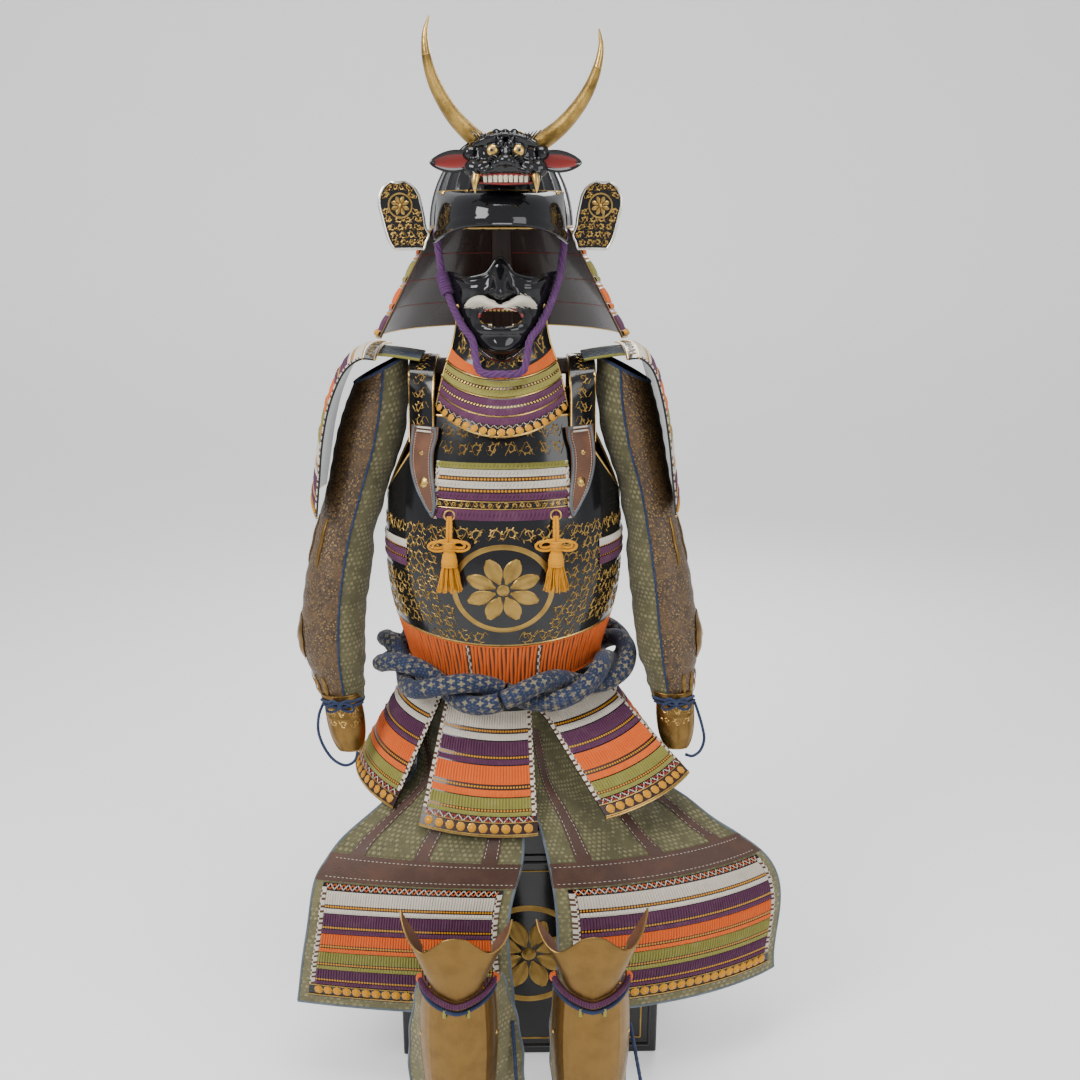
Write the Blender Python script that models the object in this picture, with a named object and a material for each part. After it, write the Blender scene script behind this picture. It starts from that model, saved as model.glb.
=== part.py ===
"""A suit of laced samurai armour set up on its storage chest and a wooden stand.

Metres, +Z up, the wearer's front faces -Y. The origin is on the floor, under the
middle of the worn suit. The chest stands a little to the side of it, as set up.
Left and right are the viewer's, looking along +Y: side -1 is at -X and +1 at +X.
"""
import math

import bmesh
import bpy
import numpy as np
from mathutils import Matrix, Vector

MM = 0.001
SEAM = 0.4 * MM            # gap between pieces that touch or are laced together
CLOTH = 2.4 * MM           # brocade over its lining
LAMINA = 3.0 * MM          # lacquered plate
METAL = 2.0 * MM           # gilt shin, knee and hand plates

# The chest and the stand
CHEST_X = 0.042            # the chest's middle
CHEST_WIDTH, CHEST_DEPTH, CHEST_HEIGHT = 0.46, 0.38, 0.46
LID_HEIGHT = 0.05
LID_PROUD = 2 * MM
POST_SIDE = 0.034
STAND_BASE = (0.24, 0.20, 0.018)
YOKE_LENGTH, YOKE_SIDE = 0.31, 0.026

# The cuirass: its inner surface, section by section, from the waist up
CUIRASS = {
    "z":     (0.690, 0.735, 0.785, 0.840, 0.900, 0.960, 1.020, 1.080, 1.130, 1.180),
    "width": (0.166, 0.172, 0.186, 0.198, 0.203, 0.202, 0.197, 0.188, 0.178, 0.166),
    "front": (0.132, 0.136, 0.145, 0.157, 0.162, 0.157, 0.147, 0.134, 0.122, 0.108),
    "back":  (0.112, 0.114, 0.118, 0.124, 0.128, 0.130, 0.130, 0.127, 0.122, 0.114),
}
WAIST_Z = 0.798            # the cuirass's lower edge at the sides and back
WAIST_DIP = 0.020          # how much lower that edge is in front
ARMHOLE_Z = 1.015          # the cuirass's top edge under the arms
CHEST_PLATE_Z = 1.160      # top of the breast plate
CHEST_PLATE_ANGLE = 40     # degrees from the middle to its corner
BACK_PLATE_Z = 1.178
LACING_DROP = 0.078        # free lacing between the cuirass and the tassets
STRAP_X, STRAP_WIDTH, STRAP_THICK = 0.131, 0.042, 4 * MM
STRAP_TOP_Z = 1.246

# The sash, two rolls twisted round each other
ROLL_RADIUS = 0.0168
ROLL_TURNS = 5
SASH_Z = 0.716
SASH_OUT = 0.0398          # from the waist wall to the middle of the sash

# The tassets hang from the free lacing, six in all
TASSETS = {
    "name":   ("front", "left", "right", "side_left", "side_right", "rear"),
    "middle": (-0.029, -0.187, 0.122, -0.343, 0.281, 0.440),   # along the waist, from the front
    "facing": (-2, -66, 10, -122, 110, 178),                    # degrees from the front
    "flare":  (31, 30, 50, 27, 34, 26),                         # degrees from the vertical
    "spread": (0.30, 0.25, 0.10, 0.30, 0.30, 0.34),             # how much it fans out with the waist's curve
    "roll":   (-2, 0, 24, 0, 0, 0),                             # degrees, in its own plane
    "length": (0.254, 0.246, 0.268, 0.236, 0.232, 0.236),
}
TASSET_WIDTH = 0.147
TASSET_LAMES = 4
TASSET_FLARE = (0.05, 0.24)  # where down its length a tasset starts and ends its turn outwards

# Shoulder guards: the profile of one lies in the XZ plane, from neck to hem
SHOULDER_GUARD = {
    "x": {-1: (0.203, 0.232, 0.262, 0.289, 0.307, 0.319, 0.330),
          1: (0.203, 0.228, 0.250, 0.268, 0.281, 0.291, 0.300)},
    "z": (1.2583, 1.2583, 1.236, 1.185, 1.125, 1.060, 1.000),
}
SHOULDER_GUARD_LAMES = 6

# Sleeves: middle line and half-widths, from shoulder to cuff
SLEEVE = {
    "x":    {-1: (0.205, 0.214, 0.229, 0.249, 0.272, 0.288, 0.296, 0.296, 0.289, 0.284),
             1: (0.205, 0.211, 0.224, 0.2425, 0.258, 0.271, 0.279, 0.286, 0.292, 0.297)},
    "y":    (0.000, -0.004, -0.010, -0.017, -0.026, -0.036, -0.045, -0.055, -0.064, -0.069),
    "z":    (1.2262, 1.170, 1.100, 1.030, 0.950, 0.870, 0.800, 0.735, 0.685, 0.650),
    "wide": {-1: (0.043, 0.053, 0.055, 0.050, 0.050, 0.054, 0.054, 0.049, 0.040, 0.033),
             1: (0.043, 0.050, 0.049, 0.0435, 0.046, 0.052, 0.054, 0.049, 0.040, 0.033)},
    "deep": (0.058, 0.064, 0.062, 0.060, 0.060, 0.058, 0.055, 0.050, 0.042, 0.036),
}
SLEEVE_SIDES = 12

# Thigh guards: rows of an apron, as arcs of an ellipse about the vertical
# through the middle, from its inner to its outer edge
THIGH = {
    "z":     (0.745, 0.715, 0.640, 0.580, 0.520, 0.470, 0.430, 0.395, 0.160),
    "cx":    (0.000, 0.000, 0.006, 0.014, 0.024, 0.032, 0.040, 0.045, 0.050),
    "front": (0.1356, 0.1262, 0.1345, 0.154, 0.178, 0.228, 0.252, 0.262, 0.284),
}
THIGH_SIDES = {
    -1: {
        "wide": (0.1718, 0.1600, 0.166, 0.186, 0.236, 0.400, 0.600, 0.730, 0.800),
        "inner": (5, 4, 3, 2, 0, 0, 1, 2, 2.5),
        "outer": (76, 74, 72, 66, 52, 43, 34, 30, 31),
    },
    1: {
        "wide": (0.1718, 0.1600, 0.166, 0.186, 0.236, 0.430, 0.470, 0.490, 0.530),
        "inner": (5, 4, 4, 4, 4, 4, 4, 4, 4),
        "outer": (76, 74, 72, 68, 61, 47, 51, 55, 55),
    },
}
BOARD_LAMES = 5

# Shin guards stand on the floor in front of the chest
SHIN_Y = -0.405
SHINS = {-1: -0.072, 1: 0.136}
SHIN = {
    "z":     (0.338, 0.290, 0.220, 0.150, 0.080, 0.000),
    "wide":  (0.054, 0.058, 0.060, 0.056, 0.049, 0.046),
    "front": (0.050, 0.053, 0.054, 0.050, 0.046, 0.046),
}

# Helmet
BOWL_CENTRE = (0.0, -0.008, 1.452)
BOWL_RADII = (0.112, 0.133, 0.142)
BOWL_RIBS = 14
TEHEN_RADIUS = 0.014       # the hole in the bowl's crown
VISOR_ANGLE = 64
NECK_LAMES = 4
NECK_TOP = (0.1145, 0.1345, 1.4505)   # half-width, half-depth and height of the top lame's upper edge
NECK_STEP = (0.0232, 0.0220, 0.0395)
CREST = (0.010, -0.166, 1.547)
CREST_LEAN = 4             # degrees, how far the crest is set over to the right


def finish(name, colour, roughness=0.5, metallic=0.0):
    """A plain material in linear RGB."""
    made = bpy.data.materials.new(name)
    made.use_nodes = True
    shader = made.node_tree.nodes["Principled BSDF"]
    shader.inputs["Base Color"].default_value = (*colour, 1)
    shader.inputs["Roughness"].default_value = roughness
    shader.inputs["Metallic"].default_value = metallic
    return made


def finishes():
    return {
        "lacquer": finish("lacquer", (0.010, 0.010, 0.012), 0.18),
        "wood": finish("wood", (0.10, 0.05, 0.025), 0.5),
        "gilt": finish("gilt", (0.33, 0.19, 0.045), 0.38, 1.0),
        "gold": finish("gold", (0.62, 0.42, 0.12), 0.35, 1.0),
        "lacing": finish("lacing", (0.36, 0.13, 0.24), 0.8),
        "orange": finish("orange", (0.80, 0.20, 0.05), 0.8),
        "yellow": finish("yellow", (0.85, 0.45, 0.03), 0.7),
        "purple": finish("purple", (0.13, 0.04, 0.16), 0.8),
        "brocade": finish("brocade", (0.23, 0.24, 0.13), 0.8),
        "indigo": finish("indigo", (0.05, 0.09, 0.22), 0.7),
        "leather": finish("leather", (0.13, 0.055, 0.03), 0.65),
        "hair": finish("hair", (0.75, 0.70, 0.58), 0.8),
    }


def link(name, mesh, material, smooth=True):
    """An object of a closed mesh, its faces turned outwards."""
    shaped = bmesh.new()
    shaped.from_mesh(mesh)
    bmesh.ops.recalc_face_normals(shaped, faces=shaped.faces)
    shaped.to_mesh(mesh)
    shaped.free()
    own = material.copy()
    own.name = name + "_" + material.name
    mesh.materials.append(own)
    if smooth:
        mesh.shade_smooth()
        mesh.set_sharp_from_angle(angle=math.radians(40))
    made = bpy.data.objects.new(name, mesh)
    bpy.context.scene.collection.objects.link(made)
    return made


def spline(xs, ys, x):
    """Catmull-Rom curve through a short table, at x."""
    xs, ys = np.array(xs, float), np.array(ys, float)
    if xs[0] > xs[-1]:
        xs, ys = xs[::-1], ys[::-1]
    slope = np.gradient(ys, xs)
    x = np.clip(x, xs[0], xs[-1])
    k = np.clip(np.searchsorted(xs, x) - 1, 0, len(xs) - 2)
    step = xs[k + 1] - xs[k]
    t = (x - xs[k]) / step
    return (
        ys[k] * (1 + 2 * t) * (1 - t) ** 2
        + ys[k + 1] * t * t * (3 - 2 * t)
        + step * slope[k] * t * (1 - t) ** 2
        - step * slope[k + 1] * t * t * (1 - t)
    )


def normals(grid, centre, wrap=False):
    """Unit normals of a grid of points, away from the centre."""
    down = np.gradient(grid, axis=0)
    if wrap:
        across = np.roll(grid, -1, 1) - np.roll(grid, 1, 1)
    else:
        across = np.gradient(grid, axis=1)
    normal = np.cross(down, across)
    normal /= np.linalg.norm(normal, axis=2, keepdims=True)
    if np.sum(normal * (grid - np.array(centre))) < 0:
        normal = -normal
    return normal


def grid_solid(name, outer, inner, material, wrap=False, keep=None):
    """One closed wall between two grids of points. keep says which cells are there."""
    rows, cols = outer.shape[:2]
    cells = np.ones((rows - 1, cols if wrap else cols - 1), bool) if keep is None else keep
    count = cells.shape[1]
    points = np.concatenate([outer.reshape(-1, 3), inner.reshape(-1, 3)])
    behind = rows * cols
    faces = []

    def there(i, j):
        if not 0 <= i < rows - 1 or (not wrap and not 0 <= j < count):
            return False
        return cells[i, j % count]

    def rim(a, b):
        faces.append((a, b, b + behind, a + behind))

    for i in range(rows - 1):
        for j in range(count):
            if not cells[i, j]:
                continue
            k = (j + 1) % cols
            corners = (i * cols + j, i * cols + k, (i + 1) * cols + k, (i + 1) * cols + j)
            faces.append(corners)
            faces.append(tuple(c + behind for c in reversed(corners)))
            if not there(i - 1, j):
                rim(corners[1], corners[0])
            if not there(i + 1, j):
                rim(corners[3], corners[2])
            if not there(i, j - 1):
                rim(corners[0], corners[3])
            if not there(i, j + 1):
                rim(corners[2], corners[1])
    used = sorted({c for face in faces for c in face})
    place = {c: n for n, c in enumerate(used)}
    mesh = bpy.data.meshes.new(name)
    mesh.from_pydata(points[used].tolist(), [], [[place[c] for c in face] for face in faces])
    return link(name, mesh, material)


def wall(name, base, thickness, material, centre, lift=0.0, relief=0.0, wrap=False, keep=None):
    """A wall that stands on a surface of points: from lift to lift + thickness + relief."""
    normal = normals(base, centre, wrap)
    relief = np.zeros(base.shape[:2]) + relief
    outer = base + normal * (lift + thickness + relief)[..., None]
    inner = base + normal * lift
    return grid_solid(name, outer, inner, material, wrap, keep)


def tube(name, path, radii, material, sides=8, flatten=1.0, closed=False):
    """A closed tube along a path. radii is one number or one for each point."""
    path = np.array(path, float)
    radii = np.zeros(len(path)) + radii
    if closed:
        tangents = np.roll(path, -1, 0) - np.roll(path, 1, 0)
    else:
        tangents = np.gradient(path, axis=0)
    tangents /= np.linalg.norm(tangents, axis=1, keepdims=True)
    rings = []
    up = np.array((0.0, 0.0, 1.0)) if abs(tangents[0][2]) < 0.9 else np.array((0.0, 1.0, 0.0))
    for point, tangent, radius in zip(path, tangents, radii):
        side = np.cross(tangent, up)
        side /= np.linalg.norm(side)
        up = np.cross(side, tangent)
        turn = np.arange(sides) * 2 * math.pi / sides
        rings.append(point + radius * (np.outer(np.cos(turn), side) + flatten * np.outer(np.sin(turn), up)))
    count = len(rings)
    faces = []
    for i in range(count if closed else count - 1):
        k = (i + 1) % count
        for j in range(sides):
            m = (j + 1) % sides
            faces.append((i * sides + j, i * sides + m, k * sides + m, k * sides + j))
    if not closed:
        faces.append(tuple(range(sides)))
        faces.append(tuple(range((count - 1) * sides, count * sides)))
    mesh = bpy.data.meshes.new(name)
    mesh.from_pydata(np.concatenate(rings).tolist(), [], faces)
    return link(name, mesh, material)


def block(name, low, high, material, bevel=0.0):
    """A box between two corners, its edges bevelled."""
    low, high = Vector(low), Vector(high)
    shaped = bmesh.new()
    bmesh.ops.create_cube(shaped, size=1)
    bmesh.ops.scale(shaped, vec=high - low, verts=shaped.verts)
    bmesh.ops.translate(shaped, vec=(low + high) / 2, verts=shaped.verts)
    if bevel:
        bmesh.ops.bevel(shaped, geom=shaped.edges[:], offset=bevel, segments=1, affect="EDGES", profile=0.5)
    mesh = bpy.data.meshes.new(name)
    shaped.to_mesh(mesh)
    shaped.free()
    return link(name, mesh, material)


def hide_helper(helper):
    helper.hide_render = True
    helper.display_type = "WIRE"


def combine(target, helper, operation):
    """Joins a helper to a solid, or cuts it away."""
    modifier = target.modifiers.new(helper.name, "BOOLEAN")
    modifier.operation = operation
    modifier.object = helper
    hide_helper(helper)


def blob(centre, radii, turn=(0, 0, 0), segments=16):
    """Points and faces of an ellipsoid, turned by degrees about X, Y and Z."""
    shaped = bmesh.new()
    bmesh.ops.create_uvsphere(shaped, u_segments=segments, v_segments=segments // 2 + 2, radius=1)
    place = Matrix.Translation(centre)
    for angle, axis in zip(turn, "XYZ"):
        place = place @ Matrix.Rotation(math.radians(angle), 4, axis)
    bmesh.ops.transform(shaped, matrix=place @ Matrix.Diagonal((*radii, 1)), verts=shaped.verts)
    return shaped


def carved(name, blobs, voxel, keep_share, material):
    """One carved body from overlapping ellipsoids."""
    mesh = bpy.data.meshes.new(name)
    whole = bmesh.new()
    for shaped in blobs:
        part = bpy.data.meshes.new(name + "_blob")
        shaped.to_mesh(part)
        shaped.free()
        whole.from_mesh(part)
        bpy.data.meshes.remove(part)
    whole.to_mesh(mesh)
    whole.free()
    made = link(name, mesh, material)
    melt = made.modifiers.new("melt", "REMESH")
    melt.mode = "VOXEL"
    melt.voxel_size = voxel
    melt.use_smooth_shade = True
    thin = made.modifiers.new("thin", "DECIMATE")
    thin.ratio = keep_share
    return made


def lame_rows(count):
    """Where the rows of a laced stack lie, from 0 to 1, and how far each stands out.
    Each lame has a run of free lacing and then a laced plate, thickest at its head."""
    shares = (0.0, 0.5, 0.6)
    heights = (1.2 * MM, 1.0 * MM, 3.0 * MM)
    places = [(lame + share) / count for lame in range(count) for share in shares]
    return np.array(places + [1.0]), np.array(list(heights) * count + [1.8 * MM])


def torso_point(angle, z, out=0.0):
    """A point on the cuirass's inner surface, or out from it. Angle 0 is the front."""
    width = spline(CUIRASS["z"], CUIRASS["width"], z) + out
    depth = spline(CUIRASS["z"], CUIRASS["front" if math.cos(angle) > 0 else "back"], z) + out
    return np.array((width * math.sin(angle), -depth * math.cos(angle), z))


def torso_y(x, z, out, back=False):
    """How far forward or back the cuirass lies at a place, the surface moved out."""
    width = float(spline(CUIRASS["z"], CUIRASS["width"], z)) + out
    depth = float(spline(CUIRASS["z"], CUIRASS["back" if back else "front"], z)) + out
    y = depth * math.sqrt(1 - min(0.98, abs(x) / width) ** 2)
    return y if back else -y


def waist_edge(angle):
    """Height of the cuirass's lower edge."""
    return WAIST_Z - WAIST_DIP * max(0.0, math.cos(angle)) ** 2


def armhole_angle(z, top_angle, top_z):
    """How far round, in degrees, a plate reaches at a height: all the way below the arm."""
    share = np.clip((z - ARMHOLE_Z) / (top_z - ARMHOLE_Z), 0, 1)
    return 89.6 + (top_angle - 89.6) * share ** 0.62


def cuirass_plate(name, rows, top_angle, top_z, material, back=False, cells=10, relief=None):
    """Half of the cuirass. rows are heights above the lower edge, as shares up to the top."""
    base = np.zeros((len(rows), cells + 1, 3))
    heights = np.zeros((len(rows), cells + 1))
    for i, z in enumerate(rows):
        reach = armhole_angle(z, top_angle, top_z)
        for j in range(cells + 1):
            angle = math.radians(reach * (2 * j / cells - 1))
            low = waist_edge(angle if not back else math.pi - angle)
            height = max(z, low) if i == 0 else z
            base[i, j] = torso_point(math.pi - angle if back else angle, height)
            if relief:
                heights[i, j] = relief(math.degrees(angle), height)
    base[0, :, 2] = [waist_edge(math.radians(90 if back else reach_angle)) for reach_angle in
                     np.linspace(-89.6, 89.6, cells + 1)]
    return wall(name, base, LAMINA, material, (0, 0, 0.95), relief=heights)


def chest_relief(angle, z):
    """Lacing raised on the breast and at the sides."""
    low, high, count = 0.996, 1.088, 4
    if low < z < high and abs(angle) < 34:
        share = (z - low) / (high - low) * count % 1
        return 2.6 * MM if share > 0.3 else 1.4 * MM
    if 0.905 < z < 0.955 and abs(angle) > 50:
        return 2.2 * MM
    return 0.0


def cuirass(looks):
    rows = [WAIST_Z - WAIST_DIP, 0.850, 0.903, 0.908, 0.953, 0.958]
    rows += [0.996 + 0.023 * (k + share) for k in range(4) for share in (0.1, 0.36)]
    rows += [1.0885, 1.092, 1.125, CHEST_PLATE_Z]
    cuirass_plate("cuirass_front", rows, CHEST_PLATE_ANGLE, CHEST_PLATE_Z, looks["lacquer"], relief=chest_relief)
    rows = [WAIST_Z, 0.85, 0.92, 0.98, 1.03, 1.08, 1.13, BACK_PLATE_Z]
    cuirass_plate("cuirass_back", rows, 48, BACK_PLATE_Z, looks["lacquer"], back=True)


def strap_point(x, share):
    """A point on a strap's underside: up the back plate, over the yoke, down the breast plate."""
    lift = LAMINA + 1.2 * MM
    back = [torso_y(x, z, lift, True) for z in (1.105, 1.150)]
    front = [torso_y(x, z, lift) for z in (1.150, 1.110)]
    y = (*back, back[1] - 0.006, 0.072, 0.040, 0.0, -0.040, -0.072, front[0] + 0.006, *front)
    z = (1.105, 1.150, 1.192, 1.226, 1.239, STRAP_TOP_Z - STRAP_THICK, 1.238, 1.222, 1.188, 1.150, 1.110)
    knots = np.linspace(0, 1, len(y))
    return x, float(spline(knots, y, share)), float(spline(knots, z, share))


def straps(looks):
    for side, word in ((-1, "left"), (1, "right")):
        across = STRAP_X + np.linspace(-0.5, 0.5, 3) * STRAP_WIDTH
        base = np.array([[strap_point(x, share) for x in across] for share in np.linspace(0, 1, 11)])
        base[:, :, 0] *= side
        wall("strap_" + word, base, STRAP_THICK, looks["lacquer"], (side * STRAP_X, 0, 1.0))


def neck_wings(looks):
    """Small brocade wings that lie on the straps, under the shoulder guards."""
    for side, word in ((-1, "left"), (1, "right")):
        base = []
        for depth in np.linspace(-0.060, 0.060, 5):
            row = []
            for reach in np.linspace(0, 1, 4):
                x = 0.134 + 0.088 * reach
                z = STRAP_TOP_Z + SEAM + 9.6 * MM * math.sin(reach * math.pi / 2) - 0.9 * depth * depth
                row.append((side * x, depth, z))
            base.append(row)
        wall("neck_wing_" + word, np.array(base), CLOTH, looks["brocade"], (side * 0.18, 0, 0))


def waist_point(angle, drop, out=0.0):
    """A point on the waist below the cuirass. drop is from its lower edge."""
    z = waist_edge(angle) - drop
    return torso_point(angle, z, out)


def waist_lacing(looks):
    """A ring of free orange cords."""
    cords = 28
    angles = np.arange(cords * 2) * math.pi / cords
    drops = (2.5 * SEAM, LACING_DROP)
    base = np.array([[waist_point(a, d) for a in angles] for d in drops])
    ribs = np.tile((1.6 * MM, 0.0), cords)
    wall("waist_lacing", base, 1.8 * MM, looks["orange"], (0, 0, 0.75), relief=ribs, wrap=True)


def waist_length():
    """The ring that the tassets hang from: angles and the way along it from the front."""
    angles = np.linspace(-math.pi, math.pi, 721)
    ring = np.array([waist_point(a, LACING_DROP + SEAM, LAMINA * 0.5) for a in angles])
    steps = np.linalg.norm(np.diff(ring, axis=0), axis=1)
    along = np.concatenate([[0], np.cumsum(steps)])
    return angles, along - along[len(along) // 2]


def tasset_grid(index, places, cells=4):
    """The inner surface of a tasset: rows down it, columns across."""
    angles, along = waist_length()
    total = along[-1] - along[0]
    middle = TASSETS["middle"][index]

    def hang(way):
        way = (way + total / 2) % total - total / 2
        angle = np.interp(way, along, angles)
        top = waist_point(angle, LACING_DROP + 3.5 * SEAM, -LAMINA * 0.2)
        return top, np.array((math.sin(angle), -math.cos(angle), 0.0))

    facing = math.radians(TASSETS["facing"][index])
    forward = np.array((math.sin(facing), -math.cos(facing), 0.0))
    flare = math.radians(TASSETS["flare"][index])
    tangent = np.array((-forward[1], forward[0], 0.0))
    downwards = np.array((0.0, 0.0, -1.0))
    face = forward * math.cos(flare) - downwards * math.sin(flare)
    roll = math.radians(TASSETS["roll"][index])
    length = TASSETS["length"][index]
    steps = np.linspace(0, 1, 81)
    turned = np.clip((steps - TASSET_FLARE[0]) / (TASSET_FLARE[1] - TASSET_FLARE[0]), 0, 1)
    turned = turned * turned * (3 - 2 * turned)
    outwards = np.concatenate([[0], np.cumsum(np.sin(flare * turned[1:]))]) * length / 80
    fallen = np.concatenate([[0], np.cumsum(np.cos(flare * turned[1:]))]) * length / 80
    grid = np.zeros((len(places), cells + 1, 3))
    for j, offset in enumerate(np.linspace(-0.5, 0.5, cells + 1) * TASSET_WIDTH):
        top, out = hang(middle + offset)
        mixed = forward * (1 - TASSETS["spread"][index]) + out * TASSETS["spread"][index]
        mixed /= np.linalg.norm(mixed)
        for i, place in enumerate(places):
            away = np.interp(place, steps, outwards)
            fall = np.interp(place, steps, fallen)
            hung = mixed * away + downwards * fall + tangent * offset * 0.20 * place
            swing = Matrix.Rotation(roll * np.interp(place, (0, 0.25), (0, 1)), 3, Vector(face))
            grid[i, j] = top + np.array(swing @ Vector(hung))
    return grid


def tassets(looks):
    places, relief = lame_rows(TASSET_LAMES)
    for index, word in enumerate(TASSETS["name"]):
        grid = tasset_grid(index, places)
        wall("tasset_" + word, grid, LAMINA, looks["lacing"], (0, 0, 0.7), relief=relief[:, None])


def sash(looks):
    """Two rolls of cloth twisted round each other and tied round the waist."""
    steps = 38
    for strand, word in ((0, "a"), (1, "b")):
        path = []
        for k in range(steps):
            angle = 2 * math.pi * k / steps
            turn = angle * ROLL_TURNS + strand * math.pi
            wave = ROLL_RADIUS * 1.085
            out = SASH_OUT + wave * math.cos(turn)
            centre = torso_point(angle, SASH_Z - 0.006, out)
            lift = wave * math.sin(turn) - WAIST_DIP * 0.8 * max(0.0, math.cos(angle)) ** 2
            path.append((centre[0], centre[1], SASH_Z + lift))
        tube("sash_roll_" + word, path, ROLL_RADIUS, looks["indigo"], sides=6, closed=True)


def shoulder_guards(looks):
    places, relief = lame_rows(SHOULDER_GUARD_LAMES)
    plain = 0.13                                # the top plate above the laced lames
    shares = np.concatenate([[0.0], plain + (1 - plain) * places])
    heights = np.concatenate([[2.0 * MM], relief])
    zs = SHOULDER_GUARD["z"]
    knots = np.linspace(0, 1, len(zs))
    half = 0.122
    for side, word in ((-1, "left"), (1, "right")):
        xs = SHOULDER_GUARD["x"][side]
        grid = np.zeros((len(shares), 5, 3))
        for i, share in enumerate(shares):
            x, z = spline(knots, xs, share), spline(knots, zs, share)
            for j, depth in enumerate(np.linspace(-half, half, 5)):
                inward = 0.9 * depth * depth * (0.25 + 0.75 * share)
                turn = 0.10 * (-depth) * share if side < 0 else 0.02 * (-depth) * share
                grid[i, j] = (side * (x - inward - turn), depth + 0.004, z - 0.5 * depth * depth)
        wall("shoulder_guard_" + word, grid, LAMINA, looks["lacing"], (side * 0.1, 0, 0.9),
             relief=heights[:, None])


def sleeve_point(side, share, angle, out=0.0):
    """A point on a sleeve's inner surface. Angle 0 faces front and 90 degrees outwards."""
    knots = np.linspace(0, 1, len(SLEEVE["z"]))
    x, wide = (spline(knots, SLEEVE[k][side], share) for k in ("x", "wide"))
    y, z, deep = (spline(knots, SLEEVE[k], share) for k in ("y", "z", "deep"))
    lean = 0.55 * max(0.0, 1 - share * 5)       # the shoulder's rim slopes with the shoulder
    across = (wide + out) * math.sin(angle)
    return np.array((side * (x + across), y - (deep + out) * math.cos(angle), z - lean * across))


SLEEVE_FOLDS = {
    "share": (0.30, 0.45, 0.62, 0.70, 0.86, 0.93),
    "angle": (-40, -70, -60, -100, -50, -20),
    "depth": (3.5, 4.5, 5.0, 4.0, 3.5, 2.5),
    "reach": (50, 60, 70, 55, 60, 50),
}


def sleeve_folds(share, degrees):
    """Soft creases at the inside of the arm, and the rise over the elbow plate."""
    rise = 0.0
    for place, angle, depth, reach in zip(*SLEEVE_FOLDS.values()):
        gap = (degrees - angle + 180) % 360 - 180
        rise -= depth * MM * math.exp(-((share - place) / 0.035) ** 2 - (gap / reach) ** 2)
    elbow = math.exp(-((share - 0.735) / 0.06) ** 2 - (((degrees - 90 + 180) % 360 - 180) / 40) ** 2)
    return rise + 6 * MM * elbow


def sleeves(looks):
    rows = 13
    for side, word in ((-1, "left"), (1, "right")):
        base = np.zeros((rows, SLEEVE_SIDES, 3))
        relief = np.zeros((rows, SLEEVE_SIDES))
        for i in range(rows):
            share = i / (rows - 1)
            for j in range(SLEEVE_SIDES):
                degrees = 360 * j / SLEEVE_SIDES
                folded = sleeve_folds(share, degrees)
                base[i, j] = sleeve_point(side, share, math.radians(degrees), folded)
        middle = base.mean(axis=1, keepdims=True)
        normal = normals(base, (0, 0, 0), wrap=True)
        if np.sum(normal * (base - middle)) < 0:
            normal = -normal
        outer = base + normal * (CLOTH + relief)[..., None]
        grid_solid("sleeve_" + word, outer, base, looks["brocade"], wrap=True)


def hand_guards(looks):
    """A domed gilt plate over the back of each hand, hung from the cuff."""
    for side, word in ((-1, "left"), (1, "right")):
        cuff = {k: SLEEVE[k][-1] for k in ("y", "z", "deep")}
        cuff.update({k: SLEEVE[k][side][-1] for k in ("x", "wide")})
        rise, hang = {-1: (0.005, -0.012), 1: (-0.005, 0.006)}[side]
        base = []
        for share in np.linspace(0, 1, 6):
            row = []
            z = 0.672 - 0.104 * share
            on_cuff = max(0.0, (z - cuff["z"]) / 0.035)
            reach = 62 * math.sqrt(max(0.16, 1 - (1.45 * share - 0.55) ** 2))
            out = CLOTH + 0.2 * MM + 6.5 * MM * on_cuff
            for a in np.linspace(-reach, reach, 6):
                angle = math.radians(a)
                x = cuff["x"] + rise * on_cuff + hang * share + (cuff["wide"] + out) * math.sin(angle)
                dome = 0.006 * math.sin(share * math.pi)
                y = cuff["y"] + 0.005 * on_cuff - (cuff["deep"] + out) * math.cos(angle) - dome
                row.append((side * x, y, z))
            base.append(row)
        wall("hand_guard_" + word, np.array(base), METAL, looks["gilt"], (side * 0.28, 0.1, 0.6))


def thigh_point(side, share, z):
    """A point on the inner face of a thigh guard's cloth."""
    rows = {**THIGH, **THIGH_SIDES[side]}
    cx, wide, front, inner, outer = (spline(rows["z"], rows[k], z) for k in ("cx", "wide", "front", "inner", "outer"))
    angle = math.radians(inner + (outer - inner) * share)
    return np.array((cx + side * wide * math.sin(angle), -front * math.cos(angle), z))


THIGH_CELLS = 10
THIGH_BORDER = 0.055                           # the brocade left bare beside the board, as a share
THIGH_BOARD = (0.388, 0.178)                   # top and bottom of the laced board
THIGH_STRAP = (0.428, 0.392)                   # the leather band above it


def thigh_folds(share, z):
    """Soft vertical folds in the apron, none on the board."""
    swing = math.sin(share * 4.2 * math.pi + 0.6)
    amount = np.interp(z, (0.43, 0.52, 0.60, 0.66), (0, 3.2 * MM, 2.5 * MM, 0))
    return amount * swing


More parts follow.
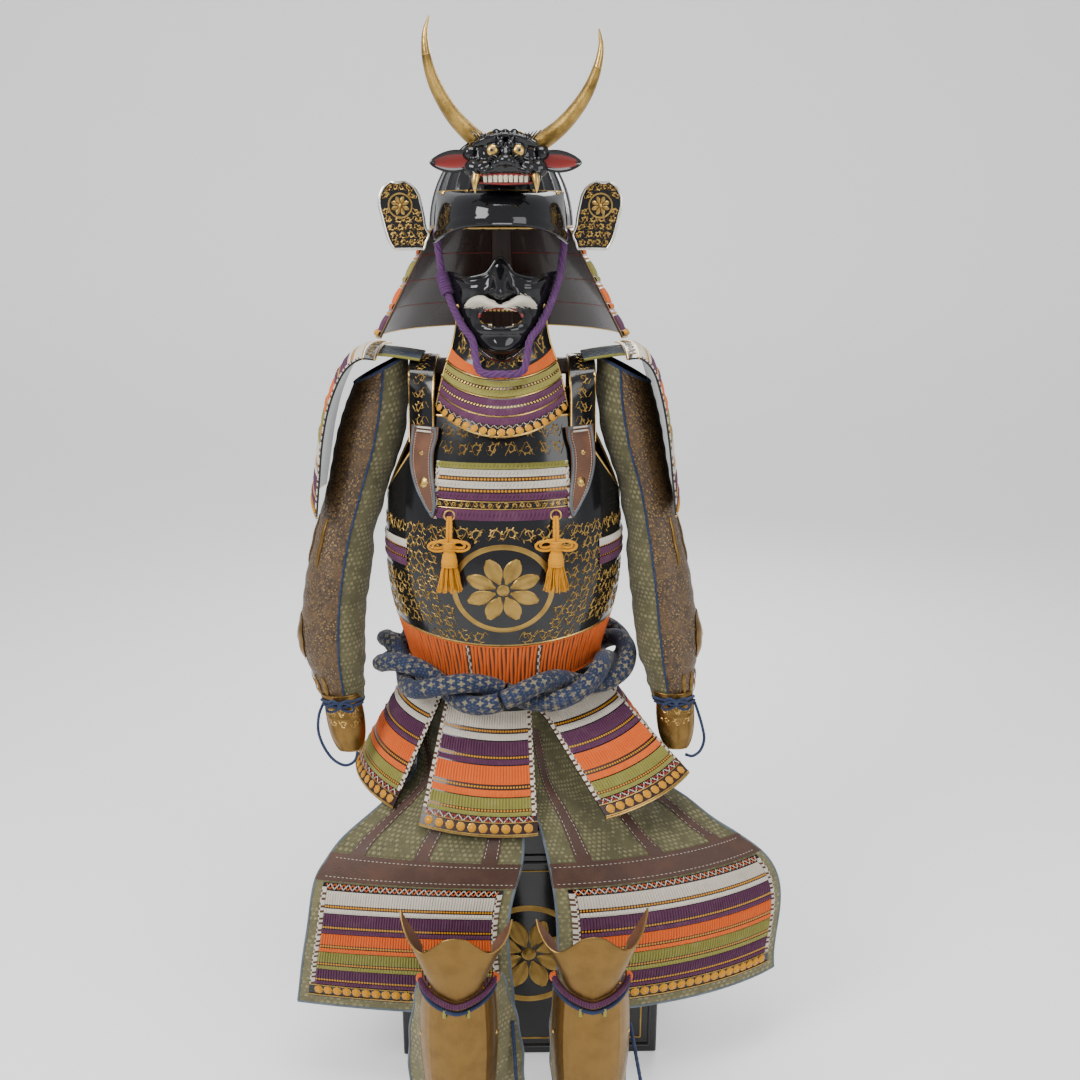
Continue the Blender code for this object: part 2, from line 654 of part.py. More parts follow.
def thigh_guards(looks):
    lame_places, lame_relief = lame_rows(BOARD_LAMES)
    board_z = THIGH_BOARD[0] + (THIGH_BOARD[1] - THIGH_BOARD[0]) * lame_places
    heights = [0.745, 0.715, 0.680, 0.640, 0.595, 0.550, 0.505, 0.465, *THIGH_STRAP, *THIGH_BOARD, 0.160]
    for side, word in ((-1, "left"), (1, "right")):
        shares = np.array([0, *np.linspace(THIGH_BORDER, 1 - THIGH_BORDER, THIGH_CELLS - 1), 1])
        base = np.array([[thigh_point(side, s, z) for s in shares] for z in heights])
        normal = normals(base, (0.04, 0, 0.5))
        rise = np.array([[thigh_folds(s, z) for s in shares] for z in heights])
        base = base + normal * rise[..., None]
        leather = np.zeros(base.shape[:2])
        for i, z in enumerate(heights):
            if THIGH_STRAP[1] <= z <= THIGH_STRAP[0]:
                leather[i, :] = 1.0 * MM
        wall("thigh_cloth_" + word, base, CLOTH, looks["brocade"], (0.04, 0, 0.5), relief=leather)
        inner = slice(1, THIGH_CELLS)
        top, bottom = base[heights.index(THIGH_BOARD[0]), inner], base[heights.index(THIGH_BOARD[1]), inner]
        share = ((THIGH_BOARD[0] - board_z) / (THIGH_BOARD[0] - THIGH_BOARD[1]))[:, None, None]
        board = top[None] * (1 - share) + bottom[None] * share
        wall("thigh_board_" + word, board, 1.6 * MM, looks["lacing"], (0.04, 0, 0.3),
             lift=CLOTH + 1.5 * SEAM, relief=lame_relief[:, None])


def shin_point(side, angle, z, out=0.0):
    wide, front = (spline(SHIN["z"], SHIN[k], z) for k in ("wide", "front"))
    keel = 4 * MM * max(0.0, 1 - abs(math.degrees(angle)) / 22)
    x = SHINS[side] + (wide + out) * math.sin(angle)
    return np.array((x, SHIN_Y - (front + out + keel) * math.cos(angle), z))


def shin_guards(looks):
    for side, word in ((-1, "left"), (1, "right")):
        angles = np.radians((-84, -62, -40, -22, -10, 0, 10, 22, 40, 62, 84))
        heights = (0.338, 0.318, 0.230, 0.115, 0.0002)
        base = np.zeros((len(heights), len(angles), 3))
        for i, z in enumerate(heights):
            for j, angle in enumerate(angles):
                lower = 0.018 * math.cos(angle) ** 2 * (1 if i == 0 else 0)
                base[i, j] = shin_point(side, angle, z - lower)
        wall("shin_plate_" + word, base, METAL, looks["gilt"], (SHINS[side], SHIN_Y, 0.2))
        spreads = {-1: (0.044, 0.064), 1: (0.018, 0.018)}[side]
        angles = np.radians((-122, -108, -95, -84, -62, -40, -22, -10, 0, 10, 22, 40, 62, 84, 95, 108, 122))
        heights = (0.318, 0.230, 0.115, 0.0002)
        base = np.zeros((len(heights), len(angles), 3))
        for i, z in enumerate(heights):
            for j, angle in enumerate(angles):
                fall = math.sin(min(1.0, (0.318 - z) / 0.25) * math.pi / 2)
                flare = spreads[int(angle > 0)] * (0.35 + 0.65 * fall)
                behind = (max(0.0, abs(math.degrees(angle)) - 84) / 38) ** 1.5
                inset = CLOTH + (2 if behind == 0 and abs(angle) < 1.4 else 5) * SEAM
                point = shin_point(side, angle, z, -inset)
                point[0] += math.copysign(flare * behind, math.sin(angle))
                base[i, j] = point
        wall("shin_cloth_" + word, base, CLOTH, looks["brocade"], (SHINS[side], SHIN_Y, 0.2))


KNEE_EDGE = {                                  # the top edge, from the middle to the horn's tip
    "angle":  (0, 14, 28, 42, 56, 70, 84),
    "height": (0.438, 0.434, 0.420, 0.408, 0.414, 0.432, 0.452),
    "inner":  (0.438, 0.434, 0.420, 0.406, 0.407, 0.419, 0.434),
}


def knee_plates(looks):
    for side, word in ((-1, "left"), (1, "right")):
        angles = np.radians((-84, -70, -56, -42, -28, -14, 0, 14, 28, 42, 56, 70, 84))
        shares = np.linspace(0, 1, 5)
        base = np.zeros((len(shares), len(angles), 3))
        for i, share in enumerate(shares):
            for j, angle in enumerate(angles):
                degrees = abs(math.degrees(angle))
                outside = math.sin(angle) * side > 0
                edge = "height" if outside else "inner"
                top = spline(KNEE_EDGE["angle"], KNEE_EDGE[edge], degrees)
                bottom = 0.338 + 2.5 * SEAM - 0.018 * math.cos(angle) ** 2 + 0.050 * math.sin(angle) ** 6
                z = bottom + (top - bottom) * share
                swell = 0.012 * math.sin(share * math.pi * 0.62)
                flare = 0.020 * share ** 2 * math.sin(angle) ** 2
                point = shin_point(side, angle, 0.338, swell + flare)
                keel = 4 * MM * max(0.0, 1 - degrees / 22) * share
                base[i, j] = (point[0], point[1] + keel, z)
        wall("knee_plate_" + word, base, METAL, looks["gilt"], (SHINS[side], SHIN_Y, 0.38))


def bowl_point(angle, rise, out=0.0):
    """A point on the helmet bowl. Angle 0 is the front, rise is from the rim to the crown in degrees."""
    cx, cy, cz = BOWL_CENTRE
    rx, ry, rz = BOWL_RADII
    flat = math.cos(math.radians(rise))
    return np.array((
        cx + (rx + out) * flat * math.sin(angle),
        cy - (ry + out) * flat * math.cos(angle),
        cz + (rz + out) * math.sin(math.radians(rise)),
    ))


def helmet(looks):
    rises = (0, 20, 40, 58, 74, math.degrees(math.acos(TEHEN_RADIUS / BOWL_RADII[0])))
    angles = np.arange(BOWL_RIBS * 2) * math.pi / BOWL_RIBS
    base = np.array([[bowl_point(a, r) for a in angles] for r in rises])
    ribs = np.tile((1.8 * MM, 0.0), BOWL_RIBS)
    wall("helmet_bowl", base, LAMINA, looks["lacquer"], BOWL_CENTRE, relief=ribs, wrap=True)
    angles = np.radians(np.linspace(-VISOR_ANGLE, VISOR_ANGLE, 15))
    shares = (0.0, 0.33, 0.66, 1.0)
    base = np.array([[visor_point(a, s) for a in angles] for s in shares])
    wall("helmet_visor", base, 2.4 * MM, looks["lacquer"], (0, 0, 1.40))


def visor_point(angle, share):
    """The visor leaves the bowl above its rim and turns down in an arch over the brow."""
    start = bowl_point(angle, 22, LAMINA + 1.3 * MM + SEAM)
    side = math.sin(angle) ** 2
    reach = 0.050 * math.cos(angle) ** 1.5 + 0.006
    end = np.array((
        start[0] * (1 + 0.06 * share),
        start[1] - reach,
        1.4590 - 0.040 * side ** 1.5,
    ))
    bow = np.array((0.0, -0.014 * math.cos(angle), 0.012)) * math.sin(share * math.pi)
    return start * (1 - share) + end * share + bow


def neck_guard(looks):
    """Four flared lames round the back and sides of the head."""
    angles = np.radians(np.linspace(68, 292, 17))
    width, depth, top = NECK_TOP
    for lame in range(NECK_LAMES):
        base, relief = [], []
        for share, height in ((0.0, 1.0 * MM), (0.55, 3.0 * MM), (1.0, 2.0 * MM)):
            row = []
            fall = lame + share * (1 - SEAM / NECK_STEP[2])
            for angle in angles:
                out_x, out_y, drop = (step * fall for step in NECK_STEP)
                front = max(0.0, math.cos(angle))
                x = (width + out_x) * math.sin(angle)
                y = BOWL_CENTRE[1] - (depth + out_y) * math.cos(angle)
                row.append((x, y, top - drop - 0.008 * fall * (1 - front) * 0.5))
            base.append(row)
            relief.append(height)
        wall(f"neck_lame_{lame + 1}", np.array(base), LAMINA, looks["lacing"], (0, 0, 1.6),
             relief=np.array(relief)[:, None])


TURNBACK = {                                   # outline of a turned-back wing, from its foot to its top
    "z":     (1.421, 1.431, 1.444, 1.452, 1.470, 1.490, 1.506, 1.517, 1.522),
    "inner": (0.122, 0.119, 0.114, 0.118, 0.121, 0.125, 0.130, 0.140, 0.152),
    "outer": (0.168, 0.175, 0.180, 0.182, 0.186, 0.190, 0.187, 0.178, 0.168),
}


def turnbacks(looks):
    """The wings that turn back from the top lame's ends, beside the visor."""
    for side, word in ((-1, "left"), (1, "right")):
        base = []
        for z, inner, outer in zip(*TURNBACK.values()):
            row = []
            for a in np.linspace(0, 1, 5):
                x = inner + (outer - inner) * a
                row.append((side * x, -0.0646 - 0.16 * (x - 0.118) - 0.012 * (a - a * a), z))
            base.append(row)
        wall("turnback_" + word, np.array(base), 3 * MM, looks["lacquer"], (side * 0.15, 0.3, 1.47))


def crest_blobs():
    """The carved demon's head, as ellipsoids about the crest's own centre."""
    x, y, z = CREST

    def at(dx, dy, dz, rx, ry, rz, turn=(0, 0, 0)):
        return blob((x + dx * MM, y + dy * MM, z + dz * MM), (rx * MM, ry * MM, rz * MM), turn)

    blobs = [
        at(0, 24, 10, 58, 50, 34),
        at(0, -42, 0, 17, 14, 11),
        at(0, -20, -12, 48, 26, 12),
        at(0, -26, -27, 40, 13, 7),
    ]
    for side in (-1, 1):
        blobs += [
            at(side * 25, -22, 30, 27, 14, 9, (0, side * 10, 0)),
            at(side * 19, -31, 16, 11, 9, 10),
            at(side * 15, -40, -4, 10, 9, 7),
            at(side * 46, -12, -8, 17, 18, 15),
            at(side * 45, -27, -31, 5.5, 5.5, 13, (0, side * -8, 0)),
            at(side * 80, 2, 4, 32, 8, 14, (0, side * -4, 0)),
        ]
    return blobs


HORN = {                                       # from root to tip, for the left horn
    "x":      (-0.036, -0.056, -0.080, -0.101, -0.116, -0.125, -0.127, -0.122),
    "z":      (1.574, 1.586, 1.607, 1.634, 1.662, 1.692, 1.718, 1.740),
    "radius": (0.0215, 0.0215, 0.0195, 0.0170, 0.0140, 0.0105, 0.0065, 0.0018),
}


def crest(looks):
    head = carved("crest_head", crest_blobs(), 3.6 * MM, 0.082, looks["lacquer"])
    cx, cy, cz = BOWL_CENTRE
    grow = LAMINA + 2.3 * MM
    seat = blob((cx, cy, cz), tuple(r + grow for r in BOWL_RADII), segments=40)
    mesh = bpy.data.meshes.new("crest_seat")
    seat.to_mesh(mesh)
    seat.free()
    combine(head, link("crest_seat", mesh, looks["lacquer"]), "DIFFERENCE")
    for side, word in ((-1, "left"), (1, "right")):
        path = []
        for x, z in zip(HORN["x"], HORN["z"]):
            path.append(horn_place(side, x, z))
        tube("horn_" + word, path, HORN["radius"], looks["gold"], sides=8, flatten=0.62)
        radii = np.array(HORN["radius"][:4]) + SEAM
        root = np.array(path[1]) - np.array(path[0])
        start = np.array(path[0]) - root / np.linalg.norm(root) * SEAM
        socket = tube("socket_" + word, [start, *path[1:4]], radii, looks["gold"], sides=8, flatten=0.63)
        combine(head, socket, "DIFFERENCE")


def horn_place(side, x, z):
    """The horns lean a little to the wearer's left, as the crest is set."""
    lean = math.radians(CREST_LEAN)
    dx, dz = -side * x, z - CREST[2]
    return (CREST[0] + dx * math.cos(lean) + dz * math.sin(lean),
            CREST[1] + 0.018 - 0.10 * (z - 1.60),
            CREST[2] - dx * math.sin(lean) + dz * math.cos(lean))


MASK = {
    "z":     (1.250, 1.262, 1.280, 1.305, 1.335, 1.365, 1.392, 1.415),
    "wide":  (0.046, 0.056, 0.068, 0.078, 0.085, 0.089, 0.091, 0.091),
    "front": (0.082, 0.092, 0.100, 0.103, 0.103, 0.100, 0.094, 0.088),
}
MASK_Y = -0.034
MOUTH = (1.337, 1.303)


def mask_point(angle, share, out=0.0):
    """A point on the face mask. share runs from the upper edge to the lower."""
    degrees = math.degrees(angle)
    top = 1.386 + 0.024 * math.exp(-((degrees / 9) ** 2)) - 0.006 * math.exp(-(((abs(degrees) - 32) / 14) ** 2))
    bottom = 1.253 + 0.098 * (abs(degrees) / 78) ** 1.8
    z = top + (bottom - top) * share
    wide, front = (spline(MASK["z"], MASK[k], z) for k in ("wide", "front"))
    x = (wide + out) * math.sin(angle)
    nose_rise = float(np.interp(z, (1.346, 1.353, 1.362, 1.41), (0, 0.026, 0.028, 0.004)))
    nose = nose_rise * math.exp(-((x / 0.0105) ** 2))
    wings = 0.010 * math.exp(-(((abs(x) - 0.014) / 0.006) ** 2) - ((z - 1.3580) / 0.0045) ** 2)
    cheeks = 0.007 * math.exp(-(((abs(x) - 0.048) / 0.020) ** 2) - ((z - 1.368) / 0.016) ** 2)
    lips = 0.005 * math.exp(-((x / 0.036) ** 4)) * (
        math.exp(-(((z - MOUTH[0] - 0.003) / 0.006) ** 2)) + math.exp(-(((z - MOUTH[1] + 0.003) / 0.006) ** 2)))
    chin = 0.010 * math.exp(-((x / 0.022) ** 2) - ((z - 1.272) / 0.014) ** 2)
    forward = nose + wings + cheeks + lips + chin
    return np.array((x, MASK_Y - (front + out) * math.cos(angle) - forward, z))


def mask(looks):
    degrees = (-78, -62, -46, -34, -24, -12, -6, 0, 6, 12, 24, 34, 46, 62, 78)
    shares = (0.0, 0.13, 0.25, 0.35, 0.41, 0.465, 0.685, 0.79, 0.88, 1.0)
    base = np.array([[mask_point(math.radians(d), s) for d in degrees] for s in shares])
    keep = np.ones((len(shares) - 1, len(degrees) - 1), bool)
    mouth_rows = [i for i, s in enumerate(shares[:-1]) if 0.46 < s < 0.68]
    mouth_cols = [j for j, d in enumerate(degrees[:-1]) if -24 <= d < 24]
    keep[np.ix_(mouth_rows, mouth_cols)] = False
    wall("face_mask", base, 2.4 * MM, looks["lacquer"], (0, 0.05, 1.33), keep=keep)


def moustache(looks):
    path, radii = [], []
    for d, z, radius in zip((-40, -30, -19, -9, 0, 9, 19, 30, 40),
                            (1.336, 1.345, 1.348, 1.342, 1.338, 1.342, 1.348, 1.345, 1.336),
                            (2.0, 6.0, 8.5, 6.0, 3.5, 6.0, 8.5, 6.0, 2.0)):
        angle = math.radians(d)
        wide, front = (spline(MASK["z"], MASK[k], z) for k in ("wide", "front"))
        out = 0.0078 + radius * MM
        path.append(((wide + 4 * MM) * math.sin(angle), MASK_Y - (front + out) * math.cos(angle), z))
        radii.append(radius * MM)
    tube("moustache", path, radii, looks["hair"], sides=6)


def chin_cord(looks):
    """A doubled cord from the helmet's sides, along the jaw and under the chin."""
    half = []
    for d, share in ((68, 0.0), (64, 0.22), (58, 0.46), (51, 0.66), (43, 0.82), (34, 0.93)):
        angle = math.radians(d)
        half.append(mask_point(angle, share, 0.0108))
    half = [np.array((0.1005, -0.070, 1.4514)), np.array((0.0995, -0.0705, 1.424))] + half
    half.append(np.array((0.034, -0.152, 1.2400)))
    path = [p * np.array((-1, 1, 1)) for p in half] + [np.array((0.0, -0.166, 1.2360))] + half[::-1]
    fine = np.linspace(0, len(path) - 1, 23)
    path = np.stack([spline(np.arange(len(path)), [p[k] for p in path], fine) for k in range(3)], axis=1)
    tube("chin_cord", path, 0.0068, looks["purple"], sides=6)


THROAT = {                                     # upper and lower edges of each lame, in the middle and at the ends
    "wide":  (0.078, 0.100, 0.108, 0.115, 0.121),
    "front": (0.086, 0.102, 0.124, 0.145, 0.162),
    "z":     (1.250, 1.222, 1.196, 1.170, 1.142),
    "ends":  (1.300, 1.246, 1.222, 1.200, 1.178),
    "reach": (62, 62, 62, 61, 60),
}
THROAT_GAP = 4 * MM        # below the mask's lower edge, both of which slope


def throat_guard(looks):
    """Four lames that hang from the mask over the throat."""
    count = len(THROAT["z"]) - 1
    for lame in range(count):
        base, relief = [], []
        for share, height in ((0.0, 0.8 * MM), (0.45, 3.2 * MM), (1.0, 2.4 * MM)):
            row = []
            for d in np.array((-62, -46, -34, -24, -12, 0, 12, 24, 34, 46, 62)) / 62:
                values = {k: v[lame] * (1 - share) + v[lame + 1] * share for k, v in THROAT.items()}
                angle = math.radians(values["reach"] * d)
                gap = (3 if lame == 1 else 2) * SEAM * (1 - share)
                z = values["z"] + (values["ends"] - values["z"]) * abs(d) ** 1.8 - gap
                if lame == 0 and share == 0.0:
                    lower = mask_point(angle, 1.0, 0.0)
                    row.append((lower[0], lower[1], lower[2] - THROAT_GAP))
                    continue
                x, y = values["wide"] * math.sin(angle), MASK_Y - values["front"] * math.cos(angle)
                row.append((x, y, z))
            base.append(row)
            relief.append(height)
        wall(f"throat_lame_{lame + 1}", np.array(base), 2.2 * MM, looks["lacing"], (0, -0.03, 1.35),
             relief=np.array(relief)[:, None])


LEATHER_GUARD = {                              # half-widths down its length, towards the arm and the chest
    "drop":  (0.000, 0.016, 0.036, 0.058, 0.082, 0.104, 0.124, 0.144),
    "outer": (0.022, 0.023, 0.025, 0.026, 0.022, 0.014, 0.002, -0.010),
    "inner": (0.024, 0.022, 0.016, 0.014, 0.015, 0.017, 0.017, 0.014),
}


def leather_guards(looks):
    """Small leather plates that hang from the straps over the gaps at the armpits."""
    for side, word in ((-1, "left"), (1, "right")):
        base = []
        for drop, outer, inner in zip(*LEATHER_GUARD.values()):
            row = []
            z = 1.142 - drop
            for share in np.linspace(0, 1, 4):
                x = 0.126 - inner + (inner + outer) * share
                row.append((side * x, torso_y(x, z, LAMINA + STRAP_THICK + 2.2 * MM), z))
            base.append(row)
        wall("leather_guard_" + word, np.array(base), 2.2 * MM, looks["leather"], (side * 0.12, 0.1, 1.06))


def tassels(looks):
    """A knot with two bows over a head, and a skirt of strands."""
    for side, word in ((-1, "left"), (1, "right")):
        x = side * 0.0865
        y = torso_y(x, 0.884, LAMINA) - 0.0181
        ring_y = torso_y(x, 1.004, LAMINA + 2.0 * MM) - 0.0023
        body = blob((x, y, 0.960), (0.0085, 0.0085, 0.009), segments=6)
        mesh = bpy.data.meshes.new("tassel_" + word)
        body.to_mesh(mesh)
        body.free()
        made = link("tassel_" + word, mesh, looks["yellow"])
        helpers = []
        for bow in (-1, 1):
            turns = np.linspace(0, 2 * math.pi, 8)[:7]
            loop = [(x + bow * (0.018 - 0.014 * math.cos(turn)), y - 0.002, 0.960 + 0.0080 * math.sin(turn))
                    for turn in turns]
            helpers.append(tube(f"bow_{word}_{bow}", loop, 0.0026, looks["yellow"], sides=4, closed=True))
        stem = ((x, y, 0.962), (x, (y * 2 + ring_y) / 3, 0.978), (x, (y + ring_y * 3) / 4, 0.992), (x, ring_y, 1.004))
        helpers.append(tube("stem_" + word, stem, (0.006, 0.0065, 0.0075, 0.004), looks["yellow"], sides=6))
        head = ((x, y, 0.957), (x, y, 0.944), (x, y, 0.928))
        helpers.append(tube("head_" + word, head, (0.005, 0.0100, 0.0125), looks["yellow"], sides=6))
        strands = 8
        for k in range(strands):
            turn = 2 * math.pi * (k + 0.5) / strands
            path = [(x + 0.0086 * out * 1.15 * math.sin(turn), y - 0.0086 * out * 0.78 * math.cos(turn), z)
                    for z, out in ((0.934, 1.0), (0.884, 2.10))]
            helpers.append(tube(f"strand_{word}_{k}", path, (0.0026, 0.0042), looks["yellow"], sides=4))
        for helper in helpers:
            combine(made, helper, "UNION")


def chest(looks):
    half_width, half_depth = CHEST_WIDTH / 2, CHEST_DEPTH / 2
    seam_z = CHEST_HEIGHT - LID_HEIGHT
    block("chest_body", (CHEST_X - half_width, -half_depth, 0),
          (CHEST_X + half_width, half_depth, seam_z - SEAM), looks["lacquer"], bevel=2.5 * MM)
    block("chest_lid", (CHEST_X - half_width - LID_PROUD, -half_depth - LID_PROUD, seam_z),
          (CHEST_X + half_width + LID_PROUD, half_depth + LID_PROUD, CHEST_HEIGHT), looks["lacquer"], bevel=3 * MM)


def stand(looks):
    """A base board, a post, a yoke for the shoulder straps and a cap for the helmet."""
    width, depth, height = STAND_BASE
    low = CHEST_HEIGHT + SEAM
    made = block("stand", (-width / 2, -depth / 2 + 0.01, low), (width / 2, depth / 2 + 0.01, low + height),
                 looks["wood"], bevel=3 * MM)
    half = POST_SIDE / 2
    crown = BOWL_CENTRE[2] + BOWL_RADII[2]
    post = block("post", (-half, -half, low + height / 2), (half, half, crown - 0.030), looks["wood"], bevel=2 * MM)
    yoke_top = STRAP_TOP_Z - STRAP_THICK - 1.2 * MM
    yoke = block("yoke", (-YOKE_LENGTH / 2, -YOKE_SIDE / 2, yoke_top - YOKE_SIDE),
                 (YOKE_LENGTH / 2, YOKE_SIDE / 2, yoke_top), looks["wood"], bevel=4 * MM)
    cap = blob((0, BOWL_CENTRE[1], crown - 0.0332), (0.052, 0.058, 0.0325), segments=12)
    mesh = bpy.data.meshes.new("cap")
    cap.to_mesh(mesh)
    cap.free()
    for helper in (post, yoke, link("cap", mesh, looks["wood"])):
        combine(made, helper, "UNION")


def ties(looks):
    """Cords with free ends: at each wrist and down each leg."""
    routes = {
        "wrist_tie_left": (-1, ((0.3172, -0.0950, 0.652), (0.323, -0.106, 0.636), (0.324, -0.114, 0.610),
                                (0.316, -0.114, 0.580), (0.300, -0.116, 0.556), (0.280, -0.116, 0.545),
                                (0.264, -0.114, 0.552), (0.258, -0.110, 0.568))),
        "wrist_tie_right": (1, ((0.3325, -0.0955, 0.652), (0.338, -0.106, 0.636), (0.345, -0.114, 0.612),
                                (0.349, -0.113, 0.588), (0.343, -0.112, 0.566), (0.330, -0.112, 0.556),
                                (0.317, -0.114, 0.560))),
        "leg_tie_left": (1, ((0.0126, -0.3902, 0.230), (0.015, -0.397, 0.190), (0.018, -0.406, 0.130),
                             (0.022, -0.422, 0.070), (0.032, -0.442, 0.026), (0.043, -0.466, 0.0052),
                             (0.056, -0.492, 0.0037), (0.066, -0.520, 0.0037))),
        "leg_tie_right": (1, ((0.2004, -0.3950, 0.230), (0.208, -0.408, 0.190), (0.219, -0.420, 0.130),
                              (0.232, -0.434, 0.070), (0.243, -0.448, 0.026), (0.257, -0.464, 0.0052),
                              (0.274, -0.484, 0.0037), (0.294, -0.502, 0.0037))),
    }
    for name, (side, points) in routes.items():
        radius = 0.0030 if name.startswith("leg") else 0.0026
        spline_points = np.array(points) * np.array((side, 1, 1))
        count = 16 if name.startswith("leg") else 12
        fine = np.linspace(0, len(points) - 1, count)
        smooth = [spline(np.arange(len(points)), spline_points[:, k], fine) for k in range(3)]
        curve = bpy.data.curves.new(name, "CURVE")
        curve.dimensions = "3D"
        curve.bevel_depth = radius
        curve.bevel_resolution = 2
        curve.use_fill_caps = True
        line = curve.splines.new("POLY")
        line.points.add(count - 1)
        for point, place in zip(line.points, zip(*smooth)):
            point.co = (*place, 1)
        curve.materials.append(looks["indigo"])
        made = bpy.data.objects.new(name, curve)
        bpy.context.scene.collection.objects.link(made)


def main():
    for old in list(bpy.data.objects):
        bpy.data.objects.remove(old)
    looks = finishes()
    for build in (chest, stand, cuirass, straps, neck_wings, waist_lacing, sash, tassets, shoulder_guards,
                  sleeves, hand_guards, thigh_guards, shin_guards, knee_plates, helmet, neck_guard,
                  turnbacks, crest, mask, moustache, chin_cord, throat_guard, leather_guards, tassels, ties):
        build(looks)


main()
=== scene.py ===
"""Looks of the laced samurai armour on its chest and stand.

Metres, +Z up, the wearer's front faces -Y. Left and right are the viewer's: side -1
is at -X and side +1 at +X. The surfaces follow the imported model's own tables.
"""
import math

import bmesh
import bpy
import numpy as np
from mathutils import Matrix, Vector


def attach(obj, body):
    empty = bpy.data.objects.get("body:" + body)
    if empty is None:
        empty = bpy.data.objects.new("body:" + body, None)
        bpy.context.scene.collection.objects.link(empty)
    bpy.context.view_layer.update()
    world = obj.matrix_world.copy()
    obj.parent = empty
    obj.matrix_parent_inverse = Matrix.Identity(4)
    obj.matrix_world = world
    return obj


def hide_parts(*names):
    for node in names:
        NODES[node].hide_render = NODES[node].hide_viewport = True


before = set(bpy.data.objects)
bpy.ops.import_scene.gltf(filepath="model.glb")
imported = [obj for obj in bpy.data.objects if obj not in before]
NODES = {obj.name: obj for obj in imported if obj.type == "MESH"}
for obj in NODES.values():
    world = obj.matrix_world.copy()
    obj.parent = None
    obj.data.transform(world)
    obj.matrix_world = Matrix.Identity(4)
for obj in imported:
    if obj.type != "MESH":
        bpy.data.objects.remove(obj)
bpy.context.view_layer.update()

MM = 0.001
SEAM = 0.4 * MM
CLOTH = 2.4 * MM
LAMINA = 3.0 * MM
rng = np.random.default_rng(7)


# ---------------------------------------------------------------- materials

class Finish:
    """A material's nodes, built one after another."""

    def __init__(self, name, colour=(0.5, 0.5, 0.5), roughness=0.5, metallic=0.0, **uniform):
        self.material = bpy.data.materials.new(name)
        self.material.use_nodes = True
        self.tree = self.material.node_tree
        self.shader = self.tree.nodes["Principled BSDF"]
        self.set("Base Color", (*colour, 1))
        self.set("Roughness", roughness)
        self.set("Metallic", metallic)
        for key, value in uniform.items():
            self.set(key.replace("_", " ").title().replace("Ior", "IOR"), value)

    def set(self, socket, value):
        self.join(self.shader.inputs[socket], value)

    def join(self, socket, value):
        if isinstance(value, bpy.types.NodeSocket):
            self.tree.links.new(value, socket)
        else:
            socket.default_value = value

    def node(self, kind, inputs=(), output=0, **settings):
        made = self.tree.nodes.new("ShaderNode" + kind)
        for key, value in settings.items():
            setattr(made, key, value)
        for key, value in dict(inputs).items():
            self.join(made.inputs[key], value)
        return made.outputs[output]

    def math(self, operation, a, b=0.0):
        return self.node("Math", {0: a, 1: b}, operation=operation)

    def place(self, kind="Object", scale=(1, 1, 1)):
        source = self.tree.nodes.new("ShaderNodeTexCoord").outputs[kind]
        return self.node("Mapping", {"Vector": source, "Scale": scale})

    def noise(self, scale, detail=3.0, kind="Object", stretch=(1, 1, 1)):
        where = self.place(kind, stretch)
        return self.node("TexNoise", {"Vector": where, "Scale": scale, "Detail": detail})

    def cells(self, scale, kind="Object", stretch=(1, 1, 1), feature="F1", output=0):
        where = self.place(kind, stretch)
        return self.node("TexVoronoi", {"Vector": where, "Scale": scale}, output, feature=feature)

    def ramp(self, value, low, high, a=0.0, b=1.0):
        return self.node("MapRange", {0: value, 1: low, 2: high, 3: a, 4: b})

    def mix(self, share, a, b):
        made = self.tree.nodes.new("ShaderNodeMix")
        made.data_type = "RGBA"
        for index, value in ((0, share), (6, a), (7, b)):
            if isinstance(value, tuple) and len(value) == 3:
                value = (*value, 1)
            self.join(made.inputs[index], value)
        return made.outputs[2]

    def bump(self, height, depth, strength=1.0):
        made = self.node("Bump", {"Height": height, "Distance": depth, "Strength": strength})
        self.set("Normal", made)

    def weave(self, pitch, kind="UV"):
        """Over and under threads, from -1 to 1."""
        where = self.place(kind, (math.pi / pitch,) * 3)
        parts = self.tree.nodes.new("ShaderNodeSeparateXYZ")
        self.join(parts.inputs[0], where)
        return self.math("MULTIPLY", self.math("SINE", parts.outputs[0]), self.math("SINE", parts.outputs[1]))

    def flowers(self, pitch, petals=5, size=0.30, kind="UV", shift=0.5):
        """A mask of small flowers in offset rows."""
        where = self.place(kind, (1 / pitch,) * 3)
        parts = self.tree.nodes.new("ShaderNodeSeparateXYZ")
        self.join(parts.inputs[0], where)
        row = self.math("FLOOR", parts.outputs[1])
        along = self.math("ADD", parts.outputs[0], self.math("MULTIPLY", row, shift))
        x = self.math("SUBTRACT", self.math("FRACT", along), 0.5)
        y = self.math("SUBTRACT", self.math("FRACT", parts.outputs[1]), 0.5)
        reach = self.math("SQRT", self.math("ADD", self.math("MULTIPLY", x, x), self.math("MULTIPLY", y, y)))
        turn = self.math("MULTIPLY", self.math("ARCTAN2", y, x), float(petals))
        lobes = self.math("MULTIPLY_ADD", self.math("COSINE", turn), 0.25)
        lobes.node.inputs[2].default_value = 0.75
        edge = self.math("MULTIPLY", lobes, size)
        return self.ramp(self.math("SUBTRACT", edge, reach), -0.02, 0.03)


def lacquer(name, colour=(0.008, 0.008, 0.009), roughness=0.16, wear=0.5):
    made = Finish(name, colour, roughness, coat_weight=0.2, coat_roughness=0.08, specular_ior_level=0.34)
    cloud = made.noise(9, 6)
    dust = made.noise(240, 3)
    made.set("Roughness", made.ramp(cloud, 0.35, 0.75, roughness * 0.8, roughness * (1.3 + wear)))
    made.set("Base Color", made.mix(made.ramp(dust, 0.55, 0.8, 0, 0.35), colour, (0.022, 0.018, 0.015)))
    made.bump(made.math("ADD", cloud, made.math("MULTIPLY", dust, 0.10)), 0.0009, 0.35)
    return made.material


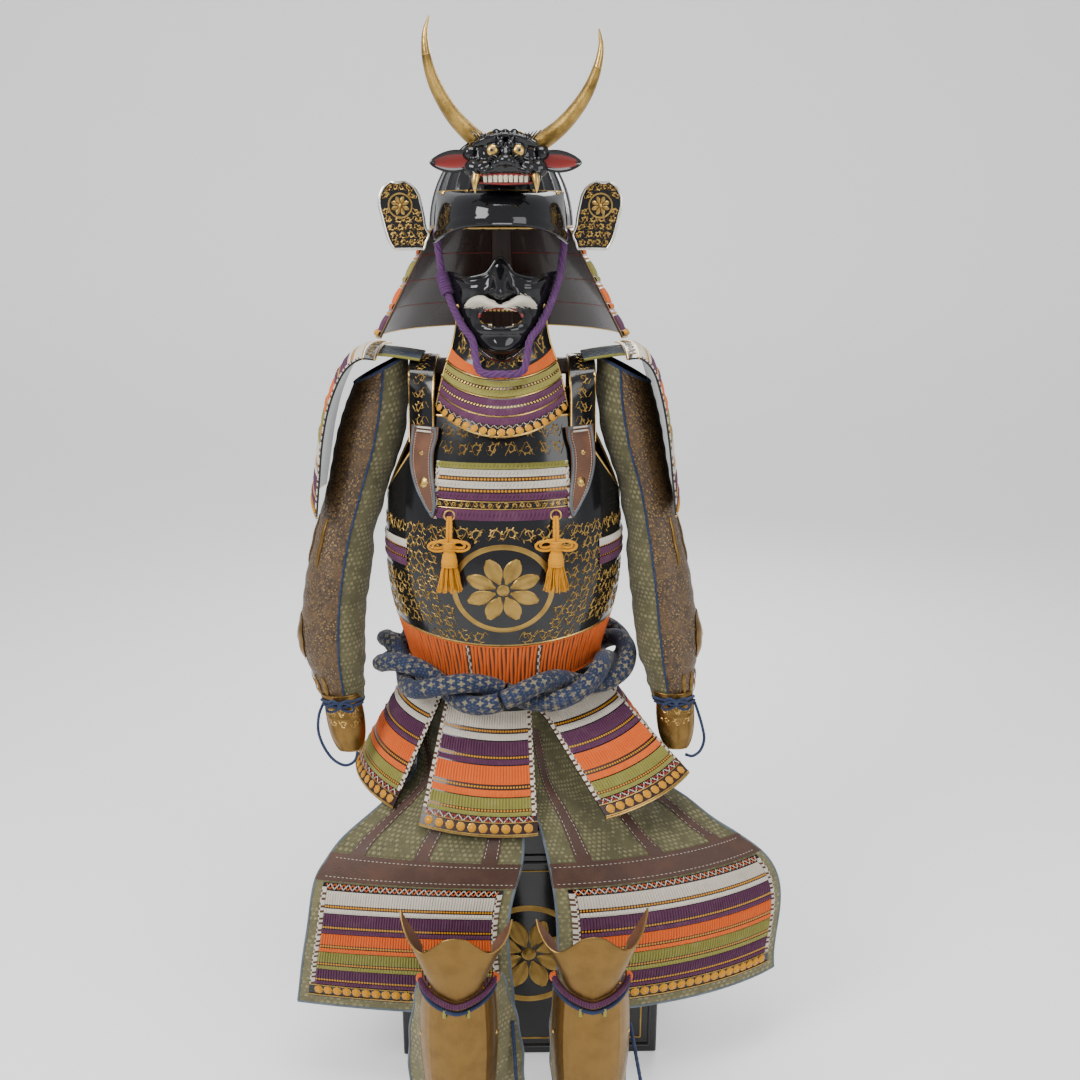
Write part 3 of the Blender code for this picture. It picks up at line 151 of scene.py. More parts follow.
def gold(name, colour=(0.56, 0.35, 0.10), roughness=0.34, dark=(0.13, 0.065, 0.02), grain=700, depth=0.0002,
         patina=0.45):
    made = Finish(name, colour, roughness, 1.0)
    cloud = made.noise(38, 7)
    fine = made.noise(grain, 3)
    made.set("Base Color", made.mix(made.ramp(cloud, 0.42, 0.72, 0, patina), colour, dark))
    made.set("Roughness", made.ramp(fine, 0.3, 0.7, roughness * 0.8, roughness * 1.45))
    made.bump(made.math("ADD", fine, made.math("MULTIPLY", cloud, 2.0)), depth, 0.7)
    return made.material


def silk(name, colour, fade=(0.5, 0.45, 0.4), braid=0.0016, faded=0.35, rough=0.78):
    """A flat braid of silk: V-shaped threads, softly faded."""
    made = Finish(name, colour, rough, sheen_weight=0.08, sheen_roughness=0.5, specular_ior_level=0.25)
    cloud = made.noise(60, 4)
    threads = made.noise(1500, 2, stretch=(1, 1, 0.3))
    plait = made.weave(braid)
    tone = made.mix(made.ramp(threads, 0.35, 0.75, 0, 0.45), colour, tuple(c * 0.45 for c in colour))
    made.set("Base Color", made.mix(made.ramp(cloud, 0.5, 0.85, 0, faded), tone, fade))
    made.bump(made.math("ADD", made.math("MULTIPLY", plait, 0.6), threads), 0.0004, 0.8)
    return made.material


def brocade(name, ground, motif, accent, pitch=0.016, petals=6, sheen=0.15):
    made = Finish(name, ground, 0.7, sheen_weight=sheen, specular_ior_level=0.3)
    weave = made.weave(0.0009)
    cloud = made.noise(45, 5)
    broken = made.ramp(made.noise(0.55 / pitch, 4), 0.42, 0.56)
    big = made.math("MULTIPLY", made.flowers(pitch, petals, 0.42), broken)
    small = made.flowers(pitch * 0.47, 4, 0.30)
    base = made.mix(made.ramp(cloud, 0.35, 0.7, 0, 0.7), ground, tuple(c * 0.55 for c in ground))
    base = made.mix(made.math("MULTIPLY", small, 0.6), base, accent)
    base = made.mix(made.math("MULTIPLY", big, 0.85), base, motif)
    made.set("Base Color", made.mix(made.ramp(weave, 0.2, 1.0, 0, 0.35), base, tuple(c * 0.35 for c in ground)))
    raised = made.math("ADD", made.math("MULTIPLY", big, 0.8), made.math("MULTIPLY", small, 0.4))
    made.bump(made.math("ADD", raised, made.math("MULTIPLY", weave, 0.5)), 0.0005, 0.7)
    return made.material


def mail(name):
    """Small gold and brown mail sewn on cloth."""
    made = Finish(name, (0.25, 0.15, 0.05), 0.45)
    rings = made.cells(230, "UV")
    ids = made.cells(230, "UV", output=1)
    bright = made.ramp(rings, 0.15, 0.42, 1.0, 0.0)
    patch = made.noise(34, 5)
    base = made.mix(bright, (0.030, 0.017, 0.008), (0.36, 0.225, 0.080))
    base = made.mix(made.ramp(patch, 0.45, 0.65, 0, 0.55), base, (0.10, 0.055, 0.02))
    shade = made.mix(made.ramp(ids, 0.2, 0.9, 0, 0.5), base, (0.14, 0.075, 0.030))
    made.set("Base Color", shade)
    made.set("Metallic", made.math("MULTIPLY", bright, 0.8))
    made.bump(rings, 0.0012, 0.9)
    return made.material


def leather(name, colour=(0.105, 0.042, 0.020)):
    made = Finish(name, colour, 0.52, specular_ior_level=0.4)
    cloud = made.noise(30, 6)
    pores = made.cells(520)
    worn = made.mix(made.ramp(cloud, 0.45, 0.75, 0, 0.6), colour, tuple(c * 2.0 for c in colour))
    made.set("Base Color", made.mix(made.ramp(pores, 0.0, 0.35, 0.5, 0), worn, tuple(c * 0.4 for c in colour)))
    made.set("Roughness", made.ramp(cloud, 0.3, 0.8, 0.40, 0.68))
    made.bump(made.math("ADD", pores, cloud), 0.0007, 0.6)
    return made.material


def wood(name):
    made = Finish(name, (0.07, 0.03, 0.015), 0.42, coat_weight=0.2, coat_roughness=0.25)
    grain = made.noise(26, 8, stretch=(6, 6, 0.35))
    rings = made.node("TexWave", {"Vector": made.place(scale=(1, 1, 0.12)), "Scale": 38.0, "Distortion": 5.0,
                                  "Detail": 3.0}, 1)
    tone = made.mix(made.ramp(grain, 0.3, 0.7), (0.018, 0.008, 0.005), (0.060, 0.028, 0.014))
    made.set("Base Color", made.mix(made.math("MULTIPLY", rings, 0.35), tone, (0.02, 0.009, 0.005)))
    made.set("Roughness", made.ramp(grain, 0.3, 0.7, 0.34, 0.52))
    made.bump(made.math("ADD", grain, rings), 0.0005, 0.5)
    return made.material


def hair(name, colour):
    made = Finish(name, colour, 0.55, sheen_weight=0.2)
    streak = made.noise(900, 3)
    made.set("Base Color", made.mix(made.ramp(streak, 0.3, 0.7), tuple(c * 0.62 for c in colour), colour))
    made.bump(streak, 0.0002, 0.5)
    return made.material


LOOK = {
    "lacquer": lacquer("black_lacquer"),
    "visor": lacquer("visor_lacquer", (0.006, 0.006, 0.007), 0.07, 0.1),
    "chest": lacquer("chest_lacquer", (0.009, 0.0085, 0.009), 0.14, 0.8),
    "brown_lacquer": lacquer("brown_lacquer", (0.030, 0.012, 0.008), 0.26, 0.6),
    "red_lacquer": lacquer("red_lacquer", (0.20, 0.016, 0.012), 0.3, 0.6),
    "gilt": gold("bronze_gilt", (0.215, 0.125, 0.038), 0.34, (0.07, 0.038, 0.014), 420, 0.0002, 0.30),
    "gold": gold("bright_gold", (0.60, 0.39, 0.12), 0.28),
    "paint_gold": gold("painted_gold", (0.42, 0.265, 0.075), 0.38, (0.14, 0.08, 0.022), 900, 0.0001, 0.5),
    "horn": gold("horn_gold", (0.44, 0.28, 0.075), 0.40, (0.07, 0.040, 0.012), 460, 0.0014, 0.8),
    "silver": gold("silver_rim", (0.72, 0.68, 0.60), 0.28, (0.28, 0.24, 0.18), 700, 0.0001, 0.3),
    "ochre": silk("ochre_disc", (0.60, 0.25, 0.006), (0.58, 0.31, 0.04), faded=0.15, rough=0.6),
    "white": silk("white_silk", (0.66, 0.60, 0.50), (0.45, 0.36, 0.27)),
    "purple": silk("purple_silk", (0.098, 0.026, 0.068), (0.19, 0.085, 0.12)),
    "orange": silk("orange_silk", (0.72, 0.125, 0.014), (0.60, 0.20, 0.06)),
    "green": silk("green_silk", (0.255, 0.235, 0.050), (0.38, 0.35, 0.14)),
    "pale_green": silk("pale_green_silk", (0.29, 0.26, 0.060), (0.40, 0.37, 0.15)),
    "red": silk("red_silk", (0.42, 0.035, 0.025), (0.40, 0.12, 0.09)),
    "brown": silk("brown_silk", (0.10, 0.045, 0.025), (0.22, 0.13, 0.08)),
    "navy": silk("navy_silk", (0.022, 0.035, 0.085), (0.09, 0.11, 0.18)),
    "yellow": silk("yellow_silk", (0.68, 0.28, 0.005), (0.70, 0.38, 0.04), faded=0.3),
    "cord_purple": silk("purple_cord", (0.105, 0.035, 0.125), (0.20, 0.10, 0.22)),
    "sage": brocade("sage_brocade", (0.120, 0.108, 0.048), (0.26, 0.23, 0.115), (0.045, 0.050, 0.030), 0.0085),
    "pale_brocade": brocade("pale_brocade", (0.175, 0.155, 0.070), (0.32, 0.28, 0.14), (0.075, 0.080, 0.045), 0.0085),
    "gold_brocade": brocade("gold_brocade", (0.13, 0.085, 0.035), (0.42, 0.29, 0.12), (0.05, 0.06, 0.035), 0.014),
    "blue_brocade": brocade("blue_brocade", (0.035, 0.070, 0.135), (0.28, 0.26, 0.15), (0.07, 0.12, 0.12), 0.013),
    "sash": brocade("indigo_brocade", (0.012, 0.022, 0.062), (0.24, 0.20, 0.11), (0.070, 0.085, 0.110), 0.013, 4,
                    0.1),
    "lining": silk("lining_cloth", (0.10, 0.055, 0.03), (0.17, 0.11, 0.07), 0.0012),
    "mail": mail("gold_mail"),
    "leather": leather("brown_leather"),
    "red_leather": leather("dark_leather", (0.055, 0.024, 0.014)),
    "edge_leather": leather("grey_blue_leather", (0.085, 0.105, 0.120)),
    "wood": wood("dark_wood"),
    "hair": hair("cream_hair", (0.74, 0.68, 0.55)),
    "ivory": lacquer("ivory", (0.62, 0.55, 0.42), 0.32, 0.4),
}


# ---------------------------------------------------------------- mesh tools

class Shape:
    """Points and faces of one piece, each run of faces with its own finish."""

    def __init__(self):
        self.points, self.quads, self.tris, self.uvs, self.looks = [], [], [], [], []
        self.count = 0

    def slot_of(self, look):
        if look not in self.looks:
            self.looks.append(look)
        return self.looks.index(look)

    def add(self, points, faces, look, uvs=None):
        points = np.asarray(points, float).reshape(-1, 3)
        faces = np.asarray(faces, int)
        if not len(faces):
            return
        uvs = np.zeros((len(points), 2)) if uvs is None else np.asarray(uvs, float).reshape(-1, 2)
        if isinstance(look, str):
            slots = np.full(len(faces), self.slot_of(look))
        else:
            slots = np.array([self.slot_of(name) for name in look])
        kind = self.quads if faces.shape[1] == 4 else self.tris
        kind.append((faces + self.count, slots))
        self.points.append(points)
        self.uvs.append(uvs)
        self.count += len(points)

    def sheet(self, points, look, uvs=None, wrap=False, flip=False):
        """A grid of points as one skin. look is a finish or a function of the cell's row and column."""
        rows, cols = points.shape[:2]
        index = np.arange(rows * cols).reshape(rows, cols)
        if wrap:
            index = np.concatenate([index, index[:, :1]], axis=1)
        quads = np.stack([index[:-1, :-1], index[:-1, 1:], index[1:, 1:], index[1:, :-1]], axis=-1)
        if flip:
            quads = quads[..., ::-1]
        names = look
        if callable(look):
            names = [look(i, j) for i in range(quads.shape[0]) for j in range(quads.shape[1])]
        if uvs is None:
            uvs = lengths(points)
        self.add(points, quads.reshape(-1, 4), names, uvs)

    def slab(self, outer, inner, look, back=None, wrap=False):
        """A closed wall between two grids."""
        back = back or (look if isinstance(look, str) else "lining")
        edge = back
        self.sheet(outer, look, wrap=wrap)
        self.sheet(inner, back, wrap=wrap, flip=True)
        rims = [(outer[0], inner[0]), (inner[-1], outer[-1])]
        if not wrap:
            rims += [(inner[:, 0], outer[:, 0]), (outer[:, -1], inner[:, -1])]
        for a, b in rims:
            self.sheet(np.stack([b, a]), edge, wrap=wrap)

    def tube(self, path, radius, look, sides=8, flat=1.0, closed=False, twist=0.0, caps=True, up=None):
        path = np.asarray(path, float)
        radius = np.zeros(len(path)) + radius
        rings = frames(path, closed, up)
        turn = np.arange(sides) * 2 * math.pi / sides
        angles = turn[None, :] + twist * np.arange(len(path))[:, None]
        points = path[:, None] + radius[:, None, None] * (
            np.cos(angles)[..., None] * rings[0][:, None] + flat * np.sin(angles)[..., None] * rings[1][:, None])
        along = np.concatenate([[0], np.cumsum(np.linalg.norm(np.diff(path, axis=0), axis=1))])
        around = turn / (2 * math.pi) * float(radius.mean()) * 2 * math.pi
        if closed:
            points = np.concatenate([points, points[:1]])
            along = np.concatenate([along, [along[-1] + np.linalg.norm(path[0] - path[-1])]])
        uvs = np.stack(np.broadcast_arrays(around[None, :], along[:, None]), axis=-1)
        self.sheet(points, look, uvs, wrap=True)
        if caps and not closed:
            for ring, flip in ((points[0], True), (points[-1], False)):
                fan = [(0, k + 1, (k + 1) % sides + 1) for k in range(sides)]
                if flip:
                    fan = [f[::-1] for f in fan]
                name = look if isinstance(look, str) else look(0, 0)
                self.add(np.concatenate([ring.mean(axis=0, keepdims=True), ring]), fan, name)

    def domes(self, centres, normal, across, radius, height, look, sides=8, rings=2, petals=0):
        """Round studs standing on a surface. petals above 0 give them lobes."""
        centres, normal, across = (np.asarray(a, float).reshape(-1, 3) for a in (centres, normal, across))
        other = np.cross(normal, across)
        turn = np.arange(sides) * 2 * math.pi / sides
        parts = []
        for ring in range(rings):
            share = 1 - ring / rings
            reach = radius * share * (1 + (0.10 * np.cos(petals * turn) if petals else 0))
            rise = height * math.sqrt(max(0.0, 1 - share ** 2)) if rings > 1 else 0
            if ring == 0:
                rise = 0.0
            parts.append(centres[:, None] + normal[:, None] * rise + reach[None, :, None] * (
                np.cos(turn)[None, :, None] * across[:, None] + np.sin(turn)[None, :, None] * other[:, None])
                if petals else centres[:, None] + normal[:, None] * rise + radius * share * (
                np.cos(turn)[None, :, None] * across[:, None] + np.sin(turn)[None, :, None] * other[:, None]))
        top = (centres + normal * height)[:, None]
        points = np.concatenate([*parts, top], axis=1)
        each = sides * rings + 1
        quads, tris = [], []
        for ring in range(rings - 1):
            for k in range(sides):
                m = (k + 1) % sides
                quads.append((ring * sides + k, ring * sides + m, (ring + 1) * sides + m, (ring + 1) * sides + k))
        for k in range(sides):
            tris.append(((rings - 1) * sides + k, (rings - 1) * sides + (k + 1) % sides, each - 1))
        shift = (np.arange(len(centres)) * each)[:, None, None]
        flat = points.reshape(-1, 3)
        uvs = flat[:, [0, 2]]
        if quads:
            self.add(flat, (np.array(quads)[None] + shift).reshape(-1, 4), look, uvs)
            self.add(flat, (np.array(tris)[None] + shift).reshape(-1, 3), look, uvs)
        else:
            self.add(flat, (np.array(tris)[None] + shift).reshape(-1, 3), look, uvs)

    def make(self, name, replaces=(), smooth=40):
        points, uvs = np.concatenate(self.points), np.concatenate(self.uvs)
        loops, starts, totals, slots = [], [], [], []
        at = 0
        for faces, looks in [*self.quads, *self.tris]:
            size = faces.shape[1]
            loops.append(faces.reshape(-1))
            starts.append(at + np.arange(len(faces)) * size)
            totals.append(np.full(len(faces), size))
            slots.append(looks)
            at += faces.size
        loops, starts, totals, slots = (np.concatenate(a) for a in (loops, starts, totals, slots))
        mesh = bpy.data.meshes.new(name)
        mesh.vertices.add(len(points))
        mesh.vertices.foreach_set("co", points.reshape(-1))
        mesh.loops.add(len(loops))
        mesh.loops.foreach_set("vertex_index", loops)
        mesh.polygons.add(len(starts))
        mesh.polygons.foreach_set("loop_start", starts)
        mesh.polygons.foreach_set("material_index", slots)
        layer = mesh.uv_layers.new(name="UVMap")
        layer.data.foreach_set("uv", uvs[loops].reshape(-1))
        mesh.update(calc_edges=True)
        mesh.validate()
        for look in self.looks:
            mesh.materials.append(LOOK[look])
        mesh.shade_smooth()
        mesh.set_sharp_from_angle(angle=math.radians(smooth))
        made = bpy.data.objects.new(name, mesh)
        bpy.context.scene.collection.objects.link(made)
        return keep(made, replaces)


def keep(piece, replaces=()):
    """A piece of the armour: it rides on the suit and stands for its solids."""
    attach(piece, "root")
    if replaces:
        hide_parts(*replaces)
    return piece


def lengths(points):
    """Lengths along a grid's columns and rows, in metres, as its texture coordinates."""
    across = np.linalg.norm(np.diff(points, axis=1), axis=2).mean(axis=0)
    down = np.linalg.norm(np.diff(points, axis=0), axis=2).mean(axis=1)
    u = np.concatenate([[0], np.cumsum(across)])
    v = np.concatenate([[0], np.cumsum(down)])
    return np.stack(np.broadcast_arrays(u[None, :], v[:, None]), axis=-1)


def frames(path, closed=False, up=None):
    """Two directions square to a path at each of its points, turning as little as they can."""
    if closed:
        tangents = np.roll(path, -1, 0) - np.roll(path, 1, 0)
    else:
        tangents = np.gradient(path, axis=0)
    tangents /= np.linalg.norm(tangents, axis=1, keepdims=True)
    if up is None:
        up = np.array((0.0, 0.0, 1.0)) if abs(tangents[0][2]) < 0.9 else np.array((0.0, 1.0, 0.0))
    sides, ups = [], []
    for tangent in tangents:
        side = np.cross(tangent, up)
        side /= np.linalg.norm(side)
        up = np.cross(side, tangent)
        sides.append(side)
        ups.append(up)
    return np.array(sides), np.array(ups)


def smooth_path(points, count):
    """A smooth line through points, resampled."""
    points = np.asarray(points, float)
    fine = np.linspace(0, len(points) - 1, count)
    return np.stack([spline(np.arange(len(points)), points[:, k], fine) for k in range(3)], axis=1)


def spline(xs, ys, x):
    """Catmull-Rom curve through a short table, at x."""
    xs, ys = np.array(xs, float), np.array(ys, float)
    if xs[0] > xs[-1]:
        xs, ys = xs[::-1], ys[::-1]
    slope = np.gradient(ys, xs)
    x = np.clip(x, xs[0], xs[-1])
    k = np.clip(np.searchsorted(xs, x) - 1, 0, len(xs) - 2)
    step = xs[k + 1] - xs[k]
    t = (x - xs[k]) / step
    return (
        ys[k] * (1 + 2 * t) * (1 - t) ** 2
        + ys[k + 1] * t * t * (3 - 2 * t)
        + step * slope[k] * t * (1 - t) ** 2
        - step * slope[k + 1] * t * t * (1 - t)
    )


def normals(grid, centre, wrap=False):
    """Unit normals of a grid of points, away from the centre."""
    down = np.gradient(grid, axis=0)
    if wrap:
        across = np.roll(grid, -1, 1) - np.roll(grid, 1, 1)
    else:
        across = np.gradient(grid, axis=1)
    normal = np.cross(down, across)
    normal /= np.maximum(np.linalg.norm(normal, axis=2, keepdims=True), 1e-12)
    if np.sum(normal * (grid - np.array(centre))) < 0:
        normal = -normal
    return normal


class Patch:
    """A smooth surface through a grid: u across and v down, both from 0 to 1."""

    def __init__(self, grid, centre, wrap=False):
        self.grid = np.asarray(grid, float)
        self.normal = normals(self.grid, centre, wrap)
        if wrap:
            self.grid = np.concatenate([self.grid, self.grid[:, :1]], axis=1)
            self.normal = np.concatenate([self.normal, self.normal[:, :1]], axis=1)
        self.width = np.linalg.norm(np.diff(self.grid, axis=1), axis=2).sum(axis=1).mean()
        self.height = np.linalg.norm(np.diff(self.grid, axis=0), axis=2).sum(axis=0).mean()

    def pick(self, table, u, v):
        rows, cols = table.shape[:2]
        i = np.clip(v * (rows - 1), 0, rows - 1 - 1e-9)
        j = np.clip(u * (cols - 1), 0, cols - 1 - 1e-9)
        a, b = i.astype(int), j.astype(int)
        s, t = (i - a)[..., None], (j - b)[..., None]
        return ((table[a, b] * (1 - t) + table[a, b + 1] * t) * (1 - s)
                + (table[a + 1, b] * (1 - t) + table[a + 1, b + 1] * t) * s)

    def at(self, u, v, out=0.0):
        u, v = np.broadcast_arrays(np.asarray(u, float), np.asarray(v, float))
        normal = self.pick(self.normal, u, v)
        normal = normal / np.linalg.norm(normal, axis=-1, keepdims=True)
        return self.pick(self.grid, u, v) + normal * (np.zeros(u.shape) + out)[..., None]

    def facing(self, u, v):
        u, v = np.broadcast_arrays(np.asarray(u, float), np.asarray(v, float))
        normal = self.pick(self.normal, u, v)
        normal = normal / np.linalg.norm(normal, axis=-1, keepdims=True)
        across = self.pick(self.grid, np.minimum(u + 0.01, 1), v) - self.pick(self.grid, np.maximum(u - 0.01, 0), v)
        across -= normal * np.sum(across * normal, axis=-1, keepdims=True)
        return normal, across / np.linalg.norm(across, axis=-1, keepdims=True)

    def band(self, shape, u, v, relief, look):
        """A strip between rows and columns, standing off the surface by relief."""
        u, v = np.meshgrid(u, v)
        shape.sheet(self.at(u, v, relief(u, v)), look, np.stack([u * self.width, v * self.height], axis=-1))


# ---------------------------------------------------------------- the suit's own tables and surfaces

METAL = 2.0 * MM           # gilt shin, knee and hand plates
CHEST_X = 0.042            # the chest's middle
CHEST_WIDTH, CHEST_DEPTH = 0.46, 0.38
CUIRASS = {
    "z":     (0.690, 0.735, 0.785, 0.840, 0.900, 0.960, 1.020, 1.080, 1.130, 1.180),
    "width": (0.166, 0.172, 0.186, 0.198, 0.203, 0.202, 0.197, 0.188, 0.178, 0.166),
    "front": (0.132, 0.136, 0.145, 0.157, 0.162, 0.157, 0.147, 0.134, 0.122, 0.108),
    "back":  (0.112, 0.114, 0.118, 0.124, 0.128, 0.130, 0.130, 0.127, 0.122, 0.114),
}
WAIST_Z = 0.798            # the cuirass's lower edge at the sides and back
WAIST_DIP = 0.020          # how much lower that edge is in front
ARMHOLE_Z = 1.015          # the cuirass's top edge under the arms
CHEST_PLATE_Z = 1.160      # top of the breast plate
CHEST_PLATE_ANGLE = 40     # degrees from the middle to its corner
BACK_PLATE_Z = 1.178
LACING_DROP = 0.078        # free lacing between the cuirass and the tassets
STRAP_X, STRAP_WIDTH, STRAP_THICK = 0.131, 0.042, 4 * MM
STRAP_TOP_Z = 1.246
ROLL_RADIUS = 0.0168
ROLL_TURNS = 5
SASH_Z = 0.716
SASH_OUT = 0.0398          # from the waist wall to the middle of the sash
TASSETS = {
    "name":   ("front", "left", "right", "side_left", "side_right", "rear"),
    "middle": (-0.029, -0.187, 0.122, -0.343, 0.281, 0.440),   # along the waist, from the front
    "facing": (-2, -66, 10, -122, 110, 178),                    # degrees from the front
    "flare":  (31, 30, 50, 27, 34, 26),                         # degrees from the vertical
    "spread": (0.30, 0.25, 0.10, 0.30, 0.30, 0.34),             # how much it fans out with the waist's curve
    "roll":   (-2, 0, 24, 0, 0, 0),                             # degrees, in its own plane
    "length": (0.254, 0.246, 0.268, 0.236, 0.232, 0.236),
}
TASSET_WIDTH = 0.147
TASSET_FLARE = (0.05, 0.24)  # where down its length a tasset starts and ends its turn outwards
SHOULDER_GUARD = {
    "x": {-1: (0.203, 0.232, 0.262, 0.289, 0.307, 0.319, 0.330),
          1: (0.203, 0.228, 0.250, 0.268, 0.281, 0.291, 0.300)},
    "z": (1.2583, 1.2583, 1.236, 1.185, 1.125, 1.060, 1.000),
}
SLEEVE = {
    "x":    {-1: (0.205, 0.214, 0.229, 0.249, 0.272, 0.288, 0.296, 0.296, 0.289, 0.284),
             1: (0.205, 0.211, 0.224, 0.2425, 0.258, 0.271, 0.279, 0.286, 0.292, 0.297)},
    "y":    (0.000, -0.004, -0.010, -0.017, -0.026, -0.036, -0.045, -0.055, -0.064, -0.069),
    "z":    (1.2262, 1.170, 1.100, 1.030, 0.950, 0.870, 0.800, 0.735, 0.685, 0.650),
    "wide": {-1: (0.043, 0.053, 0.055, 0.050, 0.050, 0.054, 0.054, 0.049, 0.040, 0.033),
             1: (0.043, 0.050, 0.049, 0.0435, 0.046, 0.052, 0.054, 0.049, 0.040, 0.033)},
    "deep": (0.058, 0.064, 0.062, 0.060, 0.060, 0.058, 0.055, 0.050, 0.042, 0.036),
}
THIGH = {
    "z":     (0.745, 0.715, 0.640, 0.580, 0.520, 0.470, 0.430, 0.395, 0.160),
    "cx":    (0.000, 0.000, 0.006, 0.014, 0.024, 0.032, 0.040, 0.045, 0.050),
    "front": (0.1356, 0.1262, 0.1345, 0.154, 0.178, 0.228, 0.252, 0.262, 0.284),
}
THIGH_SIDES = {
    -1: {
        "wide": (0.1718, 0.1600, 0.166, 0.186, 0.236, 0.400, 0.600, 0.730, 0.800),
        "inner": (5, 4, 3, 2, 0, 0, 1, 2, 2.5),
        "outer": (76, 74, 72, 66, 52, 43, 34, 30, 31),
    },
    1: {
        "wide": (0.1718, 0.1600, 0.166, 0.186, 0.236, 0.430, 0.470, 0.490, 0.530),
        "inner": (5, 4, 4, 4, 4, 4, 4, 4, 4),
        "outer": (76, 74, 72, 68, 61, 47, 51, 55, 55),
    },
}
SHIN_Y = -0.405
SHINS = {-1: -0.072, 1: 0.136}
SHIN = {
    "z":     (0.338, 0.290, 0.220, 0.150, 0.080, 0.000),
    "wide":  (0.054, 0.058, 0.060, 0.056, 0.049, 0.046),
    "front": (0.050, 0.053, 0.054, 0.050, 0.046, 0.046),
}
BOWL_CENTRE = (0.0, -0.008, 1.452)
BOWL_RADII = (0.112, 0.133, 0.142)
TEHEN_RADIUS = 0.014       # the hole in the bowl's crown
VISOR_ANGLE = 64
NECK_LAMES = 4
NECK_TOP = (0.1145, 0.1345, 1.4505)   # half-width, half-depth and height of the top lame's upper edge
NECK_STEP = (0.0232, 0.0220, 0.0395)
CREST = (0.010, -0.166, 1.547)
CREST_LEAN = 4             # degrees, how far the crest leans towards +X


def torso_point(angle, z, out=0.0):
    """A point on the cuirass's inner surface, or out from it. Angle 0 is the front."""
    width = spline(CUIRASS["z"], CUIRASS["width"], z) + out
    depth = spline(CUIRASS["z"], CUIRASS["front" if math.cos(angle) > 0 else "back"], z) + out
    return np.array((width * math.sin(angle), -depth * math.cos(angle), z))


def torso_y(x, z, out, back=False):
    """How far forward or back the cuirass lies at a place, the surface moved out."""
    width = float(spline(CUIRASS["z"], CUIRASS["width"], z)) + out
    depth = float(spline(CUIRASS["z"], CUIRASS["back" if back else "front"], z)) + out
    y = depth * math.sqrt(1 - min(0.98, abs(x) / width) ** 2)
    return y if back else -y


def waist_edge(angle):
    """Height of the cuirass's lower edge."""
    return WAIST_Z - WAIST_DIP * max(0.0, math.cos(angle)) ** 2


def armhole_angle(z, top_angle, top_z):
    """How far round, in degrees, a plate reaches at a height: all the way below the arm."""
    share = np.clip((z - ARMHOLE_Z) / (top_z - ARMHOLE_Z), 0, 1)
    return 89.6 + (top_angle - 89.6) * share ** 0.62


def strap_point(x, share):
    """A point on a strap's underside: up the back plate, over the yoke, down the breast plate."""
    lift = LAMINA + 1.2 * MM
    back = [torso_y(x, z, lift, True) for z in (1.105, 1.150)]
    front = [torso_y(x, z, lift) for z in (1.150, 1.110)]
    y = (*back, back[1] - 0.006, 0.072, 0.040, 0.0, -0.040, -0.072, front[0] + 0.006, *front)
    z = (1.105, 1.150, 1.192, 1.226, 1.239, STRAP_TOP_Z - STRAP_THICK, 1.238, 1.222, 1.188, 1.150, 1.110)
    knots = np.linspace(0, 1, len(y))
    return x, float(spline(knots, y, share)), float(spline(knots, z, share))


def waist_point(angle, drop, out=0.0):
    """A point on the waist below the cuirass. drop is from its lower edge."""
    z = waist_edge(angle) - drop
    return torso_point(angle, z, out)


def waist_length():
    """The ring that the tassets hang from: angles and the way along it from the front."""
    angles = np.linspace(-math.pi, math.pi, 721)
    ring = np.array([waist_point(a, LACING_DROP + SEAM, LAMINA * 0.5) for a in angles])
    steps = np.linalg.norm(np.diff(ring, axis=0), axis=1)
    along = np.concatenate([[0], np.cumsum(steps)])
    return angles, along - along[len(along) // 2]


def tasset_grid(index, places, cells=4):
    """The inner surface of a tasset: rows down it, columns across."""
    angles, along = waist_length()
    total = along[-1] - along[0]
    middle = TASSETS["middle"][index]

    def hang(way):
        way = (way + total / 2) % total - total / 2
        angle = np.interp(way, along, angles)
        top = waist_point(angle, LACING_DROP + 3.5 * SEAM, -LAMINA * 0.2)
        return top, np.array((math.sin(angle), -math.cos(angle), 0.0))

    facing = math.radians(TASSETS["facing"][index])
    forward = np.array((math.sin(facing), -math.cos(facing), 0.0))
    flare = math.radians(TASSETS["flare"][index])
    tangent = np.array((-forward[1], forward[0], 0.0))
    downwards = np.array((0.0, 0.0, -1.0))
    face = forward * math.cos(flare) - downwards * math.sin(flare)
    roll = math.radians(TASSETS["roll"][index])
    length = TASSETS["length"][index]
    steps = np.linspace(0, 1, 81)
    turned = np.clip((steps - TASSET_FLARE[0]) / (TASSET_FLARE[1] - TASSET_FLARE[0]), 0, 1)
    turned = turned * turned * (3 - 2 * turned)
    outwards = np.concatenate([[0], np.cumsum(np.sin(flare * turned[1:]))]) * length / 80
    fallen = np.concatenate([[0], np.cumsum(np.cos(flare * turned[1:]))]) * length / 80
    grid = np.zeros((len(places), cells + 1, 3))
    for j, offset in enumerate(np.linspace(-0.5, 0.5, cells + 1) * TASSET_WIDTH):
        top, out = hang(middle + offset)
        mixed = forward * (1 - TASSETS["spread"][index]) + out * TASSETS["spread"][index]
        mixed /= np.linalg.norm(mixed)
        for i, place in enumerate(places):
            away = np.interp(place, steps, outwards)
            fall = np.interp(place, steps, fallen)
            hung = mixed * away + downwards * fall + tangent * offset * 0.20 * place
            swing = Matrix.Rotation(roll * np.interp(place, (0, 0.25), (0, 1)), 3, Vector(face))
            grid[i, j] = top + np.array(swing @ Vector(hung))
    return grid


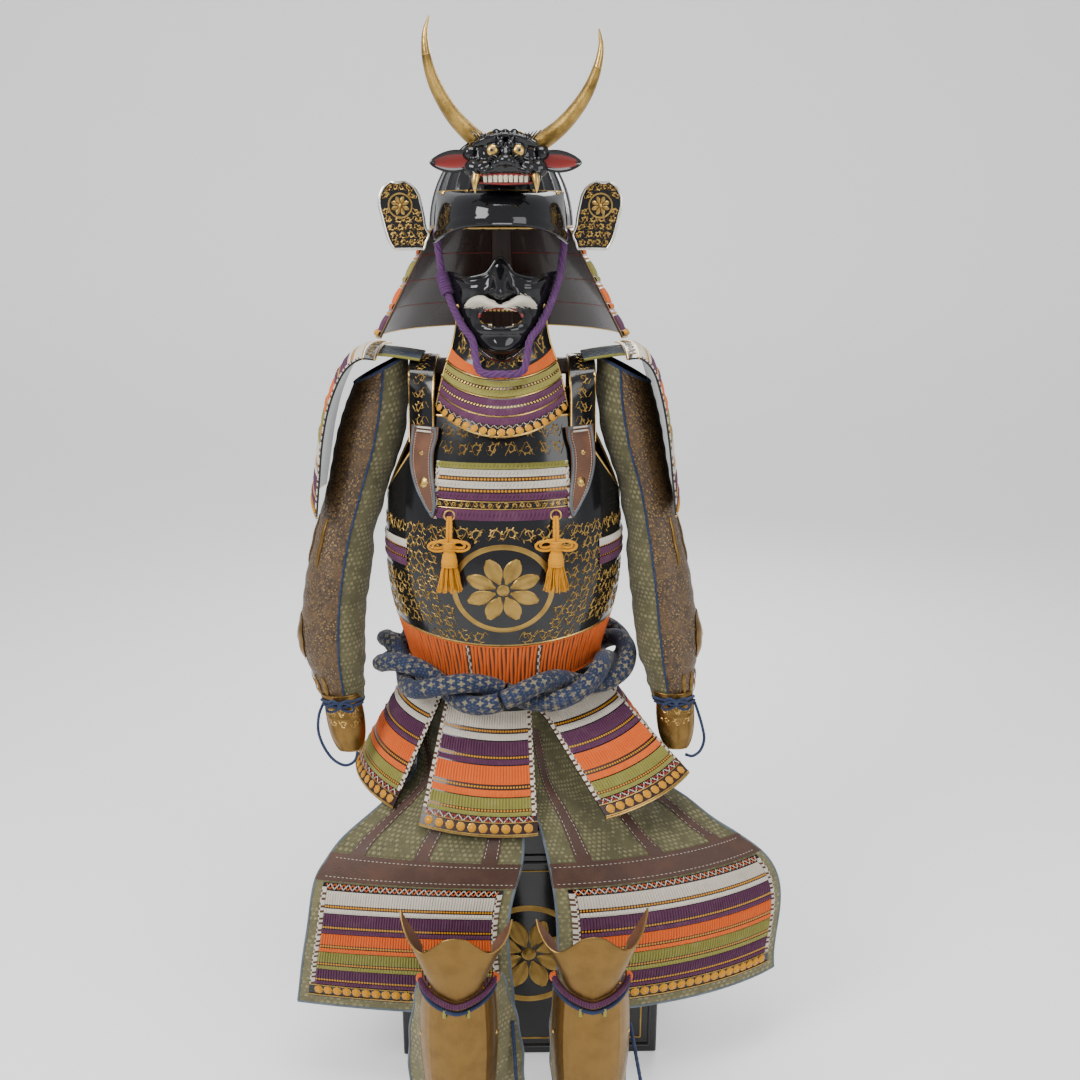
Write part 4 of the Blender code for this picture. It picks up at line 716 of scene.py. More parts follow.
def sleeve_point(side, share, angle, out=0.0):
    """A point on a sleeve's inner surface. Angle 0 faces front and 90 degrees outwards."""
    knots = np.linspace(0, 1, len(SLEEVE["z"]))
    x, wide = (spline(knots, SLEEVE[k][side], share) for k in ("x", "wide"))
    y, z, deep = (spline(knots, SLEEVE[k], share) for k in ("y", "z", "deep"))
    lean = 0.55 * max(0.0, 1 - share * 5)       # the shoulder's rim slopes with the shoulder
    across = (wide + out) * math.sin(angle)
    return np.array((side * (x + across), y - (deep + out) * math.cos(angle), z - lean * across))


SLEEVE_FOLDS = {
    "share": (0.30, 0.45, 0.62, 0.70, 0.86, 0.93),
    "angle": (-40, -70, -60, -100, -50, -20),
    "depth": (3.5, 4.5, 5.0, 4.0, 3.5, 2.5),
    "reach": (50, 60, 70, 55, 60, 50),
}


def sleeve_folds(share, degrees):
    """Soft creases at the inside of the arm, and the rise over the elbow plate."""
    rise = 0.0
    for place, angle, depth, reach in zip(*SLEEVE_FOLDS.values()):
        gap = (degrees - angle + 180) % 360 - 180
        rise -= depth * MM * math.exp(-((share - place) / 0.035) ** 2 - (gap / reach) ** 2)
    elbow = math.exp(-((share - 0.735) / 0.06) ** 2 - (((degrees - 90 + 180) % 360 - 180) / 40) ** 2)
    return rise + 6 * MM * elbow


def thigh_point(side, share, z):
    """A point on the inner face of a thigh guard's cloth."""
    rows = {**THIGH, **THIGH_SIDES[side]}
    cx, wide, front, inner, outer = (spline(rows["z"], rows[k], z) for k in ("cx", "wide", "front", "inner", "outer"))
    angle = math.radians(inner + (outer - inner) * share)
    return np.array((cx + side * wide * math.sin(angle), -front * math.cos(angle), z))


THIGH_BORDER = 0.055                           # the brocade left bare beside the board, as a share
THIGH_BOARD = (0.388, 0.178)                   # top and bottom of the laced board
THIGH_STRAP = (0.428, 0.392)                   # the leather band above it


def thigh_folds(share, z):
    """Soft vertical folds in the apron, none on the board."""
    swing = math.sin(share * 4.2 * math.pi + 0.6)
    amount = np.interp(z, (0.43, 0.52, 0.60, 0.66), (0, 3.2 * MM, 2.5 * MM, 0))
    return amount * swing


def shin_point(side, angle, z, out=0.0):
    wide, front = (spline(SHIN["z"], SHIN[k], z) for k in ("wide", "front"))
    keel = 4 * MM * max(0.0, 1 - abs(math.degrees(angle)) / 22)
    x = SHINS[side] + (wide + out) * math.sin(angle)
    return np.array((x, SHIN_Y - (front + out + keel) * math.cos(angle), z))


KNEE_EDGE = {                                  # the top edge, from the middle to the horn's tip
    "angle":  (0, 14, 28, 42, 56, 70, 84),
    "height": (0.438, 0.434, 0.420, 0.408, 0.414, 0.432, 0.452),
    "inner":  (0.438, 0.434, 0.420, 0.406, 0.407, 0.419, 0.434),
}


def bowl_point(angle, rise, out=0.0):
    """A point on the helmet bowl. Angle 0 is the front, rise is from the rim to the crown in degrees."""
    cx, cy, cz = BOWL_CENTRE
    rx, ry, rz = BOWL_RADII
    flat = math.cos(math.radians(rise))
    return np.array((
        cx + (rx + out) * flat * math.sin(angle),
        cy - (ry + out) * flat * math.cos(angle),
        cz + (rz + out) * math.sin(math.radians(rise)),
    ))


def visor_point(angle, share):
    """The visor leaves the bowl above its rim and turns down in an arch over the brow."""
    start = bowl_point(angle, 22, LAMINA + 1.3 * MM + SEAM)
    side = math.sin(angle) ** 2
    reach = 0.050 * math.cos(angle) ** 1.5 + 0.006
    end = np.array((
        start[0] * (1 + 0.06 * share),
        start[1] - reach,
        1.4590 - 0.040 * side ** 1.5,
    ))
    bow = np.array((0.0, -0.014 * math.cos(angle), 0.012)) * math.sin(share * math.pi)
    return start * (1 - share) + end * share + bow


TURNBACK = {                                   # outline of a turned-back wing, from its foot to its top
    "z":     (1.421, 1.431, 1.444, 1.452, 1.470, 1.490, 1.506, 1.517, 1.522),
    "inner": (0.122, 0.119, 0.114, 0.118, 0.121, 0.125, 0.130, 0.140, 0.152),
    "outer": (0.168, 0.175, 0.180, 0.182, 0.186, 0.190, 0.187, 0.178, 0.168),
}
HORN = {                                       # from root to tip, for the left horn
    "x":      (-0.036, -0.056, -0.080, -0.101, -0.116, -0.125, -0.127, -0.122),
    "z":      (1.574, 1.586, 1.607, 1.634, 1.662, 1.692, 1.718, 1.740),
    "radius": (0.0215, 0.0215, 0.0195, 0.0170, 0.0140, 0.0105, 0.0065, 0.0018),
}


def horn_place(side, x, z):
    """The horns lean a little to the wearer's left, as the crest is set."""
    lean = math.radians(CREST_LEAN)
    dx, dz = -side * x, z - CREST[2]
    return (CREST[0] + dx * math.cos(lean) + dz * math.sin(lean),
            CREST[1] + 0.018 - 0.10 * (z - 1.60),
            CREST[2] - dx * math.sin(lean) + dz * math.cos(lean))


MASK = {
    "z":     (1.250, 1.262, 1.280, 1.305, 1.335, 1.365, 1.392, 1.415),
    "wide":  (0.046, 0.056, 0.068, 0.078, 0.085, 0.089, 0.091, 0.091),
    "front": (0.082, 0.092, 0.100, 0.103, 0.103, 0.100, 0.094, 0.088),
}
MASK_Y = -0.034
MOUTH = (1.337, 1.303)


def mask_point(angle, share, out=0.0):
    """A point on the face mask. share runs from the upper edge to the lower."""
    degrees = math.degrees(angle)
    top = 1.386 + 0.024 * math.exp(-((degrees / 9) ** 2)) - 0.006 * math.exp(-(((abs(degrees) - 32) / 14) ** 2))
    bottom = 1.253 + 0.098 * (abs(degrees) / 78) ** 1.8
    z = top + (bottom - top) * share
    wide, front = (spline(MASK["z"], MASK[k], z) for k in ("wide", "front"))
    x = (wide + out) * math.sin(angle)
    nose_rise = float(np.interp(z, (1.346, 1.353, 1.362, 1.41), (0, 0.026, 0.028, 0.004)))
    nose = nose_rise * math.exp(-((x / 0.0105) ** 2))
    wings = 0.010 * math.exp(-(((abs(x) - 0.014) / 0.006) ** 2) - ((z - 1.3580) / 0.0045) ** 2)
    cheeks = 0.007 * math.exp(-(((abs(x) - 0.048) / 0.020) ** 2) - ((z - 1.368) / 0.016) ** 2)
    lips = 0.005 * math.exp(-((x / 0.036) ** 4)) * (
        math.exp(-(((z - MOUTH[0] - 0.003) / 0.006) ** 2)) + math.exp(-(((z - MOUTH[1] + 0.003) / 0.006) ** 2)))
    chin = 0.010 * math.exp(-((x / 0.022) ** 2) - ((z - 1.272) / 0.014) ** 2)
    forward = nose + wings + cheeks + lips + chin
    return np.array((x, MASK_Y - (front + out) * math.cos(angle) - forward, z))


THROAT = {                                     # upper and lower edges of each lame, in the middle and at the ends
    "wide":  (0.078, 0.100, 0.108, 0.115, 0.121),
    "front": (0.086, 0.102, 0.124, 0.145, 0.162),
    "z":     (1.250, 1.222, 1.196, 1.170, 1.142),
    "ends":  (1.300, 1.246, 1.222, 1.200, 1.178),
    "reach": (62, 62, 62, 61, 60),
}
THROAT_GAP = 4 * MM        # below the mask's lower edge, both of which slope
LEATHER_GUARD = {                              # half-widths down its length, towards the arm and the chest
    "drop":  (0.000, 0.016, 0.036, 0.058, 0.082, 0.104, 0.124, 0.144),
    "outer": (0.022, 0.023, 0.025, 0.026, 0.022, 0.014, 0.002, -0.010),
    "inner": (0.024, 0.022, 0.016, 0.014, 0.015, 0.017, 0.017, 0.014),
}


# ---------------------------------------------------------------- camera, light and floor

CAMERA_PLACE = (0.03, -1.95, 1.48)
CAMERA_TILT, CAMERA_TURN = 74, -0.974          # degrees
LENS, SENSOR = 38.33, 36                       # millimetres
SKY, SKY_STRENGTH = (0.93, 0.95, 1.0, 1), 0.62
LIGHTS = (                                     # name, place, what it is aimed at, size in metres, watts
    ("key", (-2.2, -2.0, 2.9), (0, 0, 1.0), 1.5, 96),
    ("fill", (2.3, -2.1, 1.9), (0, 0, 0.9), 1.6, 34),
    ("top", (0.1, -0.6, 3.2), (0, 0, 1.1), 1.2, 40),
    ("back", (0.6, 2.4, 2.4), (0, 0, 1.0), 1.8, 44),
)
SWEEP = [(-6.0, 0.0), (-2.0, 0.0), (1.5, 0.0), (3.0, 0.0), (3.7, 0.03), (4.2, 0.16), (4.6, 0.45), (4.85, 1.0),
         (4.95, 2.4), (5.0, 6.0)]              # the backdrop's y and z
SWEEP_ROWS = 60
SWEEP_REACH = 7.0                              # half its width
SWEEP_BELOW = 0.0003                           # how far it lies below the floor's plane
PAPER, PAPER_FLECK = (0.92, 0.92, 0.91), (0.87, 0.87, 0.86)
PAPER_ROUGHNESS = 0.9
PAPER_GLOW, PAPER_GLOW_STRENGTH = (1.0, 1.0, 0.99, 1), 0.24


def stage_and_light():
    camera = bpy.data.objects.new("camera", bpy.data.cameras.new("camera"))
    camera.location = CAMERA_PLACE
    camera.rotation_euler = (math.radians(CAMERA_TILT), 0, math.radians(CAMERA_TURN))
    camera.data.lens = LENS
    camera.data.sensor_width = SENSOR
    bpy.context.scene.collection.objects.link(camera)
    bpy.context.scene.camera = camera
    world = bpy.data.worlds.new("studio")
    bpy.context.scene.world = world
    world.use_nodes = True
    world.node_tree.nodes["Background"].inputs["Color"].default_value = SKY
    world.node_tree.nodes["Background"].inputs["Strength"].default_value = SKY_STRENGTH
    for name, place, aim, size, power in LIGHTS:
        light = bpy.data.lights.new(name, "AREA")
        light.size = size
        light.energy = power
        lamp = bpy.data.objects.new(name, light)
        lamp.location = place
        lamp.rotation_euler = (Vector(aim) - Vector(place)).to_track_quat("-Z", "Y").to_euler()
        bpy.context.scene.collection.objects.link(lamp)
    y, z = smooth_path([(0.0, a, b) for a, b in SWEEP], SWEEP_ROWS)[:, 1:].T
    rows = [[(x, a, b - SWEEP_BELOW) for x in (-SWEEP_REACH, SWEEP_REACH)] for a, b in zip(y, z)]
    backdrop = Finish("pale_paper", PAPER, PAPER_ROUGHNESS)
    fleck = backdrop.noise(3, 4)
    backdrop.set("Base Color", backdrop.mix(backdrop.ramp(fleck, 0.3, 0.7, 0, 0.25), PAPER, PAPER_FLECK))
    backdrop.bump(backdrop.noise(300, 3), 0.0003, 0.2)
    backdrop.set("Emission Color", PAPER_GLOW)
    backdrop.set("Emission Strength", PAPER_GLOW_STRENGTH)
    rows = np.array(rows)
    mesh = bpy.data.meshes.new("backdrop")
    count = len(rows)
    faces = [(2 * i, 2 * i + 1, 2 * i + 3, 2 * i + 2) for i in range(count - 1)]
    mesh.from_pydata(rows.reshape(-1, 3).tolist(), [], faces)
    mesh.materials.append(backdrop.material)
    mesh.shade_smooth()
    floor = bpy.data.objects.new("backdrop", mesh)
    bpy.context.scene.collection.objects.link(floor)


# ---------------------------------------------------------------- free cords

TIES = {
    "wrist_tie_left": (-1, ((0.3172, -0.0950, 0.652), (0.323, -0.106, 0.636), (0.324, -0.114, 0.610),
                            (0.316, -0.114, 0.580), (0.300, -0.116, 0.556), (0.280, -0.116, 0.545),
                            (0.264, -0.114, 0.552), (0.258, -0.110, 0.568))),
    "wrist_tie_right": (1, ((0.3325, -0.0955, 0.652), (0.338, -0.106, 0.636), (0.345, -0.114, 0.612),
                            (0.349, -0.113, 0.588), (0.343, -0.112, 0.566), (0.330, -0.112, 0.556),
                            (0.317, -0.114, 0.560))),
    "leg_tie_left": (1, ((0.0126, -0.3902, 0.230), (0.015, -0.397, 0.190), (0.018, -0.406, 0.130),
                         (0.022, -0.422, 0.070), (0.032, -0.442, 0.026), (0.043, -0.466, 0.0052),
                         (0.056, -0.492, 0.0037), (0.066, -0.520, 0.0037))),
    "leg_tie_right": (1, ((0.2004, -0.3950, 0.230), (0.208, -0.408, 0.190), (0.219, -0.420, 0.130),
                          (0.232, -0.434, 0.070), (0.243, -0.448, 0.026), (0.257, -0.464, 0.0052),
                          (0.274, -0.484, 0.0037), (0.294, -0.502, 0.0037))),
}
LEG_TIE_RADIUS, WRIST_TIE_RADIUS = 0.0030, 0.0026
TIE_POINTS, TIE_RINGS = 38, 190                # along the route that is stated, and along the visible cord


def ties():
    for name, (side, points) in TIES.items():
        leg = name.startswith("leg")
        radius = LEG_TIE_RADIUS if leg else WRIST_TIE_RADIUS
        path = smooth_path(np.array(points) * np.array((side, 1, 1)), TIE_POINTS)
        shape = Shape()
        fine = smooth_path(path, TIE_RINGS)
        radii = radius * (1 + 0.06 * np.sin(np.arange(TIE_RINGS) * 1.3))
        radii[-7:] = radius * np.array((1.0, 1.25, 1.3, 1.25, 1.1, 0.95, 0.8))
        shape.tube(fine, radii, "navy", sides=10, twist=0.18)
        made = shape.make(name, (name,))


# ---------------------------------------------------------------- silk lacing on lacquered lames

def rows_of_cords(shape, patch, v0, v1, pitch, height, look, u0=0.0, u1=1.0, base=0.0004, slant=0.0, steps=3):
    """Cords side by side across a strip. With a slant they twist like a rope."""
    count = max(2, round(patch.width * (u1 - u0) / pitch))
    cells = 3 if slant == 0 else 4
    u = np.linspace(u0, u1, count * cells + 1)
    v = np.linspace(v0, v1, steps + 1)
    jitter = rng.uniform(0.82, 1.12, count + 2)

    def relief(a, b):
        share = (b - v0) / (v1 - v0)
        way = (a - u0) / (u1 - u0) * count + slant * (share - 0.5)
        round_ = np.abs(np.sin(math.pi * way)) ** 0.6
        ends = np.sin(math.pi * np.clip(share * 0.94 + 0.03, 0, 1)) ** (0.30 if slant == 0 else 0.5)
        return base + height * round_ * ends * jitter[np.clip(way.astype(int), 0, count + 1)]

    patch.band(shape, u, v, relief, look)


def scale_heads(shape, patch, v, pitch, look="ochre", u0=0.0, u1=1.0, radius=0.0019, out=0.0006,
                plate="brown_lacquer",
                depth=0.0044):
    """A row of small gilt scale heads on a lacquered strip."""
    half = depth / 2 / patch.height
    patch.band(shape, np.linspace(u0, u1, 21), np.array((v - half, v, v + half)), lambda a, b: out + 0 * a, plate)
    count = max(2, round(patch.width * (u1 - u0) / pitch))
    u = u0 + (np.arange(count) + 0.5) / count * (u1 - u0)
    at = np.full(count, v)
    normal, across = patch.facing(u, at)
    shape.domes(patch.at(u, at, out), normal, across, radius, 0.0011, look, sides=7, rings=1)


def crosses(shape, patch, v0, v1, pitch, looks=("white", "red"), u0=0.0, u1=1.0, out=0.0009):
    """A row of crossed stitches."""
    count = max(2, round(patch.width * (u1 - u0) / pitch))
    thick = 0.17
    for k in range(count):
        a = u0 + (k + 0.08) / count * (u1 - u0)
        b = u0 + (k + 0.92) / count * (u1 - u0)
        for turn in (0, 1):
            left, right = (v0, v1) if turn else (v1, v0)
            s = np.linspace(0, 1, 4)
            u, v = a + (b - a) * s, left + (right - left) * s
            wide = (v1 - v0) * thick
            grid_v = np.stack([v - wide, v, v + wide])
            grid_u = np.stack([u, u, u])
            rise = out + turn * 0.0008 + np.array((0.0, 0.0009, 0.0))[:, None] + 0 * grid_u
            shape.sheet(patch.at(grid_u, grid_v, rise), looks[(k + turn) % len(looks)])


def discs(shape, patch, v, radius, u0=0.03, u1=0.97, out=0.0012, look="ochre", rim="gold", count=None):
    count = count or max(2, int(patch.width * (u1 - u0) / (radius * 2.05)))
    u = u0 + (np.arange(count) + 0.5) / count * (u1 - u0)
    at = np.full(count, v)
    normal, across = patch.facing(u, at)
    centres = patch.at(u, at, out)
    shape.domes(centres, normal, across, radius, 0.0012, rim, sides=12, rings=2)
    shape.domes(centres + normal * 0.0006, normal, across, radius * 0.95, 0.0026, look, sides=14, rings=3, petals=7)
    shape.domes(centres + normal * 0.0024, normal, across, radius * 0.22, 0.0014, rim, sides=10, rings=2)


def binding(shape, patch, u0, u1, v0=0.0, v1=1.0, pitch=0.0042, height=0.0022, out=0.0006,
            looks=("white", "white", "brown", "white", "brown")):
    """A speckled cord laced along an edge from top to bottom."""
    count = max(2, round(patch.height * (v1 - v0) / pitch))
    cells = 3
    v = np.linspace(v0, v1, count * cells + 1)
    u = np.linspace(u0, u1, 5)

    def relief(a, b):
        share = (a - u0) / (u1 - u0)
        way = (b - v0) / (v1 - v0) * count + 0.5 * share
        return out + (height * np.abs(np.sin(math.pi * way)) ** 0.6
                      * np.sin(math.pi * np.clip(share, 0.03, 0.97)) ** 0.5)

    patch.band(shape, u, v, relief, lambda i, j: looks[(i // cells + j // 3) % len(looks)])


def plate(shape, patch, thickness, look="lacquer", back="lacquer", cells=(26, 18)):
    """The lacquered board behind the lacing."""
    u, v = np.meshgrid(np.linspace(0, 1, cells[1] + 1), np.linspace(0, 1, cells[0] + 1))
    shape.slab(patch.at(u, v, thickness), patch.at(u, v, 0.0), look, back)


def rim(shape, patch, v, radius, look, out=0.002, sides=8, steps=60, u0=0.0, u1=1.0):
    """A round edge across a panel."""
    u = np.linspace(u0, u1, steps)
    shape.tube(patch.at(u, np.full(steps, v), out), radius, look, sides=sides)


def laced_lame(shape, patch, v0, v1, colour, out, pitch=0.0047, tall=0.60, thin=True, u0=0.045, u1=0.955,
               heads=True, second=None):
    """Free lacing, a row of scale heads and a tight twisted row, from one lame to the next."""
    span = v1 - v0
    middle = v0 + span * tall
    rows_of_cords(shape, patch, v0 + span * 0.02, middle, pitch, 0.0030, colour, u0, u1, out, steps=3)
    if heads:
        scale_heads(shape, patch, middle + span * 0.085, pitch, u0=u0, u1=u1, out=out + 0.0011,
                    depth=span * 0.15 * patch.height, radius=min(0.0019, span * 0.08 * patch.height))
    start = middle + span * (0.17 if heads else 0.03)
    if thin:
        rows_of_cords(shape, patch, start, v1 - span * 0.02, pitch * 1.05, 0.0026, second or colour, u0, u1,
                      out + 0.0012, slant=1.0, steps=2)


# ---------------------------------------------------------------- tassets

def tassets():
    places = np.linspace(0, 1, 49)
    for index, word in enumerate(TASSETS["name"]):
        patch = Patch(tasset_grid(index, places, 24), (0, 0, 0.7))
        shape = Shape()
        plate(shape, patch, LAMINA)
        out = LAMINA
        edges = (0.170, 0.375, 0.535, 0.745, 0.868)
        for k, colour in enumerate(("white", "purple", "orange", "green")):
            laced_lame(shape, patch, edges[k], edges[k + 1], colour, out + 0.0002 * k)
        crosses(shape, patch, 0.873, 0.903, 0.0072, u0=0.03, u1=0.97, out=out + 0.0014)
        patch.band(shape, np.linspace(0.0, 1, 31), np.array((0.870, 0.90, 0.94, 0.985)),
                   lambda a, b: out + 0.0009 + 0 * a, "brown_lacquer")
        discs(shape, patch, 0.945, 0.0074, out=out + 0.0012, count=10)
        for v in (0.907, 0.984):
            rim(shape, patch, v, 0.0010, "gold", out + 0.0015)
        binding(shape, patch, 0.0, 0.048, 0.15, 0.868, out=out)
        binding(shape, patch, 0.952, 1.0, 0.15, 0.868, out=out)
        rim(shape, patch, 0.992, 0.0022, "gold", out * 0.6)
        rim(shape, patch, 0.004, 0.0020, "brown_lacquer", out * 0.6)
        shape.make("tasset_laced_" + word, ("tasset_" + word,))


# ---------------------------------------------------------------- shoulder guards

def shoulder_guards():
    zs = SHOULDER_GUARD["z"]
    knots = np.linspace(0, 1, len(zs))
    half = 0.122
    for side, word in ((-1, "left"), (1, "right")):
        xs = SHOULDER_GUARD["x"][side]
        depths = np.linspace(-half, half, 33)
        grid = np.zeros((57, len(depths), 3))
        for i, share in enumerate(np.linspace(0, 1, 57)):
            x, z = spline(knots, xs, share), spline(knots, zs, share)
            inward = 0.9 * depths * depths * (0.25 + 0.75 * share)
            turn = 0.10 * (-depths) * share if side < 0 else 0.02 * (-depths) * share
            grid[i] = np.stack([side * (x - inward - turn), depths + 0.004, z - 0.5 * depths * depths], axis=1)
        patch = Patch(grid, (side * 0.1, 0, 0.9))
        shape = Shape()
        plate(shape, patch, LAMINA, cells=(56, 32))
        out = LAMINA
        edges = np.linspace(0.135, 0.955, 7)
        for k, colour in enumerate(("white", "purple", "orange", "green", "white", "purple")):
            laced_lame(shape, patch, edges[k], edges[k + 1], colour, out, u0=0.035, u1=0.965)
        scrolls(shape, patch, 0.03, 0.97, 0.02, 0.115, out + 0.0004, 7, 1)
        for v in (0.004, 0.128):
            rim(shape, patch, v, 0.0022, "gold", out * 0.7)
        binding(shape, patch, 0.0, 0.034, 0.13, 0.955, out=out)
        binding(shape, patch, 0.966, 1.0, 0.13, 0.955, out=out)
        discs(shape, patch, 0.977, 0.0042, out=out, count=26)
        rim(shape, patch, 0.996, 0.0022, "gold", out * 0.6)
        shape.make("shoulder_guard_laced_" + word, ("shoulder_guard_" + word,))


# ---------------------------------------------------------------- gold scrollwork

def ribbon(shape, patch, u, v, width, out, look="paint_gold", taper=True):
    """A thin raised line on a surface, along points in metres-free u and v."""
    u, v = np.clip(u, 0.001, 0.999), np.clip(v, 0.001, 0.999)
    way_u, way_v = np.gradient(u) * patch.width, np.gradient(v) * patch.height
    size = np.maximum(np.hypot(way_u, way_v), 1e-9)
    off_u, off_v = -way_v / size / patch.width, way_u / size / patch.height
    share = np.linspace(0, 1, len(u))
    half = width / 2 * (np.sin(math.pi * np.clip(share, 0.06, 0.94)) ** 0.5 if taper else np.ones(len(u)))
    grid_u = np.stack([u - off_u * half, u, u + off_u * half])
    grid_v = np.stack([v - off_v * half, v, v + off_v * half])
    rise = out + np.array((0.0, 0.0006, 0.0))[:, None] + 0 * grid_u
    points = patch.at(np.clip(grid_u, 0, 1), np.clip(grid_v, 0, 1), rise)
    shape.sheet(points, look)


def leaf(shape, patch, u, v, turn, length, width, out, look="paint_gold"):
    s = np.linspace(0, 1, 4)
    x = s * length
    bend = math.sin(turn * 3.1) * 0.25 * length * s * s
    du = (x * math.cos(turn) - bend * math.sin(turn)) / patch.width
    dv = (x * math.sin(turn) + bend * math.cos(turn)) / patch.height
    ribbon(shape, patch, u + du, v + dv, width, out, look)


def curl(shape, patch, u, v, turn, reach, out, hand=1, width=0.0020, look="paint_gold"):
    """A spiral tendril with leaves along its back."""
    s = np.linspace(0, 1, 17)
    angle = turn + hand * s * 6.9
    radius = reach * (1 - 0.84 * s)
    cu, cv = u - reach * math.cos(turn) / patch.width, v - reach * math.sin(turn) / patch.height
    pu, pv = cu + radius * np.cos(angle) / patch.width, cv + radius * np.sin(angle) / patch.height
    ribbon(shape, patch, pu, pv, width, out, look)
    for k in (1, 3, 5, 7, 10):
        leaf(shape, patch, pu[k], pv[k], angle[k] + hand * 0.5, reach * 0.50 * (1 - 0.6 * s[k]), width * 1.2, out,
             look)


def scrolls(shape, patch, u0, u1, v0, v1, out, across, down, reach=None, look="paint_gold", miss=None):
    """Scrolling foliage over a panel."""
    wide, high = (u1 - u0) / across, (v1 - v0) / down
    reach = reach or 0.36 * min(wide * patch.width, high * patch.height)
    for i in range(down):
        for j in range(across):
            u = u0 + (j + 0.5) * wide
            v = v0 + (i + 0.5) * high
            if miss and miss(u, v):
                continue
            hand = 1 if (i + j) % 2 else -1
            turn = rng.uniform(0, 6.28)
            start_u = u + reach * math.cos(turn) / patch.width
            start_v = v + reach * math.sin(turn) / patch.height
            curl(shape, patch, start_u, start_v, turn, reach, out, hand, look=look)
            s = np.linspace(-0.5, 0.5, 7)
            ribbon(shape, patch, u + s * wide, v + high * 0.42 * np.sin(s * 6.28 + j), 0.0016, out, look)


def rosette(shape, centre, normal, across, radius, thick=0.0016, look="gold", petals=8, ring=True):
    """A plain gold ring round an eight-petal rosette."""
    centre, normal, across = (np.asarray(a, float) for a in (centre, normal, across))
    other = np.cross(normal, across)
    turn = np.linspace(0, 2 * math.pi, 49)[:-1]
    if ring:
        path = centre + radius * 0.93 * (np.cos(turn)[:, None] * across + np.sin(turn)[:, None] * other)
        shape.tube(path, radius * 0.075, look, sides=8, flat=0.8, closed=True, up=normal)
    for k in range(petals):
        angle = 2 * math.pi * (k + 0.5) / petals
        way = math.cos(angle) * across + math.sin(angle) * other
        side = np.cross(normal, way)
        s = np.linspace(0, 1, 8)
        half = radius * 0.165 * np.sin(math.pi * np.clip(s, 0.02, 0.98) ** 1.25) ** 0.62
        middle = centre + way * (radius * (0.16 + 0.60 * s))[:, None]
        rise = thick * np.sin(math.pi * np.clip(s, 0.04, 0.96)) ** 0.5
        rows = []
        for a, up in ((-1, 0.1), (-0.6, 0.9), (0, 0.62), (0.6, 0.9), (1, 0.1)):
            rows.append(middle + side * (a * half)[:, None] + normal * (rise * up)[:, None])
        shape.sheet(np.array(rows), look)
    shape.domes([centre], [normal], [across], radius * 0.17, thick * 1.8, look, sides=16, rings=3)
    beads = 2 * math.pi * np.arange(petals) / petals
    spots = centre + radius * 0.26 * (np.cos(beads)[:, None] * across + np.sin(beads)[:, None] * other)
    shape.domes(spots, np.tile(normal, (petals, 1)), np.tile(across, (petals, 1)), radius * 0.035, thick * 1.2, look,
                sides=6, rings=2)


def mapped_rosette(shape, patch, u, v, radius, out, look="paint_gold", petals=8):
    """The plain ring and rosette, laid on a curved surface."""
    turn = np.linspace(0, 2 * math.pi, 97)
    for share, width in ((0.93, 0.055),):
        pu = u + radius * share * np.cos(turn) / patch.width
        pv = v + radius * share * np.sin(turn) / patch.height
        ribbon(shape, patch, pu, pv, radius * width * 2, out, look, taper=False)
    for k in range(petals):
        angle = 2 * math.pi * (k + 0.5) / petals
        s = np.linspace(0, 1, 12)
        half = 0.160 * np.sin(math.pi * np.clip(s, 0.03, 0.97) ** 1.2) ** 0.6
        reach = 0.15 + 0.57 * s
        rows_u, rows_v, rise = [], [], []
        for a, up in ((-1, 0.0), (-0.8, 0.0013), (-0.3, 0.0006), (0, 0.0003), (0.3, 0.0006), (0.8, 0.0013), (1, 0.0)):
            x = reach * math.cos(angle) - a * half * math.sin(angle)
            y = reach * math.sin(angle) + a * half * math.cos(angle)
            rows_u.append(u + radius * x / patch.width)
            rows_v.append(v + radius * y / patch.height)
            rise.append(out + up + 0 * s)
        shape.sheet(patch.at(np.array(rows_u), np.array(rows_v), np.array(rise)), look)
    normal, across = patch.facing(u, v)
    centre = patch.at(u, v, out)
    shape.domes([centre], [normal], [across], radius * 0.13, 0.0024, look, sides=18, rings=3)


# ---------------------------------------------------------------- thigh guards

